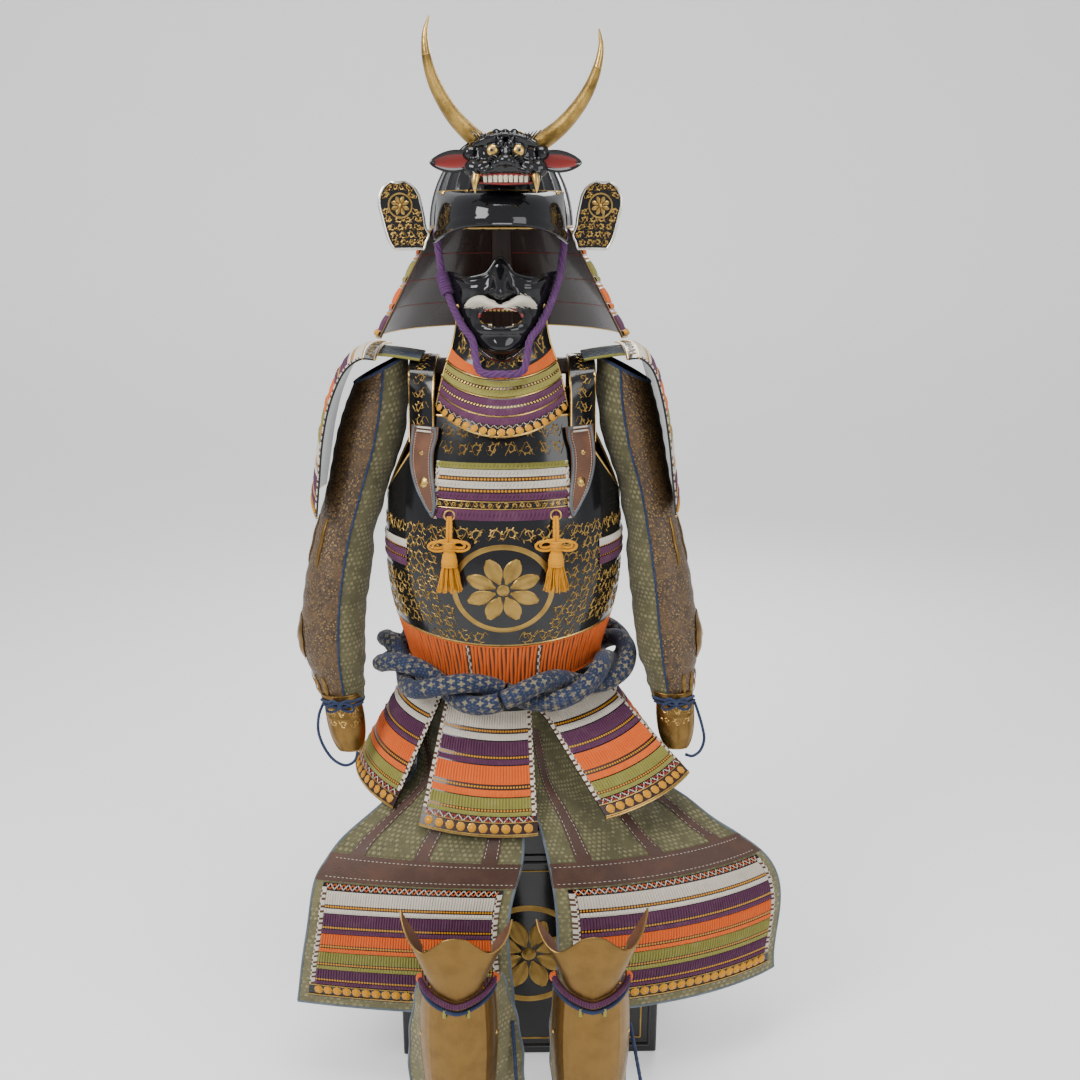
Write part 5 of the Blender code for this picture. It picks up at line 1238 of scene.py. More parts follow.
def thigh_guards():
    for side, word in ((-1, "left"), (1, "right")):
        shares = np.linspace(0, 1, 61)
        heights = np.linspace(0.745, 0.160, 118)
        base = np.array([[thigh_point(side, s, z) for s in shares] for z in heights])
        normal = normals(base, (0.04, 0, 0.5))
        rise = np.array([[thigh_folds(s, z) for s in shares] for z in heights])
        s_grid, z_grid = np.meshgrid(shares, heights)
        soft = np.clip((z_grid - 0.43) / 0.05, 0, 1)
        small = 0.0007 * np.sin(s_grid * 41 + 9 * np.sin(z_grid * 31)) * soft
        small += 0.0012 * np.sin(z_grid * 95 + s_grid * 17) * np.exp(-((s_grid - 0.2) / 0.22) ** 2) * soft
        patch = Patch(base + normal * (rise + np.minimum(small, 0.0011))[..., None], (0.04, 0, 0.5))
        shape = Shape()
        u, v = np.meshgrid(np.linspace(0, 1, 45), np.linspace(0, 1, 88))

        def look(i, j):
            z = 0.745 - (i + 0.5) / 87 * 0.585
            return "sage" if z > THIGH_STRAP[0] else ("pale_brocade" if z < THIGH_STRAP[1] else "red_leather")

        shape.slab(patch.at(u, v, CLOTH), patch.at(u, v, 0), look, "lining")

        def drop(z):
            return (0.745 - z) / 0.585

        patch.band(shape, np.linspace(0.0, 1, 61), np.array([drop(z) for z in (0.430, 0.427, 0.411, 0.394, 0.391)]),
                   lambda a, b: CLOTH + 0.0012 + 0 * a, "red_leather")
        for z in (0.424, 0.397):
            stitches(shape, patch, np.array([(x, drop(z)) for x in np.linspace(0.02, 0.98, 9)]), CLOTH + 0.0012)
        for place in (0.16, 0.50, 0.84):
            wide = 0.011 / patch.width
            patch.band(shape, place + wide * np.array((-1, -0.6, 0, 0.6, 1)),
                       np.linspace(drop(0.62), drop(0.430), 28),
                       lambda a, b: CLOTH + 0.0013 + 0 * a, "red_leather")
            for edge in (-0.75, 0.75):
                stitches(shape, patch, np.array([(place + edge * wide, drop(z)) for z in np.linspace(0.615, 0.434,
                                                                                                     5)]),
                         CLOTH + 0.0013)
        for x, look_name in ((0.004, "edge_leather"), (0.996, "edge_leather")):
            path = patch.at(np.full(90, x), np.linspace(0.01, 0.995, 90), CLOTH * 0.5)
            shape.tube(path, 0.0026, look_name, sides=8)
        path = patch.at(np.linspace(0.003, 0.997, 90), np.full(90, 0.997), CLOTH * 0.5)
        shape.tube(path, 0.0026, "edge_leather", sides=8)
        made = shape.make("thigh_brocade_" + word, ("thigh_cloth_" + word,))

        top, bottom = drop(THIGH_BOARD[0]), drop(THIGH_BOARD[1])
        u, v = np.meshgrid(np.linspace(THIGH_BORDER, 1 - THIGH_BORDER, 41), np.linspace(top, bottom, 49))
        board = Patch(patch.at(u, v, CLOTH + 1.5 * SEAM), (0.04, 0, 0.3))
        shape = Shape()
        plate(shape, board, 0.0016, cells=(24, 24))
        out = 0.0016
        binding(shape, board, 0.0, 0.030, 0.03, 0.885, out=out)
        binding(shape, board, 0.970, 1.0, 0.03, 0.885, out=out)
        crosses(shape, board, 0.006, 0.042, 0.0085, ("white", "orange"), 0.02, 0.98, out + 0.0006)
        edges = (0.052, 0.232, 0.402, 0.570, 0.735, 0.880)
        for k, colour in enumerate(("white", "purple", "orange", "green", "purple")):
            laced_lame(shape, board, edges[k], edges[k + 1], colour, out, u0=0.032, u1=0.968)
        discs(shape, board, 0.935, 0.0078, out=out + 0.0006)
        for v_edge in (0.890, 0.984):
            rim(shape, board, v_edge, 0.0010, "gold", out + 0.0010)
        shape.make("thigh_board_laced_" + word, ("thigh_board_" + word,))


def stitches(shape, patch, route, out, look="white", pitch=0.0062, long=0.0036, thick=0.0011):
    """Dashed stitching along a route on a surface."""
    fine = np.stack([np.interp(np.linspace(0, len(route) - 1, 200), np.arange(len(route)), route[:, k])
                     for k in (0, 1)])
    steps = np.hypot(np.diff(fine[0]) * patch.width, np.diff(fine[1]) * patch.height)
    along = np.concatenate([[0], np.cumsum(steps)])
    count = int(along[-1] / pitch)
    for k in range(count):
        way = k * pitch + np.linspace(0, long, 3)
        u, v = np.interp(way, along, fine[0]), np.interp(way, along, fine[1])
        ribbon(shape, patch, u, v, thick, out + 0.0003, look)


# ---------------------------------------------------------------- neck guard and throat guard

def neck_guard():
    angles = np.radians(np.linspace(68, 292, 97))
    width, depth, top = NECK_TOP
    colours = ("orange", "pale_green", "orange", "purple")
    for lame in range(NECK_LAMES):
        base = []
        for share in np.linspace(0, 1, 13):
            fall = lame + share * (1 - SEAM / NECK_STEP[2])
            out_x, out_y, drop = (step * fall for step in NECK_STEP)
            front = np.maximum(0.0, np.cos(angles))
            x = (width + out_x) * np.sin(angles)
            y = BOWL_CENTRE[1] - (depth + out_y) * np.cos(angles)
            base.append(np.stack([x, y, top - drop - 0.004 * fall * (1 - front)], axis=1))
        patch = Patch(np.array(base), (0, 0, 1.6))
        shape = Shape()
        plate(shape, patch, LAMINA, "lacquer", "brown_lacquer", cells=(12, 96))
        out = LAMINA
        scale_heads(shape, patch, 0.10, 0.0052, out=out + 0.0002, depth=0.0062, radius=0.0021, u0=0.01, u1=0.99)
        rows_of_cords(shape, patch, 0.20, 0.74, 0.0050, 0.0028, colours[lame], 0.012, 0.988, out, steps=3)
        rows_of_cords(shape, patch, 0.76, 0.95, 0.0056, 0.0026, "white" if lame == 3 else colours[lame], 0.012, 0.988,
                      out, slant=1.0, steps=3)
        rim(shape, patch, 0.985, 0.0020, "red_lacquer" if lame < 3 else "gold", out * 0.5, steps=120)
        if lame == NECK_LAMES - 1:
            discs(shape, patch, 0.86, 0.0052, 0.01, 0.99, out + 0.0022)
        for end in (0.004, 0.996):
            path = patch.at(np.full(12, end), np.linspace(0.02, 0.98, 12), out * 0.5)
            shape.tube(path, 0.0021, "gold", sides=8)
        shape.make(f"neck_lame_laced_{lame + 1}", (f"neck_lame_{lame + 1}",))


def throat_guard():
    count = len(THROAT["z"]) - 1
    colours = (("orange", "orange"), ("pale_green", "pale_green"), ("purple", "purple"), ("purple", "white"))
    for lame in range(count):
        base = []
        for share in np.linspace(0, 1, 15):
            row = []
            for d in np.linspace(-1, 1, 61):
                values = {k: v[lame] * (1 - share) + v[lame + 1] * share for k, v in THROAT.items()}
                angle = math.radians(values["reach"] * d)
                gap = (3 if lame == 1 else 2) * SEAM * (1 - share)
                z = values["z"] + (values["ends"] - values["z"]) * abs(d) ** 1.8 - gap
                point = np.array((values["wide"] * math.sin(angle), MASK_Y - values["front"] * math.cos(angle), z))
                if lame == 0:
                    lower = mask_point(angle, 1.0, 0.0) - np.array((0, 0, THROAT_GAP))
                    upper = max(0.0, 1 - share / 0.45)
                    point = point * (1 - upper) + lower * upper
                row.append(point)
            base.append(row)
        patch = Patch(np.array(base), (0, -0.03, 1.35))
        shape = Shape()
        plate(shape, patch, 0.0022, "lacquer", "red_lacquer", cells=(14, 60))
        out = 0.0022
        first, second = colours[lame]
        if lame == 0:
            scrolls(shape, patch, 0.06, 0.94, 0.05, 0.50, out, 9, 1)
            rows_of_cords(shape, patch, 0.58, 0.94, 0.0054, 0.0030, first, 0.02, 0.98, out, slant=1.0, steps=5)
        elif lame == 3:
            rows_of_cords(shape, patch, 0.02, 0.40, 0.0056, 0.0028, first, 0.02, 0.98, out, slant=1.0, steps=5)
            crosses(shape, patch, 0.42, 0.56, 0.0064, ("white", "brown"), 0.02, 0.98, out)
            discs(shape, patch, 0.78, 0.0064, 0.02, 0.98, out + 0.0004, count=17)
        else:
            rows_of_cords(shape, patch, 0.06, 0.40, 0.0056, 0.0028, first, 0.02, 0.98, out, slant=1.0, steps=5)
            scale_heads(shape, patch, 0.49, 0.0058, "gold", 0.02, 0.98, 0.0021, out + 0.0006, depth=0.0048)
            rows_of_cords(shape, patch, 0.58, 0.94, 0.0056, 0.0028, second, 0.02, 0.98, out, slant=1.0, steps=5)
        rim(shape, patch, 0.988, 0.0016, "gold", out * 0.6, steps=80)
        for end in (0.006, 0.994):
            path = patch.at(np.full(12, end), np.linspace(0.04, 0.97, 12), out * 0.6)
            shape.tube(path, 0.0019, "gold", sides=8)
        shape.make(f"throat_lame_laced_{lame + 1}", (f"throat_lame_{lame + 1}",))


# ---------------------------------------------------------------- cuirass

def torso_patch(a0, a1, z0, z1, out=LAMINA, rows=31, cols=41, back=False):
    """A patch of the cuirass's outer face, from angle a0 to a1 and down from z0 to z1."""
    grid = []
    for z in np.linspace(z0, z1, rows):
        row = []
        for a in np.linspace(a0, a1, cols):
            angle = math.radians(180 - a if back else a)
            row.append(torso_point(angle, z, out))
        grid.append(row)
    return Patch(np.array(grid), (0, 0, 0.95))


def shell(back):
    """Half of the cuirass as a smooth grid from its lower edge up."""
    top_angle, top_z = (48, BACK_PLATE_Z) if back else (CHEST_PLATE_ANGLE, CHEST_PLATE_Z)
    grid = []
    for share in np.linspace(0, 1, 61):
        row = []
        for way in np.linspace(-1, 1, 61):
            low = waist_edge(math.radians(180 if back else 0))
            z = low + (top_z - low) * share
            angle = math.radians(armhole_angle(z, top_angle, top_z) * way)
            edge = waist_edge(math.pi - angle if back else angle)
            z = max(z, edge + (top_z - edge) * share) if share < 0.3 else z
            row.append(torso_point(math.pi - angle if back else angle, z))
        grid.append(row)
    return Patch(np.array(grid), (0, 0, 0.95))


def cuirass():
    for back in (False, True):
        whole = shell(back)
        shape = Shape()
        u, v = np.meshgrid(np.linspace(0, 1, 61), np.linspace(0, 1, 61))
        shape.slab(whole.at(u, v, LAMINA), whole.at(u, v, 0), "lacquer", "brown_lacquer")
        for v_edge, radius in ((0.003, 0.0026), (0.997, 0.0026)):
            rim(shape, whole, v_edge, radius, "gold", LAMINA * 0.55, steps=90)
        for u_edge in (0.004, 0.996):
            path = whole.at(np.full(40, u_edge), np.linspace(0.58, 0.995, 40), LAMINA * 0.5)
            shape.tube(path, 0.0027, "gold", sides=8)
        for a0, a1 in ((51, 87), (-87, -51)):
            side = torso_patch(a0, a1, 0.953, 0.905, LAMINA + 0.0002, back=back)
            for k, colour in enumerate(("white", "purple", "purple")):
                rows_of_cords(shape, side, 0.03 + k / 3, 0.30 + k / 3, 0.0056, 0.0026, colour, 0, 1, slant=1.0,
                              steps=3)
                if k < 2:
                    scale_heads(shape, side, 0.317 + k / 3, 0.0058, out=0.0010, depth=0.0016, radius=0.0012)
        if back:
            upper = torso_patch(-44, 44, 1.165, 1.075, back=True)
            scrolls(shape, upper, 0.08, 0.92, 0.04, 0.97, 0.0003, 8, 4)
            for k, colour in enumerate(("white", "purple", "orange", "green")):
                band = torso_patch(-56, 56, 1.060 - 0.040 * k, 1.022 - 0.040 * k, LAMINA + 0.0002, back=True)
                laced_lame(shape, band, 0.0, 1.0, colour, 0.0, u0=0.0, u1=1.0)
            lower = torso_patch(-70, 70, 0.895, 0.805, back=True)
            scrolls(shape, lower, 0.04, 0.96, 0.05, 0.95, 0.0003, 10, 3)
            shape.make("cuirass_lacquered_back", ("cuirass_back",))
            continue
        band = torso_patch(-34, 34, 1.0885, 0.9955, LAMINA + 0.0003)
        rows = (("green", 0.00, 0.105), ("white", 0.115, 0.235), ("heads", 0.275, 0.0), ("white", 0.315, 0.435),
                ("heads", 0.475, 0.0), ("purple", 0.515, 0.635), ("scroll", 0.665, 0.775), ("purple", 0.80, 0.985))
        for kind, a, b in rows:
            if kind == "heads":
                scale_heads(shape, band, a, 0.0056, out=0.0011, depth=0.0060, radius=0.0022)
            elif kind == "scroll":
                rim(shape, band, a - 0.008, 0.0009, "gold", 0.0008)
                rim(shape, band, b + 0.008, 0.0009, "gold", 0.0008)
                scrolls(shape, band, 0.02, 0.98, a, b, 0.0008, 18, 1)
            else:
                rows_of_cords(shape, band, a, b, 0.0064, 0.0034, kind, slant=1.0, steps=6)
        for u_edge in (0.0, 0.97):
            binding(shape, band, u_edge, u_edge + 0.03, pitch=0.0046, out=0.0006)
        upper = torso_patch(-37, 37, 1.157, 1.094)
        scrolls(shape, upper, 0.05, 0.95, 0.08, 0.95, 0.0003, 8, 2)
        belly = torso_patch(-86, 86, 0.990, 0.782, rows=51, cols=91)
        centre_v = (0.990 - 0.882) / 0.208
        mapped_rosette(shape, belly, 0.5, centre_v, 0.079, 0.0004)

        def taken(a, b):
            near = math.hypot((a - 0.5) * belly.width, (b - centre_v) * belly.height) < 0.094
            side_band = abs(a - 0.5) > 0.29 and 0.15 < b < 0.43
            low = 0.990 - b * 0.208 < waist_edge(math.radians((a - 0.5) * 172)) + 0.010
            return near or side_band or low

        scrolls(shape, belly, 0.01, 0.99, 0.02, 0.99, 0.0004, 22, 9, miss=taken, reach=0.0112)
        shape.make("cuirass_lacquered_front", ("cuirass_front",))


PLAIT_PLACE, PLAIT_HALF = 0.052, 0.0029         # from the middle to each plaited cord, and its half-width


def waist_lacing():
    """Free orange cords all round, with two plaited ones in front."""
    base = []
    angles = np.linspace(-math.pi, math.pi, 361)[:-1]
    for drop in np.linspace(2.5 * SEAM, LACING_DROP, 15):
        base.append([waist_point(a, drop, 0.0) for a in angles])
    patch = Patch(np.array(base), (0, 0, 0.75), wrap=True)
    shape = Shape()
    u, v = np.meshgrid(np.linspace(0, 1, 181), np.linspace(0, 1, 8))
    shape.slab(patch.at(u, v, 0.0009), patch.at(u, v, 0.0), "brown", "brown")
    count = round(patch.width / 0.0058)
    for k in range(count):
        middle = (k + 0.5) / count
        wide = 0.0021 / patch.width
        s = np.linspace(0, 1, 12)
        sway = 0.0007 / patch.width * np.sin(s * 5 + k * 2.1)
        plaited = (abs((middle - 0.5) * patch.width - PLAIT_PLACE) < PLAIT_HALF
                   or abs((middle - 0.5) * patch.width + PLAIT_PLACE) < PLAIT_HALF)
        grid_u = middle + sway + wide * np.array((-1, -0.5, 0, 0.5, 1))[:, None]
        grid_v = 0 * grid_u + s
        rise = 0.0010 + 0.0021 * np.array((0.1, 0.85, 1, 0.85, 0.1))[:, None] + 0 * grid_u
        if plaited:
            looks = ("white", "brown")
            shape.sheet(patch.at(grid_u, grid_v, rise + 0.0004), lambda i, j: looks[(i // 2 + j) % 2])
        else:
            shape.sheet(patch.at(grid_u, grid_v, rise), "orange")
    for v_edge in (0.015, 0.985):
        rim(shape, patch, v_edge, 0.0016, "orange", 0.0022, steps=200)
    shape.make("waist_cords", ("waist_lacing",))


def sash():
    steps, sides = 250, 22
    for strand, word in ((0, "a"), (1, "b")):
        path = []
        for k in range(steps):
            angle = 2 * math.pi * k / steps
            turn = angle * ROLL_TURNS + strand * math.pi
            wave = ROLL_RADIUS * 1.085
            out = SASH_OUT + wave * math.cos(turn)
            centre = torso_point(angle, SASH_Z - 0.006, out)
            lift = wave * math.sin(turn) - WAIST_DIP * 0.8 * max(0.0, math.cos(angle)) ** 2
            path.append((centre[0], centre[1], SASH_Z + lift))
        path = np.array(path)
        first, second = frames(path, True)
        around = np.arange(sides) * 2 * math.pi / sides
        k = np.arange(steps)[:, None]
        crease = (0.034 * np.sin(3 * around[None, :] + k * 0.11 + strand) + 0.022 * np.sin(7 * around[None,
                                                                                                      :] - k * 0.17)
                  + 0.016 * np.sin(k * 0.63 + 2 * around[None, :]))
        radius = ROLL_RADIUS * (0.955 + np.clip(crease, -0.10, 0.045))
        points = path[:, None] + radius[..., None] * (
            np.cos(around)[None, :, None] * first[:, None] + np.sin(around)[None, :, None] * second[:, None])
        points = np.concatenate([points, points[:1]])
        along = np.arange(steps + 1) / steps * np.linalg.norm(np.diff(path, axis=0), axis=1).sum()
        uvs = np.stack(np.broadcast_arrays(around[None, :] * ROLL_RADIUS, along[:, None]), axis=-1)
        shape = Shape()
        shape.sheet(points, "sash", uvs, wrap=True)
        made = shape.make("sash_twist_" + word, ("sash_roll_" + word,), smooth=80)


# ---------------------------------------------------------------- straps, leather guards and tassels

def straps():
    for side, word in ((-1, "left"), (1, "right")):
        grid = np.array([[strap_point(x, share) for x in STRAP_X + np.linspace(-0.5, 0.5, 9) * STRAP_WIDTH]
                         for share in np.linspace(0, 1, 49)])
        grid[:, :, 0] *= side
        patch = Patch(grid, (side * STRAP_X, 0, 1.0))
        shape = Shape()
        plate(shape, patch, 0.004, "lacquer", "brown_lacquer", cells=(48, 10))
        scrolls(shape, patch, 0.18, 0.82, 0.06, 0.94, 0.0041, 1, 14)
        for u_edge in (0.02, 0.98):
            path = patch.at(np.full(90, u_edge), np.linspace(0.005, 0.995, 90), 0.002)
            shape.tube(path, 0.0023, "gold", sides=8)
        for v_edge in (0.004, 0.996):
            rim(shape, patch, v_edge, 0.0023, "gold", 0.002, steps=20)
        shape.make("strap_lacquered_" + word, ("strap_" + word,))


def neck_wings():
    for side, word in ((-1, "left"), (1, "right")):
        grid = []
        for depth in np.linspace(-0.060, 0.060, 33):
            reach = np.linspace(0, 1, 25)
            x = 0.134 + 0.088 * reach
            z = STRAP_TOP_Z + SEAM + 9.6 * MM * np.sin(reach * math.pi / 2) - 0.9 * depth * depth
            grid.append(np.stack([side * x, 0 * x + depth, z], axis=1))
        patch = Patch(np.array(grid), (side * 0.18, 0, 0))
        shape = Shape()
        u, v = np.meshgrid(np.linspace(0, 1, 25), np.linspace(0, 1, 33))
        shape.slab(patch.at(u, v, CLOTH), patch.at(u, v, 0), "blue_brocade", "lining")
        loop = [(s, 0.015) for s in np.linspace(0.01, 0.99, 30)] + [(0.99, s) for s in np.linspace(0.03, 0.97, 30)]
        loop += [(s, 0.985) for s in np.linspace(0.99, 0.01, 30)]
        loop = np.array(loop)
        shape.tube(patch.at(loop[:, 0], loop[:, 1], CLOTH * 0.5), 0.0024, "green", sides=8)
        made = shape.make("neck_wing_quilted_" + word, ("neck_wing_" + word,))


def leather_guards():
    for side, word in ((-1, "left"), (1, "right")):
        grid = []
        drops = np.array(LEATHER_GUARD["drop"])
        for drop in np.linspace(0, 0.144, 37):
            outer, inner = (float(spline(drops, LEATHER_GUARD[k], drop)) for k in ("outer", "inner"))
            z = 1.142 - drop
            row = []
            for share in np.linspace(0, 1, 15):
                x = 0.126 - inner + (inner + outer) * share
                row.append((side * x, torso_y(x, z, LAMINA + STRAP_THICK + 2.2 * MM), z))
            grid.append(row)
        patch = Patch(np.array(grid), (side * 0.12, 0.1, 1.06))
        shape = Shape()
        u, v = np.meshgrid(np.linspace(0, 1, 15), np.linspace(0, 1, 37))
        shape.slab(patch.at(u, v, 0.0022), patch.at(u, v, 0), "leather", "lining")
        border = np.array([(0.5, 0.02), (0.10, 0.02), (0.07, 0.10), (0.07, 0.5), (0.07, 0.9), (0.30, 0.975),
                           (0.70, 0.975),
                           (0.93, 0.9), (0.93, 0.5), (0.93, 0.10), (0.90, 0.02), (0.5, 0.02)])
        fine = np.stack([np.interp(np.linspace(0, 11, 120), np.arange(12), border[:, k]) for k in (0, 1)])
        shape.tube(patch.at(fine[0], fine[1], 0.0018), 0.0021, "edge_leather", sides=8)
        inset = 0.5 + (border - 0.5) * np.array((0.74, 0.91))
        stitches(shape, patch, inset, 0.0023, pitch=0.0045, long=0.0028, thick=0.0010)
        for u0, v0, radius in ((0.5, 0.62, 0.0082), (0.5, 0.30, 0.0040)):
            normal, across = patch.facing(u0, v0)
            centre = patch.at(u0, v0, 0.0022)
            shape.domes([centre], [normal], [across], radius, 0.0022, "gold", sides=20, rings=3, petals=8)
            shape.domes([centre + normal * 0.0014], [normal], [across], radius * 0.5, 0.0032, "gold", sides=14,
                        rings=3)
        for z_share in (0.02, 0.06):
            path = [patch.at(0.5 + a, z_share, 0.003 + 0.004 * math.sin(math.pi * (a + 0.25) * 2)) for a in
                    np.linspace(-0.25, 0.25, 16)]
            shape.tube(np.array(path), 0.0016, "white", sides=6)
        shape.make("leather_guard_stitched_" + word, ("leather_guard_" + word,))


def tassels():
    for side, word in ((-1, "left"), (1, "right")):
        x = side * 0.0865
        y = torso_y(x, 0.884, LAMINA) - 0.0181
        ring_y = torso_y(x, 1.004, LAMINA + 2.0 * MM) - 0.0023
        shape = Shape()
        turn = np.linspace(0, 2 * math.pi, 25)[:-1]
        ring = np.stack([x + 0.0085 * np.cos(turn), 0 * turn + ring_y - 0.0008, 1.004 + 0.0085 * np.sin(turn)],
                        axis=1)
        shape.tube(ring, 0.0016, "gold", sides=8, closed=True, up=np.array((0.0, 1.0, 0.0)))
        for shift in (-0.0026, 0.0026):
            stem = smooth_path([(x + shift * 0.6, ring_y - 0.001, 1.002), (x + shift, (y + ring_y * 3) / 4, 0.992),
                                (x + shift, (y * 2 + ring_y) / 3, 0.978), (x + shift, y, 0.960)], 24)
            shape.tube(stem, 0.0027 + 0.0003 * np.sin(np.arange(24) * 1.9), "yellow", sides=8)
        for bow in (-1, 1):
            for size, lift, tilt in ((1.0, 0.0, 0.0), (0.78, 0.0035, 0.35)):
                loop = np.stack([x + bow * (0.0180 - 0.0150 * np.cos(turn)) * size, y - 0.003 - 0.002 * np.sin(turn),
                                 0.9595 + lift + 0.0085 * size * np.sin(turn + tilt)], axis=1)
                shape.tube(loop, 0.0023 + 0.0002 * np.sin(turn * 9), "yellow", sides=8, closed=True,
                           up=np.array((0.0, 1.0, 0.0)))
        for k in range(5):
            lift = 0.9665 - k * 0.0034
            knot = np.stack([x + 0.0082 * np.cos(turn), y + 0.0078 * np.sin(turn),
                             lift + 0.0016 * np.sin(turn + k)], axis=1)
            shape.tube(knot, 0.0023, "yellow", sides=6, closed=True)
        heights = np.linspace(0.9535, 0.9250, 20)
        share = np.linspace(0, 1, 20)
        swell = 0.0066 + 0.0062 * np.sin(share * math.pi * 0.62) ** 0.8
        around = np.arange(48) * 2 * math.pi / 48
        mesh_relief = 0.00055 * np.sin(around[None, :] * 8 + share[:, None] * 9) * np.sin(
            around[None, :] * 8 - share[:, None] * 9)
        radius = swell[:, None] + mesh_relief
        head = np.stack([x + radius * np.cos(around), y + radius * 0.95 * np.sin(around),
                         heights[:, None] + 0 * radius],
                        axis=-1)
        shape.sheet(head, "yellow", wrap=True)
        for lift, size in ((0.9530, 0.0074), (0.9262, 0.0124), (0.9300, 0.0122)):
            band = np.stack([x + size * np.cos(turn), y + size * 0.95 * np.sin(turn), 0 * turn + lift], axis=1)
            shape.tube(band, 0.0012, "yellow", sides=6, closed=True)
        for k in range(110):
            angle = rng.uniform(0, 2 * math.pi)
            inner = math.sqrt(rng.uniform(0.10, 1.0))
            s = np.linspace(0, 1, 9)
            spread = inner * (0.0105 + 0.0110 * s ** 0.8)
            wob = 0.0010 * np.sin(s * 7 + rng.uniform(0, 6)) * s
            end = 0.8815 + rng.uniform(0, 0.004)
            path = np.stack([x + spread * np.cos(angle) + wob, y + 0.78 * spread * np.sin(angle) + wob * 0.5,
                             0.927 + (end - 0.927) * s], axis=1)
            shape.tube(path, 0.00105 * (1 - 0.35 * s), "yellow", sides=4, caps=False)
        shape.make("tassel_silk_" + word, ("tassel_" + word,))


# ---------------------------------------------------------------- helmet

def helmet():
    rises = np.linspace(0, math.degrees(math.acos(TEHEN_RADIUS / BOWL_RADII[0])), 27)
    around = np.linspace(0, 2 * math.pi, 225)[:-1]
    patch = Patch(np.array([[bowl_point(a, r) for a in around] for r in rises]), BOWL_CENTRE, wrap=True)
    shape = Shape()
    u, v = np.meshgrid(np.linspace(0, 1, 225), np.linspace(0, 1, 27))
    ridge = np.exp(-((np.abs((u * 28 + 0.5) % 1 - 0.5) / 0.11) ** 2)) * 0.0021 * np.clip((1 - v) * 6, 0, 1)
    shape.slab(patch.at(u, v, LAMINA + ridge), patch.at(u, v, 0), "lacquer", "brown_lacquer")
    rim(shape, patch, 0.012, 0.0024, "paint_gold", LAMINA, steps=160)
    turn = np.linspace(0, 2 * math.pi, 49)[:-1]
    cx, cy, cz = BOWL_CENTRE
    for radius, lift, thick in ((0.016, 0.0012, 0.0022), (0.021, 0.0000, 0.0018), (0.027, -0.0022, 0.0016)):
        wave = radius * (1 + (0.08 * np.cos(turn * 12) if thick < 0.002 else 0 * turn))
        ring = np.stack([cx + wave * np.cos(turn), cy + wave * 1.1 * np.sin(turn),
                         0 * turn + cz + BOWL_RADII[2] + lift - 0.0010], axis=1)
        shape.tube(ring, thick, "gold", sides=8, closed=True)
    shape.make("helmet_ribbed_bowl", ("helmet_bowl",))

    grid = [[visor_point(a, s) for a in np.radians(np.linspace(-VISOR_ANGLE, VISOR_ANGLE, 73))]
            for s in np.linspace(0, 1, 25)]
    patch = Patch(np.array(grid), (0, 0, 1.40))
    shape = Shape()
    u, v = np.meshgrid(np.linspace(0, 1, 73), np.linspace(0, 1, 25))
    line = 0.0012 * np.exp(-(((v - 0.88) / 0.03) ** 2))
    shape.slab(patch.at(u, v, 0.0024 + line), patch.at(u, v, 0), "visor", "paint_gold")
    rim(shape, patch, 0.992, 0.0026, "visor", 0.0014, steps=110)
    rim(shape, patch, 0.01, 0.0016, "paint_gold", 0.0016, steps=90)
    studs = np.array((0.08, 0.29, 0.71, 0.92))
    normal, across = patch.facing(studs, 0.07 + 0 * studs)
    shape.domes(patch.at(studs, 0.07 + 0 * studs, 0.0024), normal, across, 0.0042, 0.0026, "gold", sides=14, rings=3)
    shape.make("helmet_visor_glossy", ("helmet_visor",))


def turnbacks():
    heights = np.array(TURNBACK["z"])
    for side, word in ((-1, "left"), (1, "right")):
        grid = []
        for z in np.linspace(heights[0], heights[-1], 45):
            inner, outer = (float(spline(heights, TURNBACK[k], z)) for k in ("inner", "outer"))
            a = np.linspace(0, 1, 21)
            x = inner + (outer - inner) * a
            grid.append(np.stack([side * x, -0.0646 - 0.16 * (x - 0.118) - 0.012 * (a - a * a), 0 * x + z], axis=1))
        patch = Patch(np.array(grid), (side * 0.15, 0.3, 1.47))
        shape = Shape()
        plate(shape, patch, 0.003, "lacquer", "brown_lacquer", cells=(44, 20))
        edge = np.array([(x, 0.005) for x in np.linspace(0.03, 0.97, 14)] + [(0.985, y) for y in np.linspace(0.02,
                                                                                                             0.98,
                                                                                                             40)]
                        + [(x, 0.992) for x in np.linspace(0.97, 0.03, 14)]
                        + [(0.015, y) for y in np.linspace(0.98, 0.02, 40)])
        shape.tube(patch.at(edge[:, 0], edge[:, 1], 0.0017), 0.0023, "silver", sides=8, closed=True)
        middle = (0.5, (1.487 - heights[0]) / (heights[-1] - heights[0]))
        normal, across = patch.facing(*middle)
        rosette(shape, patch.at(*middle, 0.0034), normal, across, 0.0195, 0.0014, "gold")

        def taken(a, b):
            return math.hypot((a - middle[0]) * patch.width, (b - middle[1]) * patch.height) < 0.021

        scrolls(shape, patch, 0.06, 0.94, 0.04, 0.98, 0.0033, 4, 8, miss=taken, reach=0.0052)
        shape.make("turnback_gilt_" + word, ("turnback_" + word,))


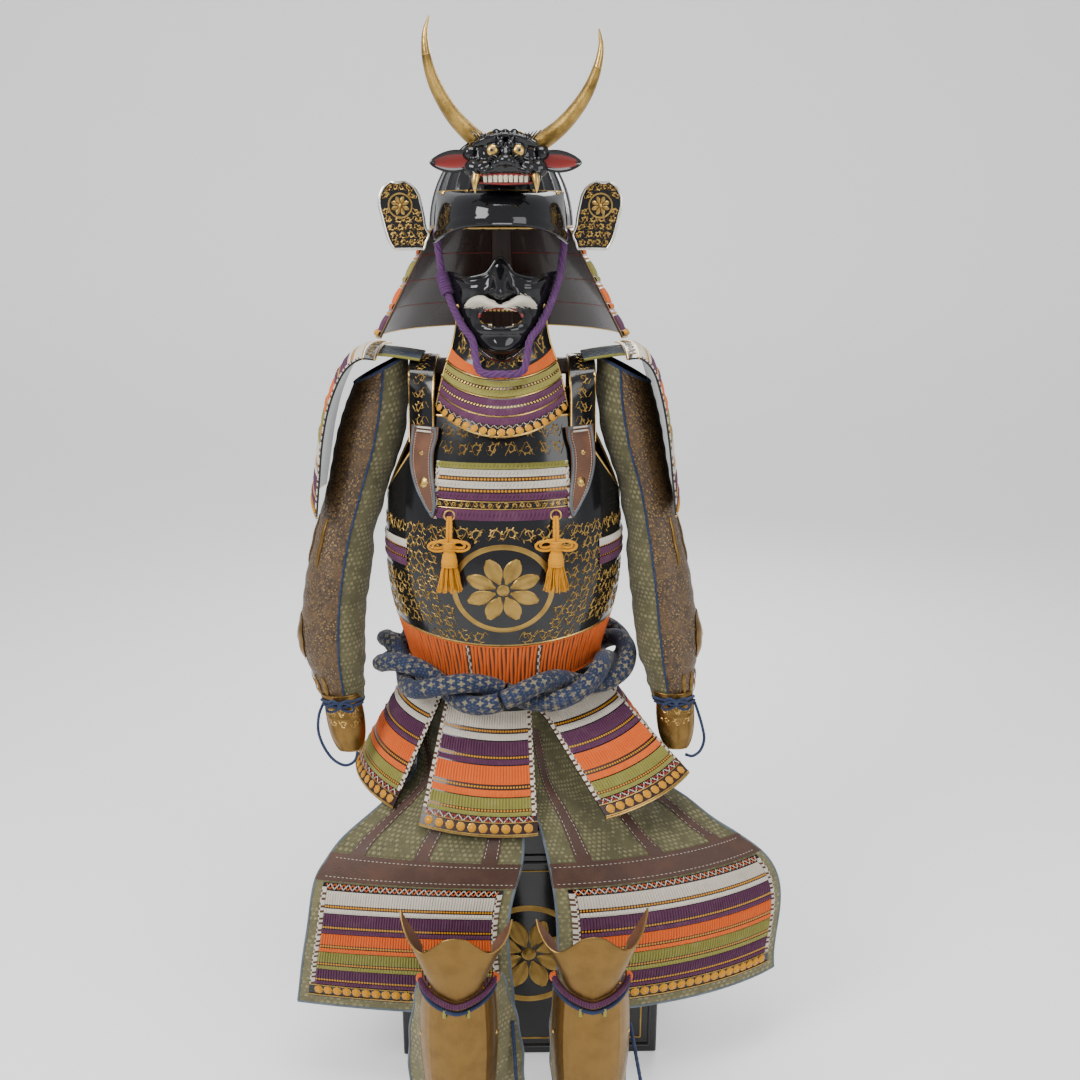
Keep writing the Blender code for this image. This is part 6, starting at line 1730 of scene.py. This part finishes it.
def carve(name, blobs, voxel, look, smooth=2):
    """One carved body melted together from ellipsoids."""
    shaped = bmesh.new()
    for centre, radii, turn in blobs:
        place = Matrix.Translation(centre)
        for angle, axis in zip(turn, "XYZ"):
            place = place @ Matrix.Rotation(math.radians(angle), 4, axis)
        place = place @ Matrix.Diagonal((*radii, 1))
        bmesh.ops.create_uvsphere(shaped, u_segments=20, v_segments=12, radius=1, matrix=place)
    mesh = bpy.data.meshes.new(name)
    shaped.to_mesh(mesh)
    shaped.free()
    made = bpy.data.objects.new(name, mesh)
    bpy.context.scene.collection.objects.link(made)
    melt = made.modifiers.new("melt", "REMESH")
    melt.mode = "VOXEL"
    melt.voxel_size = voxel
    melt.use_smooth_shade = True
    soften = made.modifiers.new("soften", "SMOOTH")
    soften.iterations = smooth
    soften.factor = 0.5
    graph = bpy.context.evaluated_depsgraph_get()
    solid = bpy.data.meshes.new_from_object(made.evaluated_get(graph))
    made.modifiers.clear()
    made.data = solid
    solid.materials.clear()
    solid.materials.append(LOOK[look])
    solid.shade_smooth()
    return made


def crest():
    """A carved demon's head with gilt eyes, fangs and horns."""
    cx, cy, cz = CREST

    def at(dx, dy, dz):
        return (cx + dx * MM, cy + dy * MM, cz + dz * MM)

    def blob(dx, dy, dz, rx, ry, rz, turn=(0, 0, 0)):
        return at(dx, dy, dz), (rx * MM, ry * MM, rz * MM), turn

    blobs = [blob(0, 24, 10, 57, 49, 33), blob(0, -41, 2, 13, 14, 10), blob(0, -20, -10, 46, 25, 10),
             blob(0, -22, -29, 38, 12, 5), blob(0, -34, 12, 9, 8, 9)]
    for side in (-1, 1):
        blobs += [
            blob(side * 24, -24, 29, 25, 11, 7, (0, side * 12, 0)),
            blob(side * 22, -30, 34, 20, 7, 4, (0, side * 16, 0)),
            blob(side * 8, -36, 24, 6, 7, 8, (0, side * -30, 0)),
            blob(side * 19, -28, 16, 13, 8, 10),
            blob(side * 13, -42, -2, 8, 8, 6),
            blob(side * 32, -27, -5, 15, 12, 9, (0, side * 20, 0)),
            blob(side * 46, -12, -8, 16, 17, 14),
            blob(side * 44, -22, -20, 9, 10, 11),
            blob(side * 22, -37, -11, 17, 9, 5, (0, side * 14, 0)),
            blob(side * 52, 4, 14, 14, 16, 12),
        ]
        for k in range(5):
            blobs.append(blob(side * (14 + 8 * k), -14 + 6 * k, 42 - 4 * k, 7, 9, 5, (0, side * 20, 0)))
    for k in range(-3, 4):
        blobs.append(blob(k * 9, -26 + abs(k) * 2, 37 - abs(k) * 1.5, 4.5, 7, 5))
        blobs.append(blob(k * 11, -12 + abs(k) * 2, 43 - abs(k) * 2, 5.5, 8, 5))
    keep(carve("crest_carved", blobs, 0.0021, "visor"), ("crest_head",))

    shape = Shape()
    for side in (-1, 1):
        forward = np.array((side * 0.16, -0.985, 0.10))
        forward /= np.linalg.norm(forward)
        across = np.cross(forward, (0, 0, 1.0))
        across /= np.linalg.norm(across)
        other = np.cross(forward, across)
        eye = np.array(at(side * 19, -36.0, 16))
        shape.domes([eye], [forward], [across], 0.0092, 0.0056, "gold", sides=24, rings=5)
        shape.domes([eye + forward * 0.0053], [forward], [across], 0.0026, 0.0010, "lacquer", sides=14, rings=2)
        turn = np.linspace(0, 2 * math.pi, 29)[:-1]
        lid = eye + forward * 0.0008 + 0.0097 * (np.cos(turn)[:, None] * across
                                                 + 0.92 * np.sin(turn)[:, None] * other)
        shape.tube(lid, 0.0013, "visor", sides=8, closed=True, up=forward)
        s = np.linspace(0, 1, 16)
        for k in range(9):
            start = np.array(at(side * (4 + 4.6 * k), -36.5 + k * 1.1, 25.5 + k * 0.9))
            way = np.array((side * (0.3 + 0.07 * k), 0.55, 1.0))
            path = start + way * (s * 0.012)[:, None] + np.array((0, -0.0042, 0)) * np.sin(s * math.pi)[:, None]
            shape.tube(path, 0.0013 * (1 - 0.5 * s), "visor", sides=6)
        for k in range(7):
            base = np.array(at(side * (12 + 7 * k), -21 + 5.5 * k, 40.5 - 3.0 * k))
            spin = s * 5.5
            radius = 0.0060 * (1 - 0.78 * s)
            path = base + np.stack([side * radius * np.cos(spin), -0.0050 - 0.002 * s, radius * np.sin(spin)], axis=1)
            shape.tube(path, 0.0011, "paint_gold" if k % 2 else "visor", sides=6)
        path = np.stack([cx + side * (0.0430 + 0.0020 * np.sin(s * 2.4)), cy - 0.0330 - 0.003 * np.sin(s * 3),
                         cz - 0.0180 - 0.0255 * s], axis=1)
        shape.tube(path, 0.0056 * (1 - s ** 1.6) + 0.0004, "gold", sides=14)
        for k in range(5):
            start = np.array(at(side * (10 + 2 * k), -46 + 2.5 * k, 4 - 2.6 * k))
            path = start + np.stack([side * 0.014 * s, 0.006 * s * s, 0.0045 * np.sin(s * math.pi)], axis=1)
            shape.tube(path, 0.0010, "visor", sides=6)
        ear_s, t = np.meshgrid(np.linspace(0, 1, 19), np.linspace(-1, 1, 13))
        half = 0.0145 * np.sin(math.pi * np.clip(0.12 + 0.88 * ear_s, 0, 1)) ** 0.7
        hollow = 0.0055 * (1 - t * t) * np.sin(math.pi * ear_s) ** 0.6
        front = np.stack([cx + side * (0.047 + 0.064 * ear_s), cy - 0.0050 + hollow - 0.004 * ear_s,
                          cz + 0.004 * (1 - ear_s) + half * t], axis=-1)
        rear = front + np.array((0, 0.0046, 0)) * (1 - 0.5 * np.abs(t))[..., None]
        shape.slab(front, rear, lambda i, j: "red_lacquer" if 2 <= i <= 9 and 1 <= j <= 15 else "visor", "visor")
        shape.tube(np.concatenate([front[0], front[-1][::-1]]), 0.0017, "visor", sides=8, closed=True)
    for k in range(9):
        x = (k - 4) * 7.4
        y = -37.5 + 0.0075 * x * x
        tooth = np.linspace(0, 1, 5)
        path = np.stack([cx + x * MM + 0 * tooth, cy + y * MM - 0.001 * tooth, cz - 0.0180 - 0.0098 * tooth], axis=1)
        shape.tube(path, 0.0036 - 0.0008 * tooth, "ivory", sides=10, flat=0.75)
    for lift, back, bend in ((-16.5, -38.0, -0.03), (-29.5, -33.5, 0.05)):
        lips = [at(x, back + 0.0072 * x * x, lift + abs(x) * bend) for x in range(-38, 39, 4)]
        shape.tube(smooth_path(lips, 60), 0.0025, "red_lacquer", sides=8)
    shape.make("crest_details")

    for side, word in ((-1, "left"), (1, "right")):
        path = smooth_path([horn_place(side, x, z) for x, z in zip(HORN["x"], HORN["z"])], 90)
        radii = spline(np.arange(8), HORN["radius"], np.linspace(0, 7, 90))
        radii = radii * np.where(np.arange(90) > 60, 1 + 0.010 * np.sin(np.arange(90) * 1.3), 1.0)
        shape = Shape()
        shape.tube(path, radii, lambda i, j: "horn" if i < 62 else "gold", sides=26, flat=0.62)
        first, second = frames(path)
        turn = np.linspace(0, 2 * math.pi, 41)[:-1]
        ring = path[62] + radii[62] * 1.01 * (np.cos(turn)[:, None] * first[62]
                                              + 0.62 * np.sin(turn)[:, None] * second[62])
        shape.tube(ring, 0.0007, "gold", sides=6, closed=True)
        shape.make("horn_gilt_" + word, ("horn_" + word,))


# ---------------------------------------------------------------- mask

MOUTH_SHAPE = (0.0336, 1.3195, 0.0152)     # half-width, middle height and half-height of the mouth


def mask_carving(d, share):
    """Wrinkles beside the nose and mouth, and a groove under each eye."""
    rise = 0.0
    for k in range(3):
        way = abs(d) - (15 + 8 * k) - 26 * max(0.0, share - 0.22)
        rise += 0.0016 * math.exp(-((way / 2.6) ** 2)) * math.exp(-(((share - 0.42) / 0.22) ** 2))
    rise -= 0.0014 * math.exp(-(((share - 0.11) / 0.02) ** 2) - (((abs(d) - 34) / 15) ** 2))
    return rise + 0.0012 * math.exp(-(((share - 0.055) / 0.018) ** 2))


def mask():
    degrees = np.linspace(-78, 78, 95)
    shares = np.linspace(0, 1, 75)
    half, level, high = MOUTH_SHAPE
    base = np.array([[mask_point(math.radians(d), s) for d in degrees] for s in shares])
    lifts = np.array([[mask_carving(d, s) for d in degrees] for s in shares])
    x, z = base[:, :, 0].copy(), base[:, :, 2].copy()
    reach = (np.abs(x) / half) ** 2.3 + (np.abs(z - level) / high) ** 2.3
    inside = reach < 1
    cells = inside[:-1, :-1] & inside[1:, :-1] & inside[:-1, 1:] & inside[1:, 1:]
    for i, j in zip(*np.nonzero(inside & (reach > 0.5))):
        grow = reach[i, j] ** (-1 / 2.3)
        nx, nz = x[i, j] * grow, level + (z[i, j] - level) * grow
        base[i, j] = (nx, np.interp(nx, x[i], base[i, :, 1]), nz)
    normal = normals(base, (0, 0.05, 1.33))
    outer = base + normal * (0.0024 + lifts)[..., None]
    shape = Shape()
    rows, cols = base.shape[:2]
    index = np.arange(rows * cols).reshape(rows, cols)
    quads = np.stack([index[:-1, :-1], index[:-1, 1:], index[1:, 1:], index[1:, :-1]], axis=-1)[~cells]
    uvs = np.stack([x, z], axis=-1)
    shape.add(outer, quads, "visor", uvs)
    shape.add(base, quads[:, ::-1], "red_lacquer", uvs)
    for a, b in ((outer[0], base[0]), (base[-1], outer[-1]), (base[:, 0], outer[:, 0]), (outer[:, -1], base[:, -1])):
        shape.sheet(np.stack([b, a]), "visor")

    def on_mask(px, pz, out):
        ring = []
        for a, b in zip(px, pz):
            row = int(np.argmin(np.abs(z[:, cols // 2] - b)))
            y = np.interp(a, x[row], outer[row, :, 1] - 0.0)
            ring.append((a, y - out, b))
        return np.array(ring)

    turn = np.linspace(0, 2 * math.pi, 97)[:-1]
    px = half * np.sign(np.cos(turn)) * np.abs(np.cos(turn)) ** 0.87
    pz = level + high * np.sign(np.sin(turn)) * np.abs(np.sin(turn)) ** 0.87
    ring = on_mask(px, pz, 0.0003)
    shape.tube(ring, 0.0022, lambda i, j: "red_lacquer" if i < 48 else "visor", sides=8, closed=True,
               up=np.array((0.0, 1.0, 0.0)))
    beads = on_mask(px[54:91:2], pz[54:91:2] + 0.001, 0.0012)
    shape.domes(beads, np.tile((0.0, -1.0, 0.0), (len(beads), 1)), np.tile((1.0, 0.0, 0.0), (len(beads), 1)),
                0.0016, 0.0014,
                "gold", sides=8, rings=2)
    tooth = np.linspace(0, 1, 4)
    for k in range(8):
        tx = (k - 3.5) * 0.0064
        depth = on_mask([tx], [1.333], 0)[0, 1] + 0.0045
        path = np.stack([tx + 0 * tooth, depth + 0 * tooth, 1.3345 - 0.0052 * tooth], axis=1)
        shape.tube(path, 0.0028 - 0.0005 * tooth, "gold", sides=8, flat=0.7)
    for edge, inset in ((outer[0], -0.0006), (outer[-1], 0.0006)):
        shape.tube(edge + np.array((0, 0, inset)), 0.0014, "visor", sides=8)
    for side in (-1, 1):
        spot = np.array(mask_point(math.radians(side * 52), 0.60, 0.0026))
        facing = np.array((side * 0.78, -0.62, 0.0))
        shape.domes([spot], [facing], [(-facing[1], facing[0], 0.0)], 0.0044, 0.0030, "gold", sides=14, rings=3)
    shape.make("mask_lacquered", ("face_mask",))


def moustache():
    shape = Shape()
    wide, front = (float(spline(MASK["z"], MASK[k], 1.345)) for k in ("wide", "front"))
    s = np.linspace(0, 1, 5)
    for side in (-1, 1):
        for k in range(330):
            start = rng.uniform(0.5, 30)
            long = rng.uniform(0.012, 0.024) * (1 - 0.25 * start / 30)
            lift = rng.normal(0, 0.0026)
            d = np.minimum(41.0, start + math.degrees(long / 0.105) * s)
            arch = np.interp(d, (0, 6, 19, 30, 41), (1.3375, 1.3405, 1.3475, 1.3445, 1.3365))
            bulk = np.interp(d, (0, 6, 19, 30, 41), (0.3, 0.6, 1.0, 0.7, 0.25))
            out = 0.0092 + 0.0080 * bulk * (0.35 + 0.65 * (k * 37 % 100) / 100)
            angle = np.radians(side * d)
            path = np.stack([(wide + 0.004) * np.sin(angle), MASK_Y - (front + out) * np.cos(angle),
                             arch + lift * bulk * 1.3 - 0.0055 * s * s], axis=1)
            shape.tube(path, 0.00058 * (1 - 0.6 * s), "hair", sides=4, caps=False)
    places = []
    for d, z, radius in zip((-38, -30, -19, -9, 0, 9, 19, 30, 38),
                            (1.337, 1.345, 1.348, 1.342, 1.338, 1.342, 1.348, 1.345, 1.337),
                            (1.2, 4.2, 6.2, 4.2, 2.4, 4.2, 6.2, 4.2, 1.2)):
        angle = math.radians(d)
        out = 0.0078 + radius * MM
        places.append(((wide + 0.004) * math.sin(angle), MASK_Y - (front + out) * math.cos(angle), z, radius * MM))
    places = np.array(places)
    fine = np.linspace(0, 8, 60)
    path = np.stack([spline(np.arange(9), places[:, k], fine) for k in range(3)], axis=1)
    shape.tube(path, spline(np.arange(9), places[:, 3], fine), "hair", sides=14)
    shape.make("moustache_hair", ("moustache",))


def chin_cord():
    half = []
    for d, share in ((68, 0.0), (64, 0.22), (58, 0.46), (51, 0.66), (43, 0.82), (34, 0.93)):
        half.append(mask_point(math.radians(d), share, 0.0108))
    half = [np.array((0.1005, -0.070, 1.4514)), np.array((0.0995, -0.0705, 1.424))] + half
    half.append(np.array((0.034, -0.152, 1.2400)))
    points = [p * np.array((-1, 1, 1)) for p in half] + [np.array((0.0, -0.166, 1.2360))] + half[::-1]
    path = smooth_path(points, 420)
    first, second = frames(path)
    shape = Shape()
    k = np.arange(420)
    for strand in range(4):
        turn = k * 0.235 + strand * math.pi / 2
        offset = 0.0034 * (np.cos(turn)[:, None] * first + 0.9 * np.sin(turn)[:, None] * second)
        shape.tube(path + offset, 0.0030, "cord_purple", sides=6)
    turn = np.linspace(0, 2 * math.pi, 33)[:-1]
    for index in (62, 74, 86):
        way = path[index + 2] - path[index - 2]
        way = way / np.linalg.norm(way)
        for shift in (-0.0045, 0.0, 0.0045):
            ring = path[index] + way * shift + 0.0085 * (
                np.cos(turn)[:, None] * first[index] + np.sin(turn)[:, None] * second[index])
            shape.tube(ring, 0.0026, "cord_purple", sides=7, closed=True)
    shape.make("chin_cord_braided", ("chin_cord",))


# ---------------------------------------------------------------- sleeves and hand guards

MAIL_EDGE = (-14, 168)      # degrees round the arm where the mail starts and ends


def sleeves():
    rows, sides = 85, 54
    for side, word in ((-1, "left"), (1, "right")):
        base = np.zeros((rows, sides, 3))
        for i in range(rows):
            share = i / (rows - 1)
            ends = min(1.0, share * 12, (1 - share) * 12)
            for j in range(sides):
                degrees = 360 * j / sides
                gap = (degrees + 60 + 180) % 360 - 180
                small = 0.0012 * math.sin(share * 62 + degrees * 0.055) * math.exp(-((gap / 62) ** 2))
                small += 0.0006 * math.sin(share * 121 - degrees * 0.03)
                folded = sleeve_folds(share, degrees) + small * ends
                base[i, j] = sleeve_point(side, share, math.radians(degrees), folded)
        middle = base.mean(axis=1, keepdims=True)
        normal = normals(base, (0, 0, 0), wrap=True)
        if np.sum(normal * (base - middle)) < 0:
            normal = -normal
        patch = Patch(base, (0, 0, 0), wrap=True)
        patch.normal = np.concatenate([normal, normal[:, :1]], axis=1)
        shape = Shape()

        def look(i, j):
            degrees = ((j + 0.5) / sides * 360 + 180) % 360 - 180
            return "sage" if degrees < MAIL_EDGE[0] or degrees > MAIL_EDGE[1] else "mail"

        u, v = np.meshgrid(np.linspace(0, 1, sides + 1), np.linspace(0, 1, rows))
        shape.slab(patch.at(u, v, CLOTH), patch.at(u, v, 0), look, "lining")
        for degrees in MAIL_EDGE:
            a = (degrees % 360) / 360
            path = patch.at(np.full(120, a), np.linspace(0.01, 0.99, 120), CLOTH + 0.0004)
            shape.tube(path, 0.0019, "navy", sides=8)
            for k in range(30):
                v_mid = 0.03 + k * 0.032
                path = patch.at(np.array((a - 0.006, a, a + 0.006)), np.array((v_mid, v_mid + 0.005, v_mid + 0.010)),
                                CLOTH + 0.0022)
                shape.tube(path, 0.0009, "navy", sides=5)
        for v_edge in (0.004, 0.996):
            rim(shape, patch, v_edge, 0.0028, "navy", CLOTH * 0.5, steps=140)
        splint(shape, patch, 90, 0.655, 0.800, 30, 0.0050)
        for k in range(3):
            splint(shape, patch, 90, 0.700 + 0.012 * k, 0.755 - 0.012 * k, 12 - 3 * k, 0.0062 + 0.0006 * k, "gold")
        for degrees in (28, 52, 76, 100, 124):
            splint(shape, patch, degrees, 0.835, 0.955, 5.5, 0.0030)
        for degrees in (40, 75, 110):
            splint(shape, patch, degrees, 0.40, 0.52, 5.0, 0.0026)
        made = shape.make("sleeve_mail_" + word, ("sleeve_" + word,), smooth=60)


def splint(shape, patch, middle, v0, v1, half, rise, look="gilt"):
    """A small domed plate on a sleeve, its place round the arm in degrees."""
    across = np.linspace(-1, 1, 11)
    down = np.linspace(0.03, 0.97, 25)
    arch = np.sin(math.pi * down) ** 0.4
    grid_u = middle / 360 + half / 360 * across[None, :] * (0.35 + 0.65 * arch)[:, None]
    grid_v = np.repeat((v0 + (v1 - v0) * down)[:, None], 11, axis=1)
    out = CLOTH + 0.0003 + rise * (np.cos(across * 1.45)[None, :] ** 0.5) * arch[:, None]
    shape.sheet(patch.at(grid_u % 1.0, grid_v, out), look)


def hand_guards():
    for side, word in ((-1, "left"), (1, "right")):
        cuff = {k: SLEEVE[k][-1] for k in ("y", "z", "deep")}
        cuff.update({k: SLEEVE[k][side][-1] for k in ("x", "wide")})
        rise, hang = {-1: (0.005, -0.012), 1: (-0.005, 0.006)}[side]
        base = []
        for share in np.linspace(0, 1, 41):
            z = 0.672 - 0.104 * share
            on_cuff = max(0.0, (z - cuff["z"]) / 0.035)
            reach = 62 * math.sqrt(max(0.16, 1 - (1.45 * share - 0.55) ** 2))
            out = CLOTH + 0.2 * MM + 6.5 * MM * on_cuff
            angle = np.radians(np.linspace(-reach, reach, 41))
            x = cuff["x"] + rise * on_cuff + hang * share + (cuff["wide"] + out) * np.sin(angle)
            dome = 0.006 * math.sin(share * math.pi)
            y = cuff["y"] + 0.005 * on_cuff - (cuff["deep"] + out) * np.cos(angle) - dome
            base.append(np.stack([side * x, y, 0 * x + z], axis=1))
        patch = Patch(np.array(base), (side * 0.28, 0.1, 0.6))
        shape = Shape()
        u, v = np.meshgrid(np.linspace(0, 1, 37), np.linspace(0, 1, 37))
        knuckles = 0.0022 * np.abs(np.sin(math.pi * 2 * u)) ** 0.8 * np.exp(-(((v - 0.72) / 0.16) ** 2))
        knuckles = knuckles + 0.0012 * np.exp(-(((v - 0.40) / 0.02) ** 2))
        shape.slab(patch.at(u, v, 0.002 + knuckles), patch.at(u, v, 0), "gilt", "leather")
        scrolls(shape, patch, 0.14, 0.86, 0.20, 0.56, 0.0022, 3, 2, look="gold")
        edge = np.array([(x, 0.01) for x in np.linspace(0.02, 0.98, 16)] + [(0.99, y) for y in np.linspace(0.03,
                                                                                                           0.98, 30)]
                        + [(x, 0.992) for x in np.linspace(0.97, 0.03, 14)] + [(0.01,
                                                                                y) for y in np.linspace(0.98,
                                                                                                        0.03, 30)])
        shape.tube(patch.at(edge[:, 0], edge[:, 1], 0.0012), 0.0017, "gilt", sides=8, closed=True)
        for lift in (0.10, 0.17):
            rim(shape, patch, lift, 0.0026, "navy", 0.0042, steps=50)
        centre = patch.at(0.5, 0.135, 0.006)
        turn = np.linspace(0, 2 * math.pi, 33)[:-1]
        for bow, size, droop in ((-1, 0.019, 0.4), (1, 0.019, 0.4), (-1, 0.014, -0.7), (1, 0.014, -0.7)):
            x = bow * size * (1 - np.cos(turn)) * 0.62
            z = size * 0.42 * np.sin(turn) - np.abs(x) * droop * 0.6
            loop = centre + np.stack([x, -0.003 - 0.002 * np.sin(turn), z], axis=1)
            shape.tube(loop, 0.0022, "navy", sides=8, closed=True, up=np.array((0.0, 1.0, 0.0)))
        shape.domes([centre], [(0, -1.0, 0)], [(1.0, 0, 0)], 0.0056, 0.0068, "navy", sides=14, rings=4)
        shape.make("hand_plate_" + word, ("hand_guard_" + word,))


# ---------------------------------------------------------------- shin guards

def shins():
    for side, word in ((-1, "left"), (1, "right")):
        shin_plate(side, word)
        shin_cloth(side, word)
        knee_plate(side, word)


def shin_plate(side, word):
    angles = np.radians(np.linspace(-84, 84, 85))
    grid = []
    for share in np.linspace(0, 1, 61):
        top = 0.338 - 0.018 * np.cos(angles) ** 2
        grid.append([shin_point(side, a, b) for a, b in zip(angles, top + (0.0002 - top) * share)])
    patch = Patch(np.array(grid), (SHINS[side], SHIN_Y, 0.2))
    shape = Shape()
    u, v = np.meshgrid(np.linspace(0, 1, 73), np.linspace(0, 1, 45))
    line = 0.0010 * (np.exp(-(((np.abs(u - 0.5) - 0.27) / 0.008) ** 2)) + np.exp(-(((v - 0.965) / 0.012) ** 2)))
    shape.slab(patch.at(u, v, METAL + line), patch.at(u, v, 0), "gilt", "leather")
    for u_edge in (0.004, 0.996):
        shape.tube(patch.at(np.full(70, u_edge), np.linspace(0.0, 0.998, 70), METAL * 0.5), 0.0018, "gilt", sides=8)
    rim(shape, patch, 0.014, 0.0038, "purple", 0.0044, steps=90)
    for k in range(46):
        s = np.linspace(-1, 1, 7)
        path = patch.at(0.02 + k * 0.0213 + 0.004 * s, 0.014 + 0.011 * s, 0.0042 + 0.0042 * np.sqrt(1.05 - s * s))
        shape.tube(path, 0.0016, "purple", sides=6, caps=False)
    for u0 in (0.02, 0.98):
        normal, across = patch.facing(u0, 0.01)
        shape.domes([patch.at(u0, 0.02, 0.003)], [normal], [across], 0.0085, 0.0085, "orange", sides=14, rings=4,
                    petals=5)
    rim(shape, patch, 0.052, 0.0030, "navy", 0.0040, steps=90, u0=0.03, u1=0.97)
    for u0 in (0.40, 0.60):
        shape.tube(patch.at(np.full(9, u0), np.linspace(0.045, 0.085, 9), 0.0045), 0.0028, "pale_green", sides=8)
    for u0 in (0.06, 0.94):
        for v0 in (0.30, 0.62, 0.90):
            normal, across = patch.facing(u0, v0)
            shape.domes([patch.at(u0, v0, METAL)], [normal], [across], 0.0036, 0.0022, "gold", sides=12, rings=3)
    shape.make("shin_gilt_" + word, ("shin_plate_" + word,))


def shin_cloth(side, word):
    left, right = {-1: (0.044, 0.064), 1: (0.018, 0.018)}[side]
    grid = []
    for z in np.linspace(0.318, 0.0002, 61):
        fall = math.sin(min(1.0, (0.318 - z) / 0.25) * math.pi / 2)
        row = []
        for d in np.linspace(-122, 122, 91):
            flare = (right if d > 0 else left) * (0.35 + 0.65 * fall)
            behind = (max(0.0, abs(d) - 84) / 38) ** 1.5
            inset = CLOTH + (2 if behind == 0 and abs(d) < 80.2 else 5) * SEAM
            wave = 0.0013 * math.sin(z * 90 + d * 0.2) * min(1.0, behind * 2) * (1 if z > 0.02 else 0)
            point = shin_point(side, math.radians(d), z, -inset - 0.0003 + wave)
            point[0] += math.copysign(flare * behind, d)
            row.append(point)
        grid.append(row)
    patch = Patch(np.array(grid), (SHINS[side], SHIN_Y, 0.2))
    shape = Shape()
    u, v = np.meshgrid(np.linspace(0, 1, 67), np.linspace(0, 1, 41))
    shape.slab(patch.at(u, v, CLOTH * 0.9), patch.at(u, v, 0), "pale_brocade", "lining")
    for u_edge in (0.004, 0.996):
        shape.tube(patch.at(np.full(60, u_edge), np.linspace(0.02, 0.985, 60), CLOTH * 0.5), 0.0026,
                   "edge_leather", sides=8)
    made = shape.make("shin_brocade_" + word, ("shin_cloth_" + word,))


def knee_plate(side, word):
    grid = []
    for share in np.linspace(0, 1, 33):
        row = []
        for d in np.linspace(-84, 84, 85):
            angle = math.radians(d)
            edge = "height" if math.sin(angle) * side > 0 else "inner"
            top = float(spline(KNEE_EDGE["angle"], KNEE_EDGE[edge], abs(d)))
            bottom = 0.338 + 2.5 * SEAM - 0.018 * math.cos(angle) ** 2 + 0.050 * math.sin(angle) ** 6
            swell = 0.012 * math.sin(share * math.pi * 0.62)
            flare = 0.020 * share ** 2 * math.sin(angle) ** 2
            point = shin_point(side, angle, 0.338, swell + flare)
            keel = 4 * MM * max(0.0, 1 - abs(d) / 22) * share
            row.append((point[0], point[1] + keel, bottom + (top - bottom) * share))
        grid.append(row)
    patch = Patch(np.array(grid), (SHINS[side], SHIN_Y, 0.38))
    shape = Shape()
    plate(shape, patch, METAL, "gilt", "leather", cells=(24, 64))
    rim(shape, patch, 0.992, 0.0017, "gilt", METAL * 0.5, steps=120)
    rim(shape, patch, 0.010, 0.0015, "gilt", METAL * 0.5, steps=90)
    shape.make("knee_gilt_" + word, ("knee_plate_" + word,))


# ---------------------------------------------------------------- chest and stand

def chest_and_stand():
    for name, look in (("chest_body", "chest"), ("chest_lid", "chest"), ("stand", "wood")):
        NODES[name].data.materials.clear()
        NODES[name].data.materials.append(LOOK[look])
    left, right = CHEST_X - CHEST_WIDTH / 2, CHEST_X + CHEST_WIDTH / 2
    rows = []
    for z in np.linspace(0.400, 0.012, 21):
        x = np.linspace(left + 0.008, right - 0.008, 21)
        rows.append(np.stack([x, 0 * x - CHEST_DEPTH / 2, 0 * x + z], axis=1))
    patch = Patch(np.array(rows), (CHEST_X, 0.2, 0.2))
    shape = Shape()
    for inset, radius, look in ((0.006, 0.0030, "chest"), (0.022, 0.0016, "paint_gold")):
        du, dv = inset / patch.width, inset / patch.height
        line = np.array([(du, dv), (1 - du, dv), (1 - du, 1 - dv), (du, 1 - dv), (du, dv)])
        for a, b in zip(line[:-1], line[1:]):
            path = patch.at(np.linspace(a[0], b[0], 20), np.linspace(a[1], b[1], 20), 0.0002)
            shape.tube(path, radius, look, sides=8)
    mapped_rosette(shape, patch, (0.040 - left - 0.008) / patch.width, (0.400 - 0.211) / patch.height, 0.100, 0.0003)
    shape.make("chest_ornament")


stage_and_light()
ties()
for build in (tassets, shoulder_guards, thigh_guards, neck_guard, throat_guard, cuirass, waist_lacing, sash, straps,
              neck_wings, leather_guards, tassels, helmet, turnbacks, crest, mask, moustache, chin_cord, sleeves,
              hand_guards, shins, chest_and_stand):
    build()
